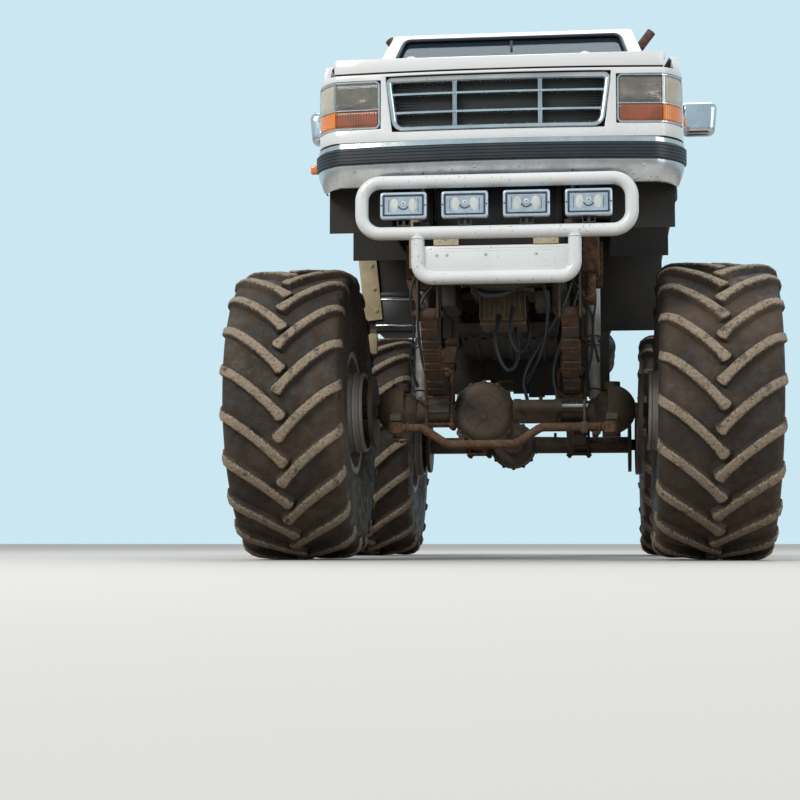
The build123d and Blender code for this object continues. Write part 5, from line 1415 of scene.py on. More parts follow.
@asMesh
def buildHoses(bm):
    for radius, points in hosePaths.values():
        addHose(bm, points, radius)
        for end, near in ((points[0], points[1]), (points[-1], points[-2])):
            tip, into = Vector(end), (Vector(near) - Vector(end)).normalized()
            addRod(bm, tip - into * 0.004, tip + into * 0.03, radius * 1.28, 12)


@asMesh
def buildExhaust(bm):  # two down pipes that join a silencer under the floor
    for side in (-1, 1):
        path = [(side * 0.27, -1.7, 1.86), (side * 0.33, -1.66, 1.66), (side * 0.335, -1.52, 1.5),
                (side * 0.3, -1.2, 1.44), (side * 0.3, -0.6, 1.44), (side * 0.3, 0.6, 1.44)]
        addHose(bm, path, 0.032, 18)
        ringAround(bm, (side * 0.3, -1.1, 1.44), (0, 1, 0), 0.034, 0.006)
        addRod(bm, (side * 0.3, -0.1, 1.44), (side * 0.3, 0.45, 1.44), 0.075, 32)


@asMesh
def buildPinkPipe(bm):
    addHose(bm, [(-0.44, -1.95, 1.86), (-0.53, -1.98, 1.74), (-0.545, -1.96, 1.6), (-0.49, -1.93, 1.48),
                 (-0.45, -1.9, 1.36)], 0.026, 18)


@asMesh
def buildCreamBrackets(bm):
    softBlock(bm, (-0.985, -0.955, 1.5), (-0.87, -0.943, 1.93), 0.005)
    for z in (1.56, 1.7, 1.85):
        addBolt(bm, (-0.905, -0.955, z), (0, -1, 0), 0.012, 0.009)
    hinge, lean = Matrix.Translation((-0.93, -0.949, 1.93)), Matrix.Rotation(math.radians(-6), 4, "Y")
    place(bm, bm.verts, hinge @ lean @ Matrix.Translation((0.93, 0.949, -1.93)))
    softBlock(bm, (-0.95, -0.953, 1.91), (-0.86, -0.941, 2.052), 0.004)
    softBlock(bm, (-0.975, -0.925, 1.29), (-0.862, -0.9, 1.462), 0.01, 3)
    softBlock(bm, (-0.88, -0.918, 1.43), (-0.84, -0.89, 1.48), 0.004)
    softBlock(bm, (-0.5, -2.41, 1.6), (-0.445, -2.395, 1.98), 0.005)
    addBolt(bm, (-0.472, -2.41, 1.66), (0, -1, 0), 0.01, 0.008)
    addBolt(bm, (-0.472, -2.41, 1.92), (0, -1, 0), 0.01, 0.008)


@asMesh
def buildRustBrackets(bm):
    for side in (-1, 1):
        sideBlock(bm, side, (0.442, -2.02, 1.6), (0.56, -1.97, 1.8), 0.006)
        sideBlock(bm, side, (0.442, -1.72, 1.58), (0.56, -1.66, 1.8), 0.006)
        for z in (1.65, 1.75):
            addBolt(bm, (side * 0.5, -2.02, z), (0, -1, 0), 0.012, 0.01)
    softBlock(bm, (0.44, -2.52, 1.55), (0.54, -2.34, 1.78), 0.012, 3)
    addRod(bm, (0.49, -2.46, 1.55), (0.49, -2.46, 1.42), 0.028, 20)
    softBlock(bm, (0.468, -2.49, 1.395), (0.512, -2.32, 1.425), 0.006)


@asMesh
def buildFloorRibs(bm):  # the cab's floor and the bed's floor from below
    for x in (-0.8, -0.62, 0.62, 0.8):
        softBlock(bm, (x - 0.04, -1.33, 2.008), (x + 0.04, 0.02, 2.046), 0.006)
    for y in (-1.3, -0.62, -0.02):
        softBlock(bm, (-0.9, y - 0.035, 1.985), (0.9, y + 0.035, 2.044), 0.006)
    for y in (0.3, 0.78, 1.98, 2.3):
        softBlock(bm, (-0.86, y - 0.035, 2.175), (0.86, y + 0.035, 2.256), 0.006)


@asMesh
def buildMidMass(bm):  # gearbox ribs, shift rods, heat shield and a skid over the transfer case
    for count in range(7):
        y = -1.22 + count * 0.06
        softBlock(bm, (-0.136, y - 0.005, 1.664), (0.136, y + 0.005, 1.86), 0.002)
    softBlock(bm, (-0.215, -1.52, 1.6), (0.215, -1.49, 1.99), 0.008)
    for angle in range(0, 360, 30):
        a = math.radians(angle)
        addBolt(bm, (0.17 * math.cos(a), -1.52, 1.81 + 0.17 * math.sin(a)), (0, -1, 0), 0.01, 0.01)
    for x in (-0.2, 0.19):
        addRod(bm, (x, -1.48, 1.68), (x, -0.3, 1.52), 0.011, 12)
    for count in range(6):
        y = -0.24 + count * 0.045
        softBlock(bm, (-0.186, y - 0.004, 1.2), (0.176, y + 0.004, 1.47), 0.002)
    for x in (-0.14, -0.05, 0.05, 0.13):
        addBolt(bm, (x, -0.268, 1.22), (0, -1, 0), 0.011, 0.01)
        addBolt(bm, (x, -0.268, 1.44), (0, -1, 0), 0.011, 0.01)


makePiece("rubberFlaps", buildFlaps(), "linerBlack")
makePiece("airTanks", buildTanks(), "boxBlack")
makePiece("ribbedSump", buildSump(), "sumpMetal")
makePiece("engineFront", buildEngineFront(), "castMetal")
makePiece("hoses", buildHoses(), "stripRubber", angle=60)
makePiece("exhaustPipes", buildExhaust(), "rustySteel", angle=60)
makePiece("fillerPipe", buildPinkPipe(), "pinkPipe", angle=60)
makePiece("creamBrackets", buildCreamBrackets(), "creamPlate")
makePiece("rustyBrackets", buildRustBrackets(), "rustySteel")
makePiece("floorRibs", buildFloorRibs(), "frameBlack")
makePiece("gearboxRibs", buildMidMass(), "castMetal")
print("underbody built")


# Painted panels: merged copies of the CAD's own, with their sharp corners rounded
def skinCopy(nodeName, width, degrees=28, segments=2):
    bm = bmesh.new()
    bm.from_mesh(nodes[nodeName].data)
    bmesh.ops.transform(bm, matrix=nodes[nodeName].matrix_world, verts=bm.verts)
    bmesh.ops.remove_doubles(bm, verts=bm.verts, dist=1e-5)
    bmesh.ops.dissolve_limit(bm, angle_limit=math.radians(0.6), verts=bm.verts, edges=bm.edges)
    bevelled(bm, sharpEdges(bm, degrees), width, segments)
    bmesh.ops.triangulate(bm, faces=[face for face in bm.faces if len(face.verts) > 4])
    return bm


def sideX(z):  # half width of the body's side at a height
    if z < 2.067:
        return 0.925 + (z - 2.045) / 0.022 * 0.059
    if z > 2.755:
        return 0.976 - (z - 2.755) / 0.066 * 0.051
    a, b, c = (2.067, 0.984), (2.445, 1.003), (2.755, 0.976)
    return (a[1] * (z - b[0]) * (z - c[0]) / ((a[0] - b[0]) * (a[0] - c[0]))
            + b[1] * (z - a[0]) * (z - c[0]) / ((b[0] - a[0]) * (b[0] - c[0]))
            + c[1] * (z - a[0]) * (z - b[0]) / ((c[0] - a[0]) * (c[0] - b[0])))


def glassX(z):  # half width of the cab's side windows at a height
    return 0.925 - 0.3252 * (z - 2.821)


panelCopies = {  # node: name of the piece, its body, rounding of its corners
    "hood": ("hoodSkin", "hood", 0.005), "front_panel": ("nosePanel", "truck", 0.004),
               "fenders": ("fenderSkins", "truck", 0.004),
    "cab_shell": ("cabSkin", "truck", 0.005), "door_left": ("doorSkinLeft", "door_left", 0.004),
    "door_right": ("doorSkinRight", "door_right", 0.004), "bed_box": ("bedSkin", "truck", 0.004),
    "tailgate": ("tailgateSkin", "tailgate", 0.004),
}
for nodeName, (pieceName, body, width) in panelCopies.items():
    makePiece(pieceName, skinCopy(nodeName, width), "bodyPaint", body, angle=34, stands=[nodeName])
print("panels rounded")


archShape = {"centreZ": 1.965, "high": 0.462, "half": 0.466, "lip": 0.009}


@asMesh
def buildArchLips(bm, shape):
    for side in (-1, 1):
        for y in (frontAxle.y, rearAxle.y):
            path = []
            for step in range(41):
                angle = math.radians(12 + 156 * step / 40)
                z = shape["centreZ"] + shape["high"] * math.sin(angle)
                path.append((side * (sideX(z) - 0.004), y + shape["half"] * math.cos(angle), z))
            addTube(bm, path, shape["lip"], 8)


mouldingShape = {
    "z": 2.462, "spans": ((-2.25, -2.345), (-1.392, -1.3), (0.085, 1.06), (2.01, 2.51)),
    "section": [(-0.022, -0.004), (-0.022, 0.003), (-0.014, 0.009), (0.014, 0.009), (0.022, 0.003),
                (0.022, -0.004)],
}


def addMoulding(bm, shape, side, start, length, steps):
    z = shape["z"]
    path = [(side * (sideX(z) + 0.001), start + length * step / steps, z) for step in range(steps + 1)]
    sweep(bm, path, shape["section"], (side, 0, 0))


@asMesh
def buildMouldings(bm, shape):  # rubbing strips along the fenders and the bed
    for side in (-1, 1):
        for start, end in shape["spans"]:
            addMoulding(bm, shape, side, start, end - start, 12)


@asMesh
def buildHoodTrim(bm):  # raised middle with a crease each side, and washer jets
    for side in (-1, 1):
        path = []
        for step in range(25):
            share = step / 24
            y = -2.575 + 1.1 * share
            path.append((side * (0.47 + 0.1 * share), y, 2.7312 + (y + 2.609) * 0.0905 + 0.0005))
        crease = [(-0.03, -0.003), (-0.012, 0.006), (0.0, 0.0075), (0.012, 0.006), (0.03, -0.003)]
        sweep(bm, path, crease, (0, 0, 1))
    for x in (-0.3, 0.3):
        softBlock(bm, (x - 0.012, -1.53, 2.822), (x + 0.012, -1.5, 2.838), 0.003)


def doorWindowPath(side, out=0.0):
    corners = [(-1.191, 2.883), (-0.817, 3.226), (-0.377, 3.226), (-0.343, 2.883)]
    path = roundedPath([(0, y, z) for y, z in corners], 0.04, True, 8)
    return [(side * (glassX(p.z) + out), p.y, p.z) for p in path]


@asMesh
def buildWindowSeals(bm, side):
    addTube(bm, doorWindowPath(side, -0.002), 0.011, 8, True)
    line = [(side * (glassX(2.872) + 0.005), y, 2.872) for y in (-1.16, -0.9, -0.6, -0.37)]
    section = [(-0.008, -0.006), (-0.008, 0.002), (0.0, 0.005), (0.008, 0.002), (0.008, -0.006)]
    sweep(bm, line, section, (side, 0, 0.3))


@asMesh
def buildDoorTrim(bm, side):  # strip, handle recess and lock
    addMoulding(bm, mouldingShape, side, -1.276, 0.985, 16)
    sideBlock(bm, side, (sideX(2.66) - 0.006, -0.475, 2.635), (sideX(2.66) + 0.003, -0.335, 2.692), 0.004)


@asMesh
def buildDoorHandles(bm, side):
    x = sideX(2.66)
    sideBlock(bm, side, (x + 0.002, -0.462, 2.668), (x + 0.016, -0.352, 2.684), 0.005, 3)
    addRod(bm, (side * (x - 0.004), -0.325, 2.655), (side * (x + 0.007), -0.325, 2.655), 0.011, 20)


def slopedScreen(x, z, out=0.0):  # a point on the windscreen
    return Vector((x, -1.387 + (z - 2.821) * 0.9129, z)) + Vector((0, -0.738, 0.674)) * out


@asMesh
def buildScreenSeals(bm):
    corners = [(-0.79, 0, 2.887), (0.79, 0, 2.887), (0.68, 0, 3.307), (-0.68, 0, 3.307)]
    loop = denseLoop(roundedPath(corners, 0.046, True, 8), 0.06)
    addTube(bm, [slopedScreen(p.x, p.z, -0.001) for p in loop], 0.012, 8, True)
    corners = [(-0.64, 0, 2.911), (0.64, 0, 2.911), (0.59, 0, 3.263), (-0.59, 0, 3.263)]
    loop = roundedPath(corners, 0.046, True, 8)
    addTube(bm, [(p.x, 0.033 - 0.1957 * (p.z - 2.821) - 0.001, p.z) for p in loop], 0.011, 8, True)


@asMesh
def buildWipers(bm):
    for pivot, tip in ((-0.5, 0.02), (0.06, 0.6)):
        bends = ((pivot, 2.845, 0.022), (pivot + 0.1, 2.875, 0.026), (tip, 2.925, 0.018))
        addTube(bm, [slopedScreen(*bend) for bend in bends], 0.006, 8)
        addRod(bm, slopedScreen(pivot, 2.842, 0.0), slopedScreen(pivot, 2.842, 0.034), 0.014, 16)
        blade = [slopedScreen(tip - 0.27 + 0.46 * step / 10, 2.902 + 0.035 * step / 10, 0.01) for step in range(11)]
        addTube(bm, blade, 0.005, 6)
    softBlock(bm, (-0.8, -1.432, 2.722), (0.8, -1.389, 2.73), 0.003)
    for step in range(40):
        x = -0.78 + step * 0.04
        softBlock(bm, (x - 0.013, -1.428, 2.729), (x + 0.013, -1.396, 2.734), 0.001, 1)


makePiece("archLips", buildArchLips(archShape), "stripRubber", angle=60)
makePiece("sideMouldings", buildMouldings(mouldingShape), "stripRubber")
makePiece("hoodCreases", buildHoodTrim(), "bodyPaint", "hood")
makePiece("screenSeals", buildScreenSeals(), "stripRubber", angle=60)
makePiece("wipersAndCowl", buildWipers(), "stripRubber", angle=50)
for side, word in ((1, "Left"), (-1, "Right")):
    body = "door_" + word.lower()
    makePiece("windowSeal" + word, buildWindowSeals(side), "stripRubber", body, angle=60)
    makePiece("doorTrim" + word, buildDoorTrim(side), "stripRubber", body)
    makePiece("doorHandle" + word, buildDoorHandles(side), "chrome", body)
print("body trim built")


# Mirrors: bright rounded housings, dark arms, glass that faces the rear
mirrorShape = {"low": (1.044, -1.129, 2.611), "high": (1.274, -1.041, 2.817)}


@asMesh
def buildMirrorHousing(bm, side, shape):
    low, high = Vector(shape["low"]), Vector(shape["high"])
    middle, half = (low + high) / 2, (high - low) / 2
    rings = []
    steps = ((-1.0, 0.62), (-0.93, 0.78), (-0.72, 0.9), (-0.35, 0.97), (0.2, 1.0), (0.92, 1.0), (1.0, 0.985))
    for deep, shrink in steps:
        ring = roundedRect(half.x * 2 * shrink, half.z * 2 * shrink, 0.042 * shrink, 6)
        rings.append([(side * (middle.x + a * (1.0 - 0.1 * (b < 0))), middle.y + deep * half.y, middle.z + b)
                      for a, b in ring])
    ringLoft(bm, rings)


@asMesh
def buildMirrorGlass(bm, side, shape):
    low, high = Vector(shape["low"]), Vector(shape["high"])
    middle, half = (low + high) / 2, (high - low) / 2
    rings = []
    for y, shrink in ((high.y - 0.0005, 0.9), (high.y + 0.0015, 0.89)):
        rings.append([(side * (middle.x + a), y, middle.z + b)
                      for a, b in roundedRect(half.x * 2 * shrink, half.z * 2 * shrink, 0.034, 6)])
    ringLoft(bm, rings)


@asMesh
def buildMirrorArm(bm, side):
    sideBlock(bm, side, (0.955, -1.118, 2.672), (1.06, -1.074, 2.718), 0.01, 3)
    sideBlock(bm, side, (0.95, -1.132, 2.65), (0.972, -1.06, 2.742), 0.008, 3)


for side, word in ((1, "Left"), (-1, "Right")):
    body = "door_" + word.lower()
    makePiece("mirrorHousing" + word, buildMirrorHousing(side, mirrorShape), "chrome", body, angle=50,
              stands=["mirror_" + word.lower()])
    makePiece("mirrorGlass" + word, buildMirrorGlass(side, mirrorShape), "mirrorGlass", body)
    makePiece("mirrorArm" + word, buildMirrorArm(side), "boxBlack", body)
print("mirrors built")


# Side markers, grab loops, stacks
@asMesh
def buildSideMarkers(bm):
    softBlock(bm, (0.965, -1.387, 2.603), (1.067, -1.323, 2.653), 0.008, 3)
    softBlock(bm, (-1.063, -2.335, 2.157), (-0.965, -2.299, 2.205), 0.008, 3)


@asMesh
def buildGrabLoops(bm):
    for side in (-1, 1):
        path = [(side * 0.95, -0.167, 2.375), (side * 1.06, -0.167, 2.375), (side * 1.06, -0.167, 2.671),
                (side * 0.95, -0.167, 2.671)]
        addTube(bm, roundedPath(path, 0.026, False, 8), 0.008, 12)
        for z in (2.375, 2.671):
            addRod(bm, (side * (sideX(z) - 0.004), -0.167, z), (side * (sideX(z) + 0.004), -0.167, z), 0.02, 20)


stackShape = {"x": 0.745, "y": 0.177, "foot": 2.277, "elbow": 3.417, "tipX": 0.92, "tipZ": 3.645, "radius": 0.0315}


def stackTop(side, shape):
    elbow = Vector((side * shape["x"], shape["y"], shape["elbow"]))
    return elbow, Vector((side * shape["tipX"], shape["y"], shape["tipZ"]))


@asMesh
def buildStacks(bm, shape):
    x, y = shape["x"], shape["y"]
    for side in (-1, 1):
        elbow, tip = stackTop(side, shape)
        into = (elbow - tip).normalized()
        addTube(bm, roundedPath([(side * x, y, shape["foot"]), elbow, tip], 0.13, False, 12), shape["radius"], 28)
        ringAround(bm, tip + into * 0.002, into, 0.03, 0.0022, 32)
        for z in (2.3, 2.62, 3.1):
            ringAround(bm, (side * x, y, z), (0, 0, 1), 0.033, 0.005)
        for z in (2.66, 3.06):
            a, b = sideSpan(side, 0.7, x)
            addBlock(bm, (a, 0.16, z - 0.01), (b, 0.194, z + 0.01))


# black discs on the capped tips stand for the open pipes: soot and painted shade
@asMesh
def buildStackMouths(bm, shape):
    for side in (-1, 1):
        elbow, tip = stackTop(side, shape)
        out = (tip - elbow).normalized()
        addRod(bm, tip - out * 0.002, tip + out * 0.0012, 0.0285, 28)


makePiece("sideMarkers", buildSideMarkers(), "amberBright")
makePiece("grabLoops", buildGrabLoops(), "boxBlack", angle=50, stands=["grab_loops"])
makePiece("exhaustStacks", buildStacks(stackShape), "pipeRust", angle=50, stands=["exhaust_stacks"])
makePiece("stackMouths", buildStackMouths(stackShape), "linerBlack")
print("markers, loops and stacks built")


# Springs: separate leaves with clips, U-bolts over the axle's seats, nuts on the pins
springShape = {"x": 0.38, "width": 0.09, "halfSpan": 0.7, "eyeZ": 1.326, "seatZ": 1.044, "leaf": 0.012, "count": 9,
               "boltLeg": 0.073, "boltFoot": 0.79, "boltTop": 1.088}
springRise = springShape["eyeZ"] - springShape["seatZ"]
springRadius = (springShape["halfSpan"] ** 2 + springRise ** 2) / (2 * springRise)
springTurn = math.asin(springShape["halfSpan"] / springRadius)


def springSpot(x, y, angle, radius):
    return Vector((x, y + math.sin(angle) * radius, springShape["seatZ"] + springRadius - math.cos(angle) * radius))


def atSprings(draw):  # the same things at all four springs
    bm = bmesh.new()
    for y in (frontAxle.y, rearAxle.y):
        for side in (-1, 1):
            draw(bm, side * springShape["x"], y, springShape)
    return bm


def drawLeaves(bm, x, y, shape):
    wide, thick = shape["width"] / 2, shape["leaf"] / 2 - 0.0008
    section = [(-thick, -wide + 0.003), (-thick, wide - 0.003), (-thick + 0.003, wide), (thick - 0.003, wide),
               (thick, wide - 0.003), (thick, -wide + 0.003), (thick - 0.003, -wide), (-thick + 0.003, -wide)]
    for leaf in range(shape["count"]):
        half = springTurn * (1 - 0.105 * max(leaf - 1, 0))
        line = [springSpot(x, y, half * step / 14, springRadius + (leaf + 0.5) * shape["leaf"])
                for step in range(-14, 15)]
        sweep(bm, line, section, (1, 0, 0))
    for end in (-1, 1):
        eye = (y + end * shape["halfSpan"], shape["eyeZ"])
        softRod(bm, (x - wide, *eye), (x + wide, *eye), 0.0315, 28, 0.003, 2)


def drawSpringClips(bm, x, y, shape):
    for share, leaves in ((0.5, 6), (0.7, 4)):
        for end in (-1, 1):
            angle, deep = end * share * springTurn, leaves * shape["leaf"] / 2
            spot = springSpot(x, y, angle, springRadius + deep)
            verts = addBlock(bm, (-0.052, -0.014, -deep - 0.006), (0.052, 0.014, deep + 0.006))
            place(bm, verts, Matrix.Translation(spot) @ Matrix.Rotation(angle, 4, "X"))
            addBolt(bm, spot + Vector((0.052, 0, 0)), (1, 0, 0), 0.007, 0.006)
            addBolt(bm, spot - Vector((0.052, 0, 0)), (-1, 0, 0), 0.007, 0.006)
    softBlock(bm, (x - 0.062, y - 0.09, 0.92), (x + 0.062, y + 0.09, 0.936), 0.003)
    softBlock(bm, (x - 0.062, y - 0.09, 1.044), (x + 0.062, y + 0.09, 1.07), 0.004)
    softBlock(bm, (x - 0.092, y - 0.086, 0.764), (x + 0.092, y + 0.086, 0.781), 0.004)
    for end in (-1, 1):
        for out in (-1, 1):
            addBolt(bm, (x + out * 0.0665, y + end * shape["halfSpan"], shape["eyeZ"]), (out, 0, 0), 0.017, 0.014)


def drawBoltLoops(bm, x, y, shape):
    for along in (-0.062, 0.062):
        leg, foot, top = shape["boltLeg"], shape["boltFoot"], shape["boltTop"]
        loop = [(x - leg, y + along, foot - 0.045), (x - leg, y + along, top), (x + leg, y + along, top),
                (x + leg, y + along, foot - 0.045)]
        addTube(bm, roundedPath(loop, 0.03, False, 8), 0.0105, 12)
        for side in (-1, 1):
            addBolt(bm, (x + side * leg, y + along, 0.764), (0, 0, -1), 0.017, 0.014)


makePiece("springLeaves", atSprings(drawLeaves), "springSteel", angle=40, stands=["leaf_springs"])
makePiece("springClips", atSprings(drawSpringClips), "rustySteel")
makePiece("boltLoops", atSprings(drawBoltLoops), "rustySteel", angle=50)


# Axle trim: cover flanges with bolts and ribs, weld beads, brake lines, shock sleeves, steering ram
axleTrim = {"diffX": -0.122, "flange": 0.17, "bolts": 14, "coverOut": 0.04}


@asMesh
def buildAxleTrim(bm, shape):
    for axle, out in ((frontAxle, -1), (rearAxle, 1)):
        x, z, y = shape["diffX"], axle.z, axle.y + out * shape["coverOut"]
        ringAround(bm, (x, y, z), (0, 1, 0), shape["flange"], 0.0075, 48)
        boltRing(bm, (x, y + out * 0.006, z), 0.174, shape["bolts"], (0, out, 0), 0.0095, 0.009)
        for reach in (0.06, 0.105):
            ringAround(bm, (x, axle.y + out * 0.0935, z), (0, 1, 0), reach, 0.0035, 36)
        for turn in range(4):
            angle = math.pi * (turn + 0.5) / 4
            a = Vector((math.cos(angle), 0, math.sin(angle))) * 0.11
            centre = Vector((x, axle.y + out * 0.093, z))
            addTube(bm, [centre - a, centre, centre + a], 0.0045, 8)
        addBolt(bm, (x, axle.y + out * 0.095, z - 0.03), (0, out, 0), 0.016, 0.012)
        for bead in (-0.315, 0.055, 0.295):
            ringAround(bm, (bead, axle.y, z), (1, 0, 0), 0.0625, 0.005, 32)
        ringAround(bm, (x, axle.y - out * 0.3, z + 0.022), (0, 1, 0.07 * -out), 0.084, 0.006, 36)
        addRod(bm, (0.2, axle.y, z + 0.055), (0.2, axle.y, z + 0.095), 0.011, 16)


@asMesh
def buildBrakeLines(bm):
    for axle, out in ((frontAxle, -1), (rearAxle, 1)):
        for side in (-1, 1):
            ends = ((0.02, 0.05, 0.066), (0.28, 0.05, 0.062), (0.3, 0.105, 0.05), (0.46, 0.11, 0.04),
                    (0.5, 0.05, 0.075))
            addHose(bm, [(side * x, axle.y + out * deep, axle.z + up) for x, deep, up in ends], 0.0045, 8)
    addHose(bm, [(0.3, -2.045, 0.9), (0.27, -2.07, 1.05), (0.33, -2.12, 1.25), (0.42, -2.05, 1.5),
                 (0.43, -1.98, 1.7)], 0.01)
    addHose(bm, [(0.13, -2.045, 0.9), (0.1, -2.1, 1.02), (0.22, -2.16, 1.22), (0.36, -2.1, 1.46),
                 (0.41, -2.0, 1.7)], 0.01)


def shockEnds(axle, side):
    into = 1 if axle.y < 0 else -1
    return Vector((side * 0.506, axle.y + into * 0.15, 0.9323)), Vector((side * 0.506, axle.y + into * 0.32, 1.705))


@asMesh
def buildShockSleeves(bm):
    for axle in (frontAxle, rearAxle):
        for side in (-1, 1):
            foot, head = shockEnds(axle, side)
            softRod(bm, foot.lerp(head, 0.46), foot.lerp(head, 0.93), 0.0385, 32, 0.006, 3)


@asMesh
def buildShockTrim(bm):
    for axle in (frontAxle, rearAxle):
        for side in (-1, 1):
            foot, head = shockEnds(axle, side)
            for share, radius in ((0.06, 0.036), (0.4, 0.036), (0.47, 0.04), (0.9, 0.04)):
                ringAround(bm, foot.lerp(head, share), head - foot, radius, 0.004, 28)
            for spot in (foot, head):
                addBolt(bm, spot + Vector((side * 0.026, 0, 0)), (side, 0, 0), 0.018, 0.012)


ramY, ramZ = -2.045, 0.868  # the line of the steering ram, across the truck behind the tie rod


def addRamPart(bm, start, end, radius, segments=32):
    addRod(bm, (start, ramY, ramZ), (end, ramY, ramZ), radius, segments)


@asMesh
def buildRamBody(bm):
    addRamPart(bm, 0.06, 0.32, 0.033)
    for start in (0.055, 0.283):
        addRamPart(bm, start, start + 0.04, 0.038)
    for x in (0.08, 0.29):
        softBlock(bm, (x - 0.014, ramY, 0.835), (x + 0.014, -1.905, 0.86))
        addBolt(bm, (x, -2.075, ramZ), (0, -1, 0), 0.012, 0.01)


@asMesh
def buildRamRod(bm):
    addRamPart(bm, 0.21, 0.47, 0.013, 20)


@asMesh
def buildRamArm(bm):
    softBlock(bm, (0.443, -2.186, 0.742), (0.457, -2.026, 0.888), 0.003)
    softBlock(bm, (0.431, -2.196, 0.706), (0.469, -2.138, 0.766), 0.006)
    addBolt(bm, (0.469, ramY, ramZ), (1, 0, 0), 0.016, 0.014)


makePiece("axleTrim", buildAxleTrim(axleTrim), "castMetal", angle=40)
makePiece("brakeLines", buildBrakeLines(), "stripRubber", angle=60)
makePiece("shockSleeves", buildShockSleeves(), "damperWhite", angle=40)
makePiece("shockTrim", buildShockTrim(), "boxBlack", angle=40)
makePiece("steeringRam", buildRamBody(), "castMetal", angle=40)
makePiece("steeringRamRod", buildRamRod(), "chrome", "tie_rod", angle=40)
makePiece("steeringRamArm", buildRamArm(), "castMetal", "tie_rod", angle=40)


@asMesh
def buildKnuckleTrim(bm, side):  # bolts round the cup's open edge, on the kingpin's caps and at the arm's end
    pin = Vector(joints["steer_left" if side > 0 else "steer_right"]["pos_m"])
    boltRing(bm, (pin.x - side * 0.02, pin.y, pin.z), 0.13, 10, (-side, 0, 0), 0.0085, 0.008)
    for up in (-1, 1):
        for x, y in ((-0.03, -0.03), (0.03, -0.03), (0.03, 0.03), (-0.03, 0.03)):
            addBolt(bm, (pin.x + x, pin.y + y, pin.z + up * 0.1565), (0, 0, up), 0.0085, 0.008)
        addRod(bm, (pin.x, pin.y, pin.z + up * 0.155), (pin.x, pin.y, pin.z + up * 0.168), 0.014, 16)
    addRod(bm, (pin.x, pin.y - 0.3, 0.812), (pin.x, pin.y - 0.3, 0.826), 0.024, 6)


@asMesh
def buildRodEnds(bm):
    for side in (-1, 1):
        ringAround(bm, (side * 0.535, -2.167, 0.736), (1, 0, 0), 0.026, 0.006, 24)
        ringAround(bm, (side * 0.6, -2.167, 0.762), (0, 0, 1), 0.036, 0.006, 28)
        addBolt(bm, (side * 0.6, -2.167, 0.706), (0, 0, -1), 0.018, 0.012)


for side, word in ((1, "Left"), (-1, "Right")):
    makePiece("knuckleBolts" + word, buildKnuckleTrim(side), "rustySteel", "knuckle_" + word.lower())
makePiece("tieRodEnds", buildRodEnds(), "castMetal", "tie_rod")
print("springs and axle trim built")


# Wheels: rolled lips, clamp bolts round the outer lip, lug nuts, hub bolts, drum ribs and a valve
wheelTrim = {"lip": 0.2945, "lipRadius": 0.3565, "clampRadius": 0.343, "clampBolts": 24, "disc": -0.126, "nuts": 10,
             "nutRadius": 0.172, "hubFace": 0.08, "capFace": 0.112}


@asMesh
def buildWheelTrim(bm, shape, side):
    for x in (-shape["lip"], shape["lip"]):
        ringAround(bm, (side * x, 0, 0), (1, 0, 0), shape["lipRadius"] - 0.004, 0.0055, 96)
    for x, radius, thick in ((-0.098, 0.3165, 0.004), (0.1, 0.317, 0.004), (0.272, 0.317, 0.005)):
        ringAround(bm, (side * x, 0, 0), (1, 0, 0), radius, thick, 80)
    for radius in (0.235, 0.205):
        ringAround(bm, (side * (shape["disc"] + 0.001), 0, 0), (1, 0, 0), radius, 0.004, 64)
    for x in (-0.18, -0.225, -0.27, -0.315, -0.355):
        ringAround(bm, (side * x, 0, 0), (1, 0, 0), 0.2255, 0.005, 64)
    ringAround(bm, (side * (shape["disc"] + 0.004), 0, 0), (1, 0, 0), 0.121, 0.006, 48)
    ringAround(bm, (side * (shape["hubFace"] - 0.003), 0, 0), (1, 0, 0), 0.117, 0.005, 48)
    ringAround(bm, (side * (shape["capFace"] - 0.002), 0, 0), (1, 0, 0), 0.081, 0.004, 40)


@asMesh
def buildWheelBolts(bm, shape, side):
    rows = ((shape["clampBolts"], shape["clampRadius"], 0.296, 0.0085),
            (shape["nuts"], shape["nutRadius"], shape["disc"], 0.018), (8, 0.1, shape["hubFace"], 0.0095))
    for count, radius, face, size in rows:
        boltRing(bm, (side * face, 0, 0), radius, count, (side, 0, 0), size, size * 1.1)
    addRod(bm, (side * shape["capFace"], 0, 0), (side * (shape["capFace"] + 0.012), 0, 0), 0.03, 6)
    addHose(bm, [(side * -0.09, 0.0, 0.312), (side * -0.05, 0.0, 0.296), (side * 0.0, 0.0, 0.29)], 0.0055)


for corner, (jointName, startLeft, startRight) in wheels.items():
    side = 1 if joints[jointName]["pos_m"][0] > 0 else -1
    word = "".join(part.title() for part in corner.split("_"))
    trims = (("rimLips", buildWheelTrim, "rimPaint", "rim_paint"),
             ("rimBolts", buildWheelBolts, "rustySteel", "cast_metal"))
    for name, build, finish, slotName in trims:
        bm = build(wheelTrim, side)
        place(bm, bm.verts, wheelMatrix(jointName))
        makePiece(name + word, bm, finish, "wheel_" + corner, angle=40)
print("wheel trim built")


# Shields and members between the springs; a curtain of near-black strips closes the view there as painted shade
# near-black strips across the gap behind the front axle: painted shade under the truck
@asMesh
def buildShadeCurtain(bm):
    for step in range(10):
        x = -0.4365 + step * 0.097
        low = 1.115 if abs(x + 0.122) < 0.09 else 1.03 if abs(abs(x) - 0.318) < 0.06 else 1.005 + 0.012 * (step % 3)
        y = -0.936 + 0.007 * (step % 2)
        softBlock(bm, (x - 0.0505, y, low), (x + 0.0505, y + 0.005, 1.655), 0.002, 1)
    softBlock(bm, (-0.46, -0.926, 1.615), (0.46, -0.906, 1.665), 0.004)


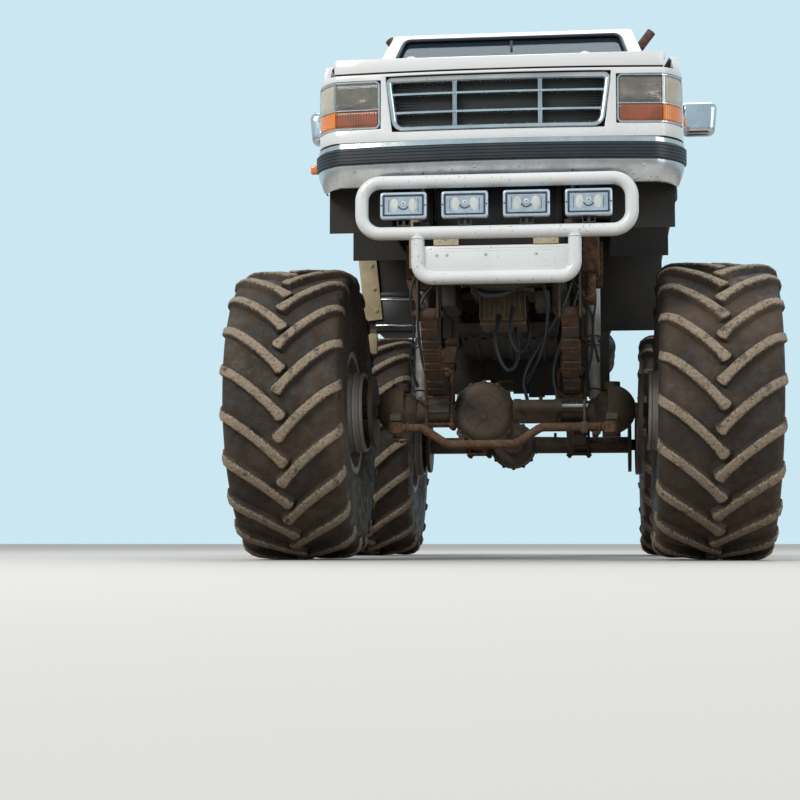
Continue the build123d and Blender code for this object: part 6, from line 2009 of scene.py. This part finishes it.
@asMesh
def buildSkid(bm):
    line = [(0, -1.6, 1.395), (0, -1.585, 1.345), (0, -1.54, 1.325), (0, -0.98, 1.245), (0, -0.95, 1.262)]
    sweep(bm, line, [(-0.004, -0.285), (-0.004, 0.285), (0.004, 0.285), (0.004, -0.285)], (1, 0, 0))
    for x in (-0.2, -0.1, 0.0, 0.1, 0.2):
        rib = [(x, -1.54, 1.318), (x, -0.99, 1.239)]
        sweep(bm, rib, [(-0.012, -0.01), (-0.012, 0.01), (0.004, 0.014), (0.004, -0.014)], (1, 0, 0))
    for x in (-0.26, -0.15, 0.15, 0.26):
        for y, z in ((-1.5, 1.315), (-1.02, 1.245)):
            addBolt(bm, (x, y, z), (0, 0.14, -1), 0.013, 0.01)


@asMesh
def buildCrossTubes(bm):
    softBlock(bm, (-0.358, -1.275, 1.505), (0.358, -1.165, 1.655), 0.01, 3)
    addRod(bm, (-0.355, -1.6, 1.565), (0.355, -1.6, 1.565), 0.032, 24)
    for side in (-1, 1):
        front = [(side * 0.345, -1.6, 1.565), (side * 0.285, -1.55, 1.39), (side * 0.275, -1.5, 1.33)]
        addTube(bm, front, 0.016, 14)
        addTube(bm, [(side * 0.345, -0.6, 1.6), (side * 0.3, -0.85, 1.4), (side * 0.275, -1.0, 1.26)], 0.016, 14)
        addRod(bm, (side * 0.225, -1.42, 1.53), (side * 0.225, -1.2, 1.53), 0.052, 28)
        sideBlock(bm, side, (0.265, -2.06, 1.43), (0.352, -1.66, 1.6), 0.016, 3)
        sideBlock(bm, side, (0.265, -1.52, 1.66), (0.352, -1.36, 1.86), 0.016, 3)
    softBlock(bm, (0.18, -2.2, 1.4), (0.262, -1.95, 1.5), 0.012, 3)


@asMesh
def buildRailRivets(bm):
    for side in (-1, 1):
        for step in range(21):
            y = -2.66 + step * 0.25
            for z in (1.645, 1.755):
                addBolt(bm, (side * 0.442, y, z), (side, 0, 0), 0.01, 0.007, 6, False)
        for y in (-2.567, -1.167, 0.833, 2.233):
            addBolt(bm, (side * 0.442, y - 0.03, 1.7), (side, 0, 0), 0.015, 0.011)
            addBolt(bm, (side * 0.442, y + 0.03, 1.7), (side, 0, 0), 0.015, 0.011)


@asMesh
def buildBoxStraps(bm):
    for z in (1.47, 1.636):
        softBlock(bm, (-0.872, -0.942, z - 0.006), (-0.586, -0.533, z + 0.006), 0.002)


@asMesh
def buildBoxLid(bm):
    softBlock(bm, (-0.874, -0.943, 1.655), (-0.584, -0.531, 1.681), 0.005)
    for y in (-0.85, -0.62):
        softBlock(bm, (-0.88, y - 0.02, 1.62), (-0.866, y + 0.02, 1.672), 0.003)


makePiece("shadeCurtain", buildShadeCurtain(), "linerBlack")
makePiece("skidPlate", buildSkid(), "frameBlack")
makePiece("crossTubes", buildCrossTubes(), "castMetal")
makePiece("railRivets", buildRailRivets(), "frameBlack")
makePiece("sideBoxStraps", buildBoxStraps(), "chrome")
makePiece("sideBoxLid", buildBoxLid(), "boxBlack")
print("shields and frame trim built")


# Cab inside: stuffed bench on a plain base, lining, mat, door cards, dials and wheel grip
benchShape = {"half": 0.626, "voxel": 0.012, "pressure": 4.0, "cap": 0.02, "lastFrame": 20, "channelGap": 0.105,
              "channelDepth": 0.01, "channelWidth": 0.014, "fill": 0.6}


def bakeModifiers(pad):
    seen = pad.evaluated_get(bpy.context.evaluated_depsgraph_get())
    mesh = bpy.data.meshes.new_from_object(seen)
    pad.modifiers.clear()
    pad.data = mesh


def inflate(pad, shape):
    cloth = pad.modifiers.new("cloth", "CLOTH")
    cloth.settings.use_pressure = True
    cloth.settings.uniform_pressure_force = shape["pressure"]
    cloth.settings.effector_weights.gravity = 0
    cloth.point_cache.frame_end = shape["lastFrame"]
    for step in range(1, shape["lastFrame"] + 1):
        scene.frame_set(step)
    bakeModifiers(pad)
    scene.frame_set(1)


def sewChannels(pad, shape, start, facing, restZ):  # caps what moved too far and keeps the pad on what it rests on
    limit = shape["half"] - 0.075
    normals = [vert.normal.copy() for vert in pad.data.vertices]
    for vert, before, normal in zip(pad.data.vertices, start, normals):
        moved = vert.co - before
        if moved.length > shape["cap"]:
            vert.co = before + moved.normalized() * shape["cap"]
        if normal.dot(facing) > 0.5 and abs(vert.co.x) < limit:
            away = abs((vert.co.x / shape["channelGap"] + 0.5) % 1.0 - 0.5) * shape["channelGap"]
            vert.co -= normal * shape["channelDepth"] * math.exp(-((away / shape["channelWidth"]) ** 2))
        vert.co.z = max(vert.co.z, restZ)


def stuffed(name, bm, shape, facing, restZ):  # facing is the side that carries the sewn channels
    bmesh.ops.recalc_face_normals(bm, faces=bm.faces)
    mesh = bpy.data.meshes.new(name)
    bm.to_mesh(mesh)
    bm.free()
    pad = bpy.data.objects.new(name, mesh)
    scene.collection.objects.link(pad)
    remesh = pad.modifiers.new("remesh", "REMESH")
    remesh.mode = "VOXEL"
    remesh.voxel_size = shape["voxel"]
    bakeModifiers(pad)
    start = [vert.co.copy() for vert in pad.data.vertices]
    inflate(pad, shape)
    sewChannels(pad, shape, start, facing, restZ)
    pad.data.polygons.foreach_set("use_smooth", [True] * len(pad.data.polygons))
    pad.data.materials.clear()
    pad.data.materials.append(finishes["seatCloth"])
    finer = pad.modifiers.new("finer", "SUBSURF")
    finer.levels = finer.render_levels = 1
    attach(pad, "truck")
    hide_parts("bench_seat")
    return pad


@asMesh
def cushionForm(bm, shape):
    softBlock(bm, (-shape["half"], -0.772, 2.276), (shape["half"], -0.345, 2.428), 0.036, 4)


@asMesh
def backForm(bm, shape):
    outline = [(-0.352, 2.38), (-0.238, 2.38), (-0.124, 2.856), (-0.204, 2.856)]
    rings = [[(x, y, z) for y, z in outline] for x in (-shape["half"], shape["half"])]
    ringLoft(bm, rings)
    bevelled(bm, bm.edges[:], 0.03, 4)


def buildPiping(pad, loop, thick):  # a sewn cord laid on the stuffed surface
    source = bmesh.new()
    source.from_mesh(pad.data)
    tree = BVHTree.FromBMesh(source)
    source.free()
    bm = bmesh.new()
    spots = denseLoop([Vector(point) for point in loop], 0.02)
    addTube(bm, [tree.find_nearest(spot)[0] for spot in spots], thick, 8, True)
    return bm


benchCushion = stuffed("benchCushion", cushionForm(benchShape), benchShape, Vector((0, 0, 1)), 2.258)
benchBack = stuffed("benchBack", backForm(benchShape), benchShape, Vector((0, -0.97, 0.24)), 2.35)
half = benchShape["half"]
cushionSeam = [(-half, -0.775, 2.425), (half, -0.775, 2.425), (half, -0.34, 2.425), (-half, -0.34, 2.425)]
backSeam = [(-half, -0.35, 2.385), (half, -0.35, 2.385), (half, -0.205, 2.86), (-half, -0.205, 2.86)]
makePiece("cushionPiping", buildPiping(benchCushion, cushionSeam, 0.0045), "dashPlastic", angle=60)
makePiece("backPiping", buildPiping(benchBack, backSeam, 0.0045), "dashPlastic", angle=60)


@asMesh
def buildCabInside(bm):
    softBlock(bm, (-0.56, -0.745, 2.1156), (0.56, -0.349, 2.27), 0.01, 3)
    softBlock(bm, (-0.84, -1.26, 2.1156), (0.84, -0.05, 2.124), 0.003)
    softBlock(bm, (-0.8, -0.052, 2.15), (0.8, -0.042, 2.862), 0.003)
    for x in (0.28, 0.4, 0.52):
        softBlock(bm, (x - 0.028, -1.235, 2.19), (x + 0.028, -1.22, 2.265), 0.004)
        addRod(bm, (x, -1.232, 2.24), (x, -1.305, 2.4), 0.008, 10)
    softBlock(bm, (-0.105, -0.93, 2.38), (-0.055, -0.88, 2.43), 0.02, 4)
    addHose(bm, [(-0.08, -1.0, 2.12), (-0.08, -0.98, 2.26), (-0.08, -0.91, 2.4)], 0.009)
    softBlock(bm, (-0.115, -0.985, 3.165), (0.115, -0.965, 3.225), 0.009, 3)
    addRod(bm, (0, -0.975, 3.21), (0, -1.0, 3.27), 0.008, 12)


@asMesh
def buildRoofLining(bm):
    softBlock(bm, (-0.57, -0.8, 3.342), (0.57, -0.07, 3.352), 0.003)
    for x in (-0.33, 0.33):
        softBlock(bm, (x - 0.2, -0.93, 3.262), (x + 0.2, -0.8, 3.276), 0.006, 3)


@asMesh
def buildDashDetail(bm):
    softBlock(bm, (0.21, -1.235, 2.7), (0.57, -1.105, 2.792), 0.022, 4)
    softBlock(bm, (-0.7, -1.104, 2.535), (-0.34, -1.083, 2.65), 0.008, 3)
    softBlock(bm, (-0.115, -1.106, 2.56), (0.115, -1.084, 2.64), 0.006, 3)
    for x in (-0.09, 0.09):
        addRod(bm, (x, -1.086, 2.6), (x, -1.066, 2.602), 0.014, 20)
    for x in (-0.72, -0.16, 0.16, 0.72):
        softBlock(bm, (x - 0.055, -1.125, 2.664), (x + 0.055, -1.082, 2.712), 0.006)
        for level in range(4):
            z = 2.672 + level * 0.01
            softBlock(bm, (x - 0.048, -1.086, z), (x + 0.048, -1.077, z + 0.004), 0.001, 1)


@asMesh
def buildWheelGrip(bm):
    centre, axis = Vector((0.39, -0.962, 2.805)), Vector((0, 0.86, 0.52)).normalized()
    ringAround(bm, centre, axis, 0.185, 0.0165, 72)
    softRod(bm, centre + axis * 0.012, centre + axis * 0.036, 0.062, 36, 0.006, 3, 0.05)
    for angle in (-90, 30, 150):
        a = math.radians(angle)
        side = axis.orthogonal().normalized()
        spoke = side * math.cos(a) + axis.cross(side) * math.sin(a)
        addTube(bm, [centre + axis * 0.01 + spoke * 0.03, centre + spoke * 0.11 + axis * 0.006,
                     centre + spoke * 0.178], 0.01, 10)
    addRod(bm, (0.33, -1.04, 2.76), (0.24, -1.02, 2.8), 0.006, 10)


dialShape = {"z": 2.745, "dials": ((0.31, 0.044), (0.415, 0.044), (0.5, 0.028))}  # place and radius of each


@asMesh
def buildDials(bm, shape):
    for x, radius in shape["dials"]:
        addRod(bm, (x, -1.108, shape["z"]), (x, -1.1025, shape["z"]), radius, 36)


@asMesh
def buildDialRings(bm, shape):  # with the needles
    z = shape["z"]
    for x, radius in shape["dials"]:
        ringAround(bm, (x, -1.103, z), (0, 1, 0), radius, 0.0025, 36)
        addRod(bm, (x, -1.1022, z), (x + radius * 0.5, -1.1015, z + radius * 0.55), 0.0013, 6)


@asMesh
def buildDoorCard(bm, side):
    sideBlock(bm, side, (0.898, -1.12, 2.17), (0.912, -0.315, 2.8), 0.005, 3)
    sideBlock(bm, side, (0.85, -0.86, 2.485), (0.903, -0.44, 2.53), 0.014, 3)
    sideBlock(bm, side, (0.884, -1.05, 2.2), (0.903, -0.5, 2.36), 0.008, 3)
    addRod(bm, (side * 0.9, -0.98, 2.56), (side * 0.868, -0.98, 2.56), 0.012, 16)
    addRod(bm, (side * 0.872, -0.98, 2.56), (side * 0.872, -0.9, 2.62), 0.007, 12)
    addRod(bm, (side * 0.885, -0.9, 2.62), (side * 0.85, -0.9, 2.62), 0.011, 16)


makeFinish("mouldedVinyl", (0.1, 0.095, 0.09), 0.6, 0.0, [
    mottle((0.14, 0.13, 0.12), 0.6, 5.0, 0.7)], (600.0, 0.0007, 0.7))
makeFinish("dialFace", (0.016, 0.016, 0.018), 0.3, 0.0, [
    mottle((0.05, 0.05, 0.055), 0.5, 30.0, 0.4)], Coat_Weight=0.6)
makePiece("cabInside", buildCabInside(), "mouldedVinyl")
makePiece("roofLining", buildRoofLining(), "seatCloth")
makePiece("dashDetail", buildDashDetail(), "dashPlastic")
makePiece("wheelGrip", buildWheelGrip(), "dashPlastic", angle=50)
makePiece("dials", buildDials(dialShape), "dialFace")
makePiece("dialRings", buildDialRings(dialShape), "chrome")
for side, word in ((1, "Left"), (-1, "Right")):
    makePiece("doorCard" + word, buildDoorCard(side), "mouldedVinyl", "door_" + word.lower())
print("cab inside built")


# Bed and tail: floor ribs, rail caps, fuel door, gate handle, lamps, step pads, blank plate, tow pin
tailShape = {"lampNear": 0.859, "lampFar": 0.969, "lampLow": 2.417, "lampSplit": 2.508, "lampHigh": 2.753,
             "lampFace": 2.5483}
makeFinish("redLens", (0.46, 0.018, 0.014), 0.15, 0.0, [
    mottle((0.26, 0.01, 0.008), 0.8, 10.0, 0.25),
    dust((0.34, 0.2, 0.15), 0.35, 9.0, 3.6, 1.6, 0.1, 0.6)], Coat_Weight=0.7)
makeFinish("liningBlack", (0.02, 0.02, 0.021), 0.55, 0.0, [
    dust((0.2, 0.17, 0.13), 0.5, 4.0, 3.4, 1.6, 0.5, 0.85)],
    (300.0, 0.001, 0.6))


@asMesh
def buildBedRibs(bm):
    for step in range(14):
        x = -0.78 + step * 0.12
        spans = [(0.135, 2.455)] if abs(x) < 0.6 else [(0.24, 1.03), (2.04, 2.455)]
        for start, end in spans:
            softBlock(bm, (x - 0.03, start, 2.292), (x + 0.03, end, 2.3035), 0.005)


@asMesh
def buildRailCaps(bm):
    for side in (-1, 1):
        sideBlock(bm, side, (0.848, 0.08, 2.82), (0.927, 2.53, 2.833), 0.004)
    softBlock(bm, (-0.85, 0.076, 2.82), (0.85, 0.128, 2.833), 0.004)


@asMesh
def buildFuelDoor(bm):
    path = roundedPath([(0, 0.5, 2.545), (0, 0.68, 2.545), (0, 0.68, 2.705), (0, 0.5, 2.705)], 0.022, True, 6)
    rings = [[(sideX(p.z) + out, 0.59 + (p.y - 0.59) * grow, 2.625 + (p.z - 2.625) * grow) for p in path]
             for out, grow in ((-0.004, 1.0), (0.003, 1.0), (0.005, 0.96))]
    ringLoft(bm, rings)


@asMesh
def buildGateTrim(bm):
    softBlock(bm, (-0.105, 2.505, 2.66), (0.105, 2.523, 2.735), 0.008, 3)
    softBlock(bm, (-0.8, 2.527, 2.79), (0.8, 2.534, 2.812), 0.003)
    for x in (-0.7, 0.7):
        softBlock(bm, (x - 0.02, 2.47, 2.8), (x + 0.02, 2.525, 2.832), 0.006)


@asMesh
def buildGateHandle(bm):
    softBlock(bm, (-0.07, 2.519, 2.685), (0.07, 2.532, 2.705), 0.004, 3)


@asMesh
def buildTailFrames(bm, shape):
    for side in (-1, 1):
        sideBlock(bm, side, (shape["lampNear"] - 0.004, 2.5335, shape["lampLow"] - 0.004),
                  (shape["lampFar"] + 0.004, 2.54, shape["lampHigh"] + 0.004), 0.003)


@asMesh
def buildTailLenses(bm, shape, low, high):
    for side in (-1, 1):
        a, b = sideSpan(side, shape["lampNear"], shape["lampFar"])
        softBlock(bm, (a, 2.535, low), (b, shape["lampFace"] - 0.0012, high), 0.004, 3)
        count = int((high - low) / 0.012)
        for step in range(1, count):
            z = low + (high - low) * step / count
            softBlock(bm, (a + 0.006, 2.54, z - 0.003), (b - 0.006, shape["lampFace"], z + 0.003), 0.0012, 1)


@asMesh
def buildStepPads(bm):
    softBlock(bm, (-0.322, 2.6, 2.234), (0.322, 2.702, 2.241), 0.002)
    for step in range(9):
        y = 2.608 + step * 0.011
        softBlock(bm, (-0.312, y - 0.002, 2.239), (0.312, y + 0.002, 2.244), 0.001, 1)
    for side in (-1, 1):
        a, b = sideSpan(side, 0.42, 0.93)
        softBlock(bm, (a, 2.575, 2.262), (b, 2.69, 2.269), 0.002)
        for step in range(9):
            y = 2.585 + step * 0.012
            softBlock(bm, (a + 0.01, y - 0.002, 2.267), (b - 0.01, y + 0.002, 2.272), 0.001, 1)


@asMesh
def buildBlankPlate(bm):
    softBlock(bm, (-0.155, 2.704, 2.118), (0.155, 2.709, 2.222), 0.002)


@asMesh
def buildTailBolts(bm):
    for x in (-0.125, 0.125):
        addBolt(bm, (x, 2.709, 2.202), (0, 1, 0), 0.006, 0.004, 12)
    for x in (-0.8, -0.4, 0.4, 0.8):
        addBolt(bm, (x, 2.705, 2.185), (0, 1, 0), 0.011, 0.007, 16)
    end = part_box("chassis_frame")[1][1] - 0.042
    addRod(bm, (0, end, 1.64), (0, end, 1.765), 0.0155, 20)
    ringAround(bm, (0, end, 1.785), (0, 1, 0), 0.024, 0.005, 28)
    addRod(bm, (0, end, 1.7185), (0, end, 1.726), 0.028, 24)


# the fins take the grille's near-black: painted shade
@asMesh
def buildCoreFins(bm):
    low, high = (corner[2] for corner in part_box("radiator"))
    for step in range(int((high - low - 0.03) / 0.014)):
        z = low + 0.02 + step * 0.014
        addBlock(bm, (-0.325, -2.4795, z - 0.0025), (0.325, -2.476, z + 0.0025))
    for x in (-0.345, 0.305):
        softBlock(bm, (x, -2.484, low + 0.004), (x + 0.04, -2.38, high - 0.004), 0.006)


makePiece("bedRibs", buildBedRibs(), "bodyPaint")
makePiece("railCaps", buildRailCaps(), "liningBlack")
makePiece("fuelDoor", buildFuelDoor(), "bodyPaint")
makePiece("gateTrim", buildGateTrim(), "liningBlack", "tailgate")
makePiece("gateHandle", buildGateHandle(), "chrome", "tailgate")
makePiece("tailLampFrames", buildTailFrames(tailShape), "chrome")
makePiece("tailLensesRed", buildTailLenses(tailShape, tailShape["lampSplit"], tailShape["lampHigh"]), "redLens",
          angle=40, stands=["tail_lamps"])
makePiece("tailLensesClear", buildTailLenses(tailShape, tailShape["lampLow"], tailShape["lampSplit"] - 0.004),
          "cornerGlass")
makePiece("stepPads", buildStepPads(), "stripRubber")
makePiece("blankPlate", buildBlankPlate(), "tubePaint")
makePiece("tailBolts", buildTailBolts(), "chrome")
makePiece("radiatorFins", buildCoreFins(), "grilleShadeBlack")
roundedCopies = {  # node: name of the piece, finish, slot, rounding
    "rear_bumper": ("rearBumperSkin", "chrome", "chrome", 0.004),
                 "engine": ("engineBlock", "castMetal", "cast_metal", 0.006),
    "gearbox": ("gearboxCase", "castMetal", "cast_metal", 0.006),
                 "side_box": ("sideBoxCase", "boxBlack", "box_black", 0.006),
    "chassis_frame": ("frameRails", "frameBlack", "frame_black", 0.003),
}
for nodeName, (pieceName, finish, slotName, width) in roundedCopies.items():
    makePiece(pieceName, skinCopy(nodeName, width), finish, angle=34, stands=[nodeName])
print("bed and tail built")


# Under the hood: rocker covers and manifold on the block, air cleaner, brake servo, hoses
bayShape = {"top": 2.2545, "cleaner": (0.0, -1.94), "cleanerRadius": 0.175, "servo": (0.42, -1.3885, 2.48),
            "servoRadius": 0.105}


@asMesh
def buildEngineTop(bm, shape):
    top = shape["top"]
    for side in (-1, 1):
        sideBlock(bm, side, (0.105, -2.22, top - 0.002), (0.235, -1.62, top + 0.062), 0.018, 4)
        for y in (-2.14, -1.92, -1.7):
            addBolt(bm, (side * 0.17, y, top + 0.062), (0, 0, 1), 0.011, 0.01)
        for y in (-2.13, -2.0, -1.87, -1.74):
            inlet = (side * 0.02, -1.94 + (y + 1.94) * 0.5, top + 0.06)
            addHose(bm, [(side * 0.125, y, top - 0.002), (side * 0.085, y, top + 0.055), inlet], 0.021, 14)
    softBlock(bm, (-0.055, -2.06, top - 0.002), (0.055, -1.82, top + 0.08), 0.012, 3)


@asMesh
def buildAirCleaner(bm, shape):
    x, y = shape["cleaner"]
    low, radius = shape["top"] + 0.078, shape["cleanerRadius"]
    addRod(bm, (x, y, low), (x, y, low + 0.032), 0.052, 32)
    softRod(bm, (x, y, low + 0.03), (x, y, low + 0.098), radius, 72, 0.01, 3)
    softBlock(bm, (x + radius - 0.02, y - 0.2, low + 0.036), (x + radius + 0.055, y - 0.02, low + 0.092), 0.016, 3)


@asMesh
def buildCleanerLid(bm, shape):
    x, y = shape["cleaner"]
    low, radius = shape["top"] + 0.176, shape["cleanerRadius"]
    for height, width in ((0.0, 0.97), (0.006, 0.72)):
        softRod(bm, (x, y, low + height - 0.001), (x, y, low + height + 0.007), radius * width, 72, 0.003, 2)
    addRod(bm, (x, y, low + 0.01), (x, y, low + 0.03), 0.006, 12)
    softBlock(bm, (x - 0.024, y - 0.004, low + 0.022), (x + 0.024, y + 0.004, low + 0.034), 0.003)


@asMesh
def buildServo(bm, shape):
    x, y, z = shape["servo"]
    for near, far, radius, tip in ((0.0, 0.05, 1.0, 1.0), (0.05, 0.095, 0.94, 0.66), (0.095, 0.104, 0.4, 0.4)):
        addRod(bm, (x, y - near, z), (x, y - far, z), shape["servoRadius"] * radius, 48, shape["servoRadius"] * tip)
    addRod(bm, (x, y - 0.1, z), (x, y - 0.26, z), 0.026, 24)
    softBlock(bm, (x - 0.036, y - 0.25, z + 0.02), (x + 0.036, y - 0.12, z + 0.074), 0.012, 3)
    for near in (0.155, 0.215):
        addRod(bm, (x, y - near, z + 0.07), (x, y - near, z + 0.086), 0.022, 24)


@asMesh
def buildBayHoses(bm, shape):
    top = shape["top"]
    addHose(bm, [(-0.16, -2.388, 2.5), (-0.15, -2.33, 2.47), (-0.06, -2.24, 2.38), (0.0, -2.1, top + 0.05),
                 (0.0, -2.04, top + 0.04)], 0.024, 16)
    addHose(bm, [(0.42, -1.5, 2.4), (0.34, -1.62, 2.36), (0.2, -1.72, 2.36), (0.04, -1.84, top + 0.06)], 0.009)
    for x, reach in ((-0.3, -0.17), (-0.22, -0.16), (-0.14, 0.17)):
        line = [(x, -1.389, 2.42), (x, -1.48, 2.36), (reach, -1.56, 2.3), (reach, -1.66, top + 0.045)]
        addHose(bm, line, 0.007, 8)


makePiece("engineTop", buildEngineTop(bayShape), "castMetal", angle=40)
makePiece("airCleaner", buildAirCleaner(bayShape), "boxBlack", angle=40)
makePiece("airCleanerLid", buildCleanerLid(bayShape), "chrome", angle=40)
makePiece("brakeServo", buildServo(bayShape), "boxBlack", angle=40)
makePiece("bayHoses", buildBayHoses(bayShape), "stripRubber", angle=60)
print("engine bay built")
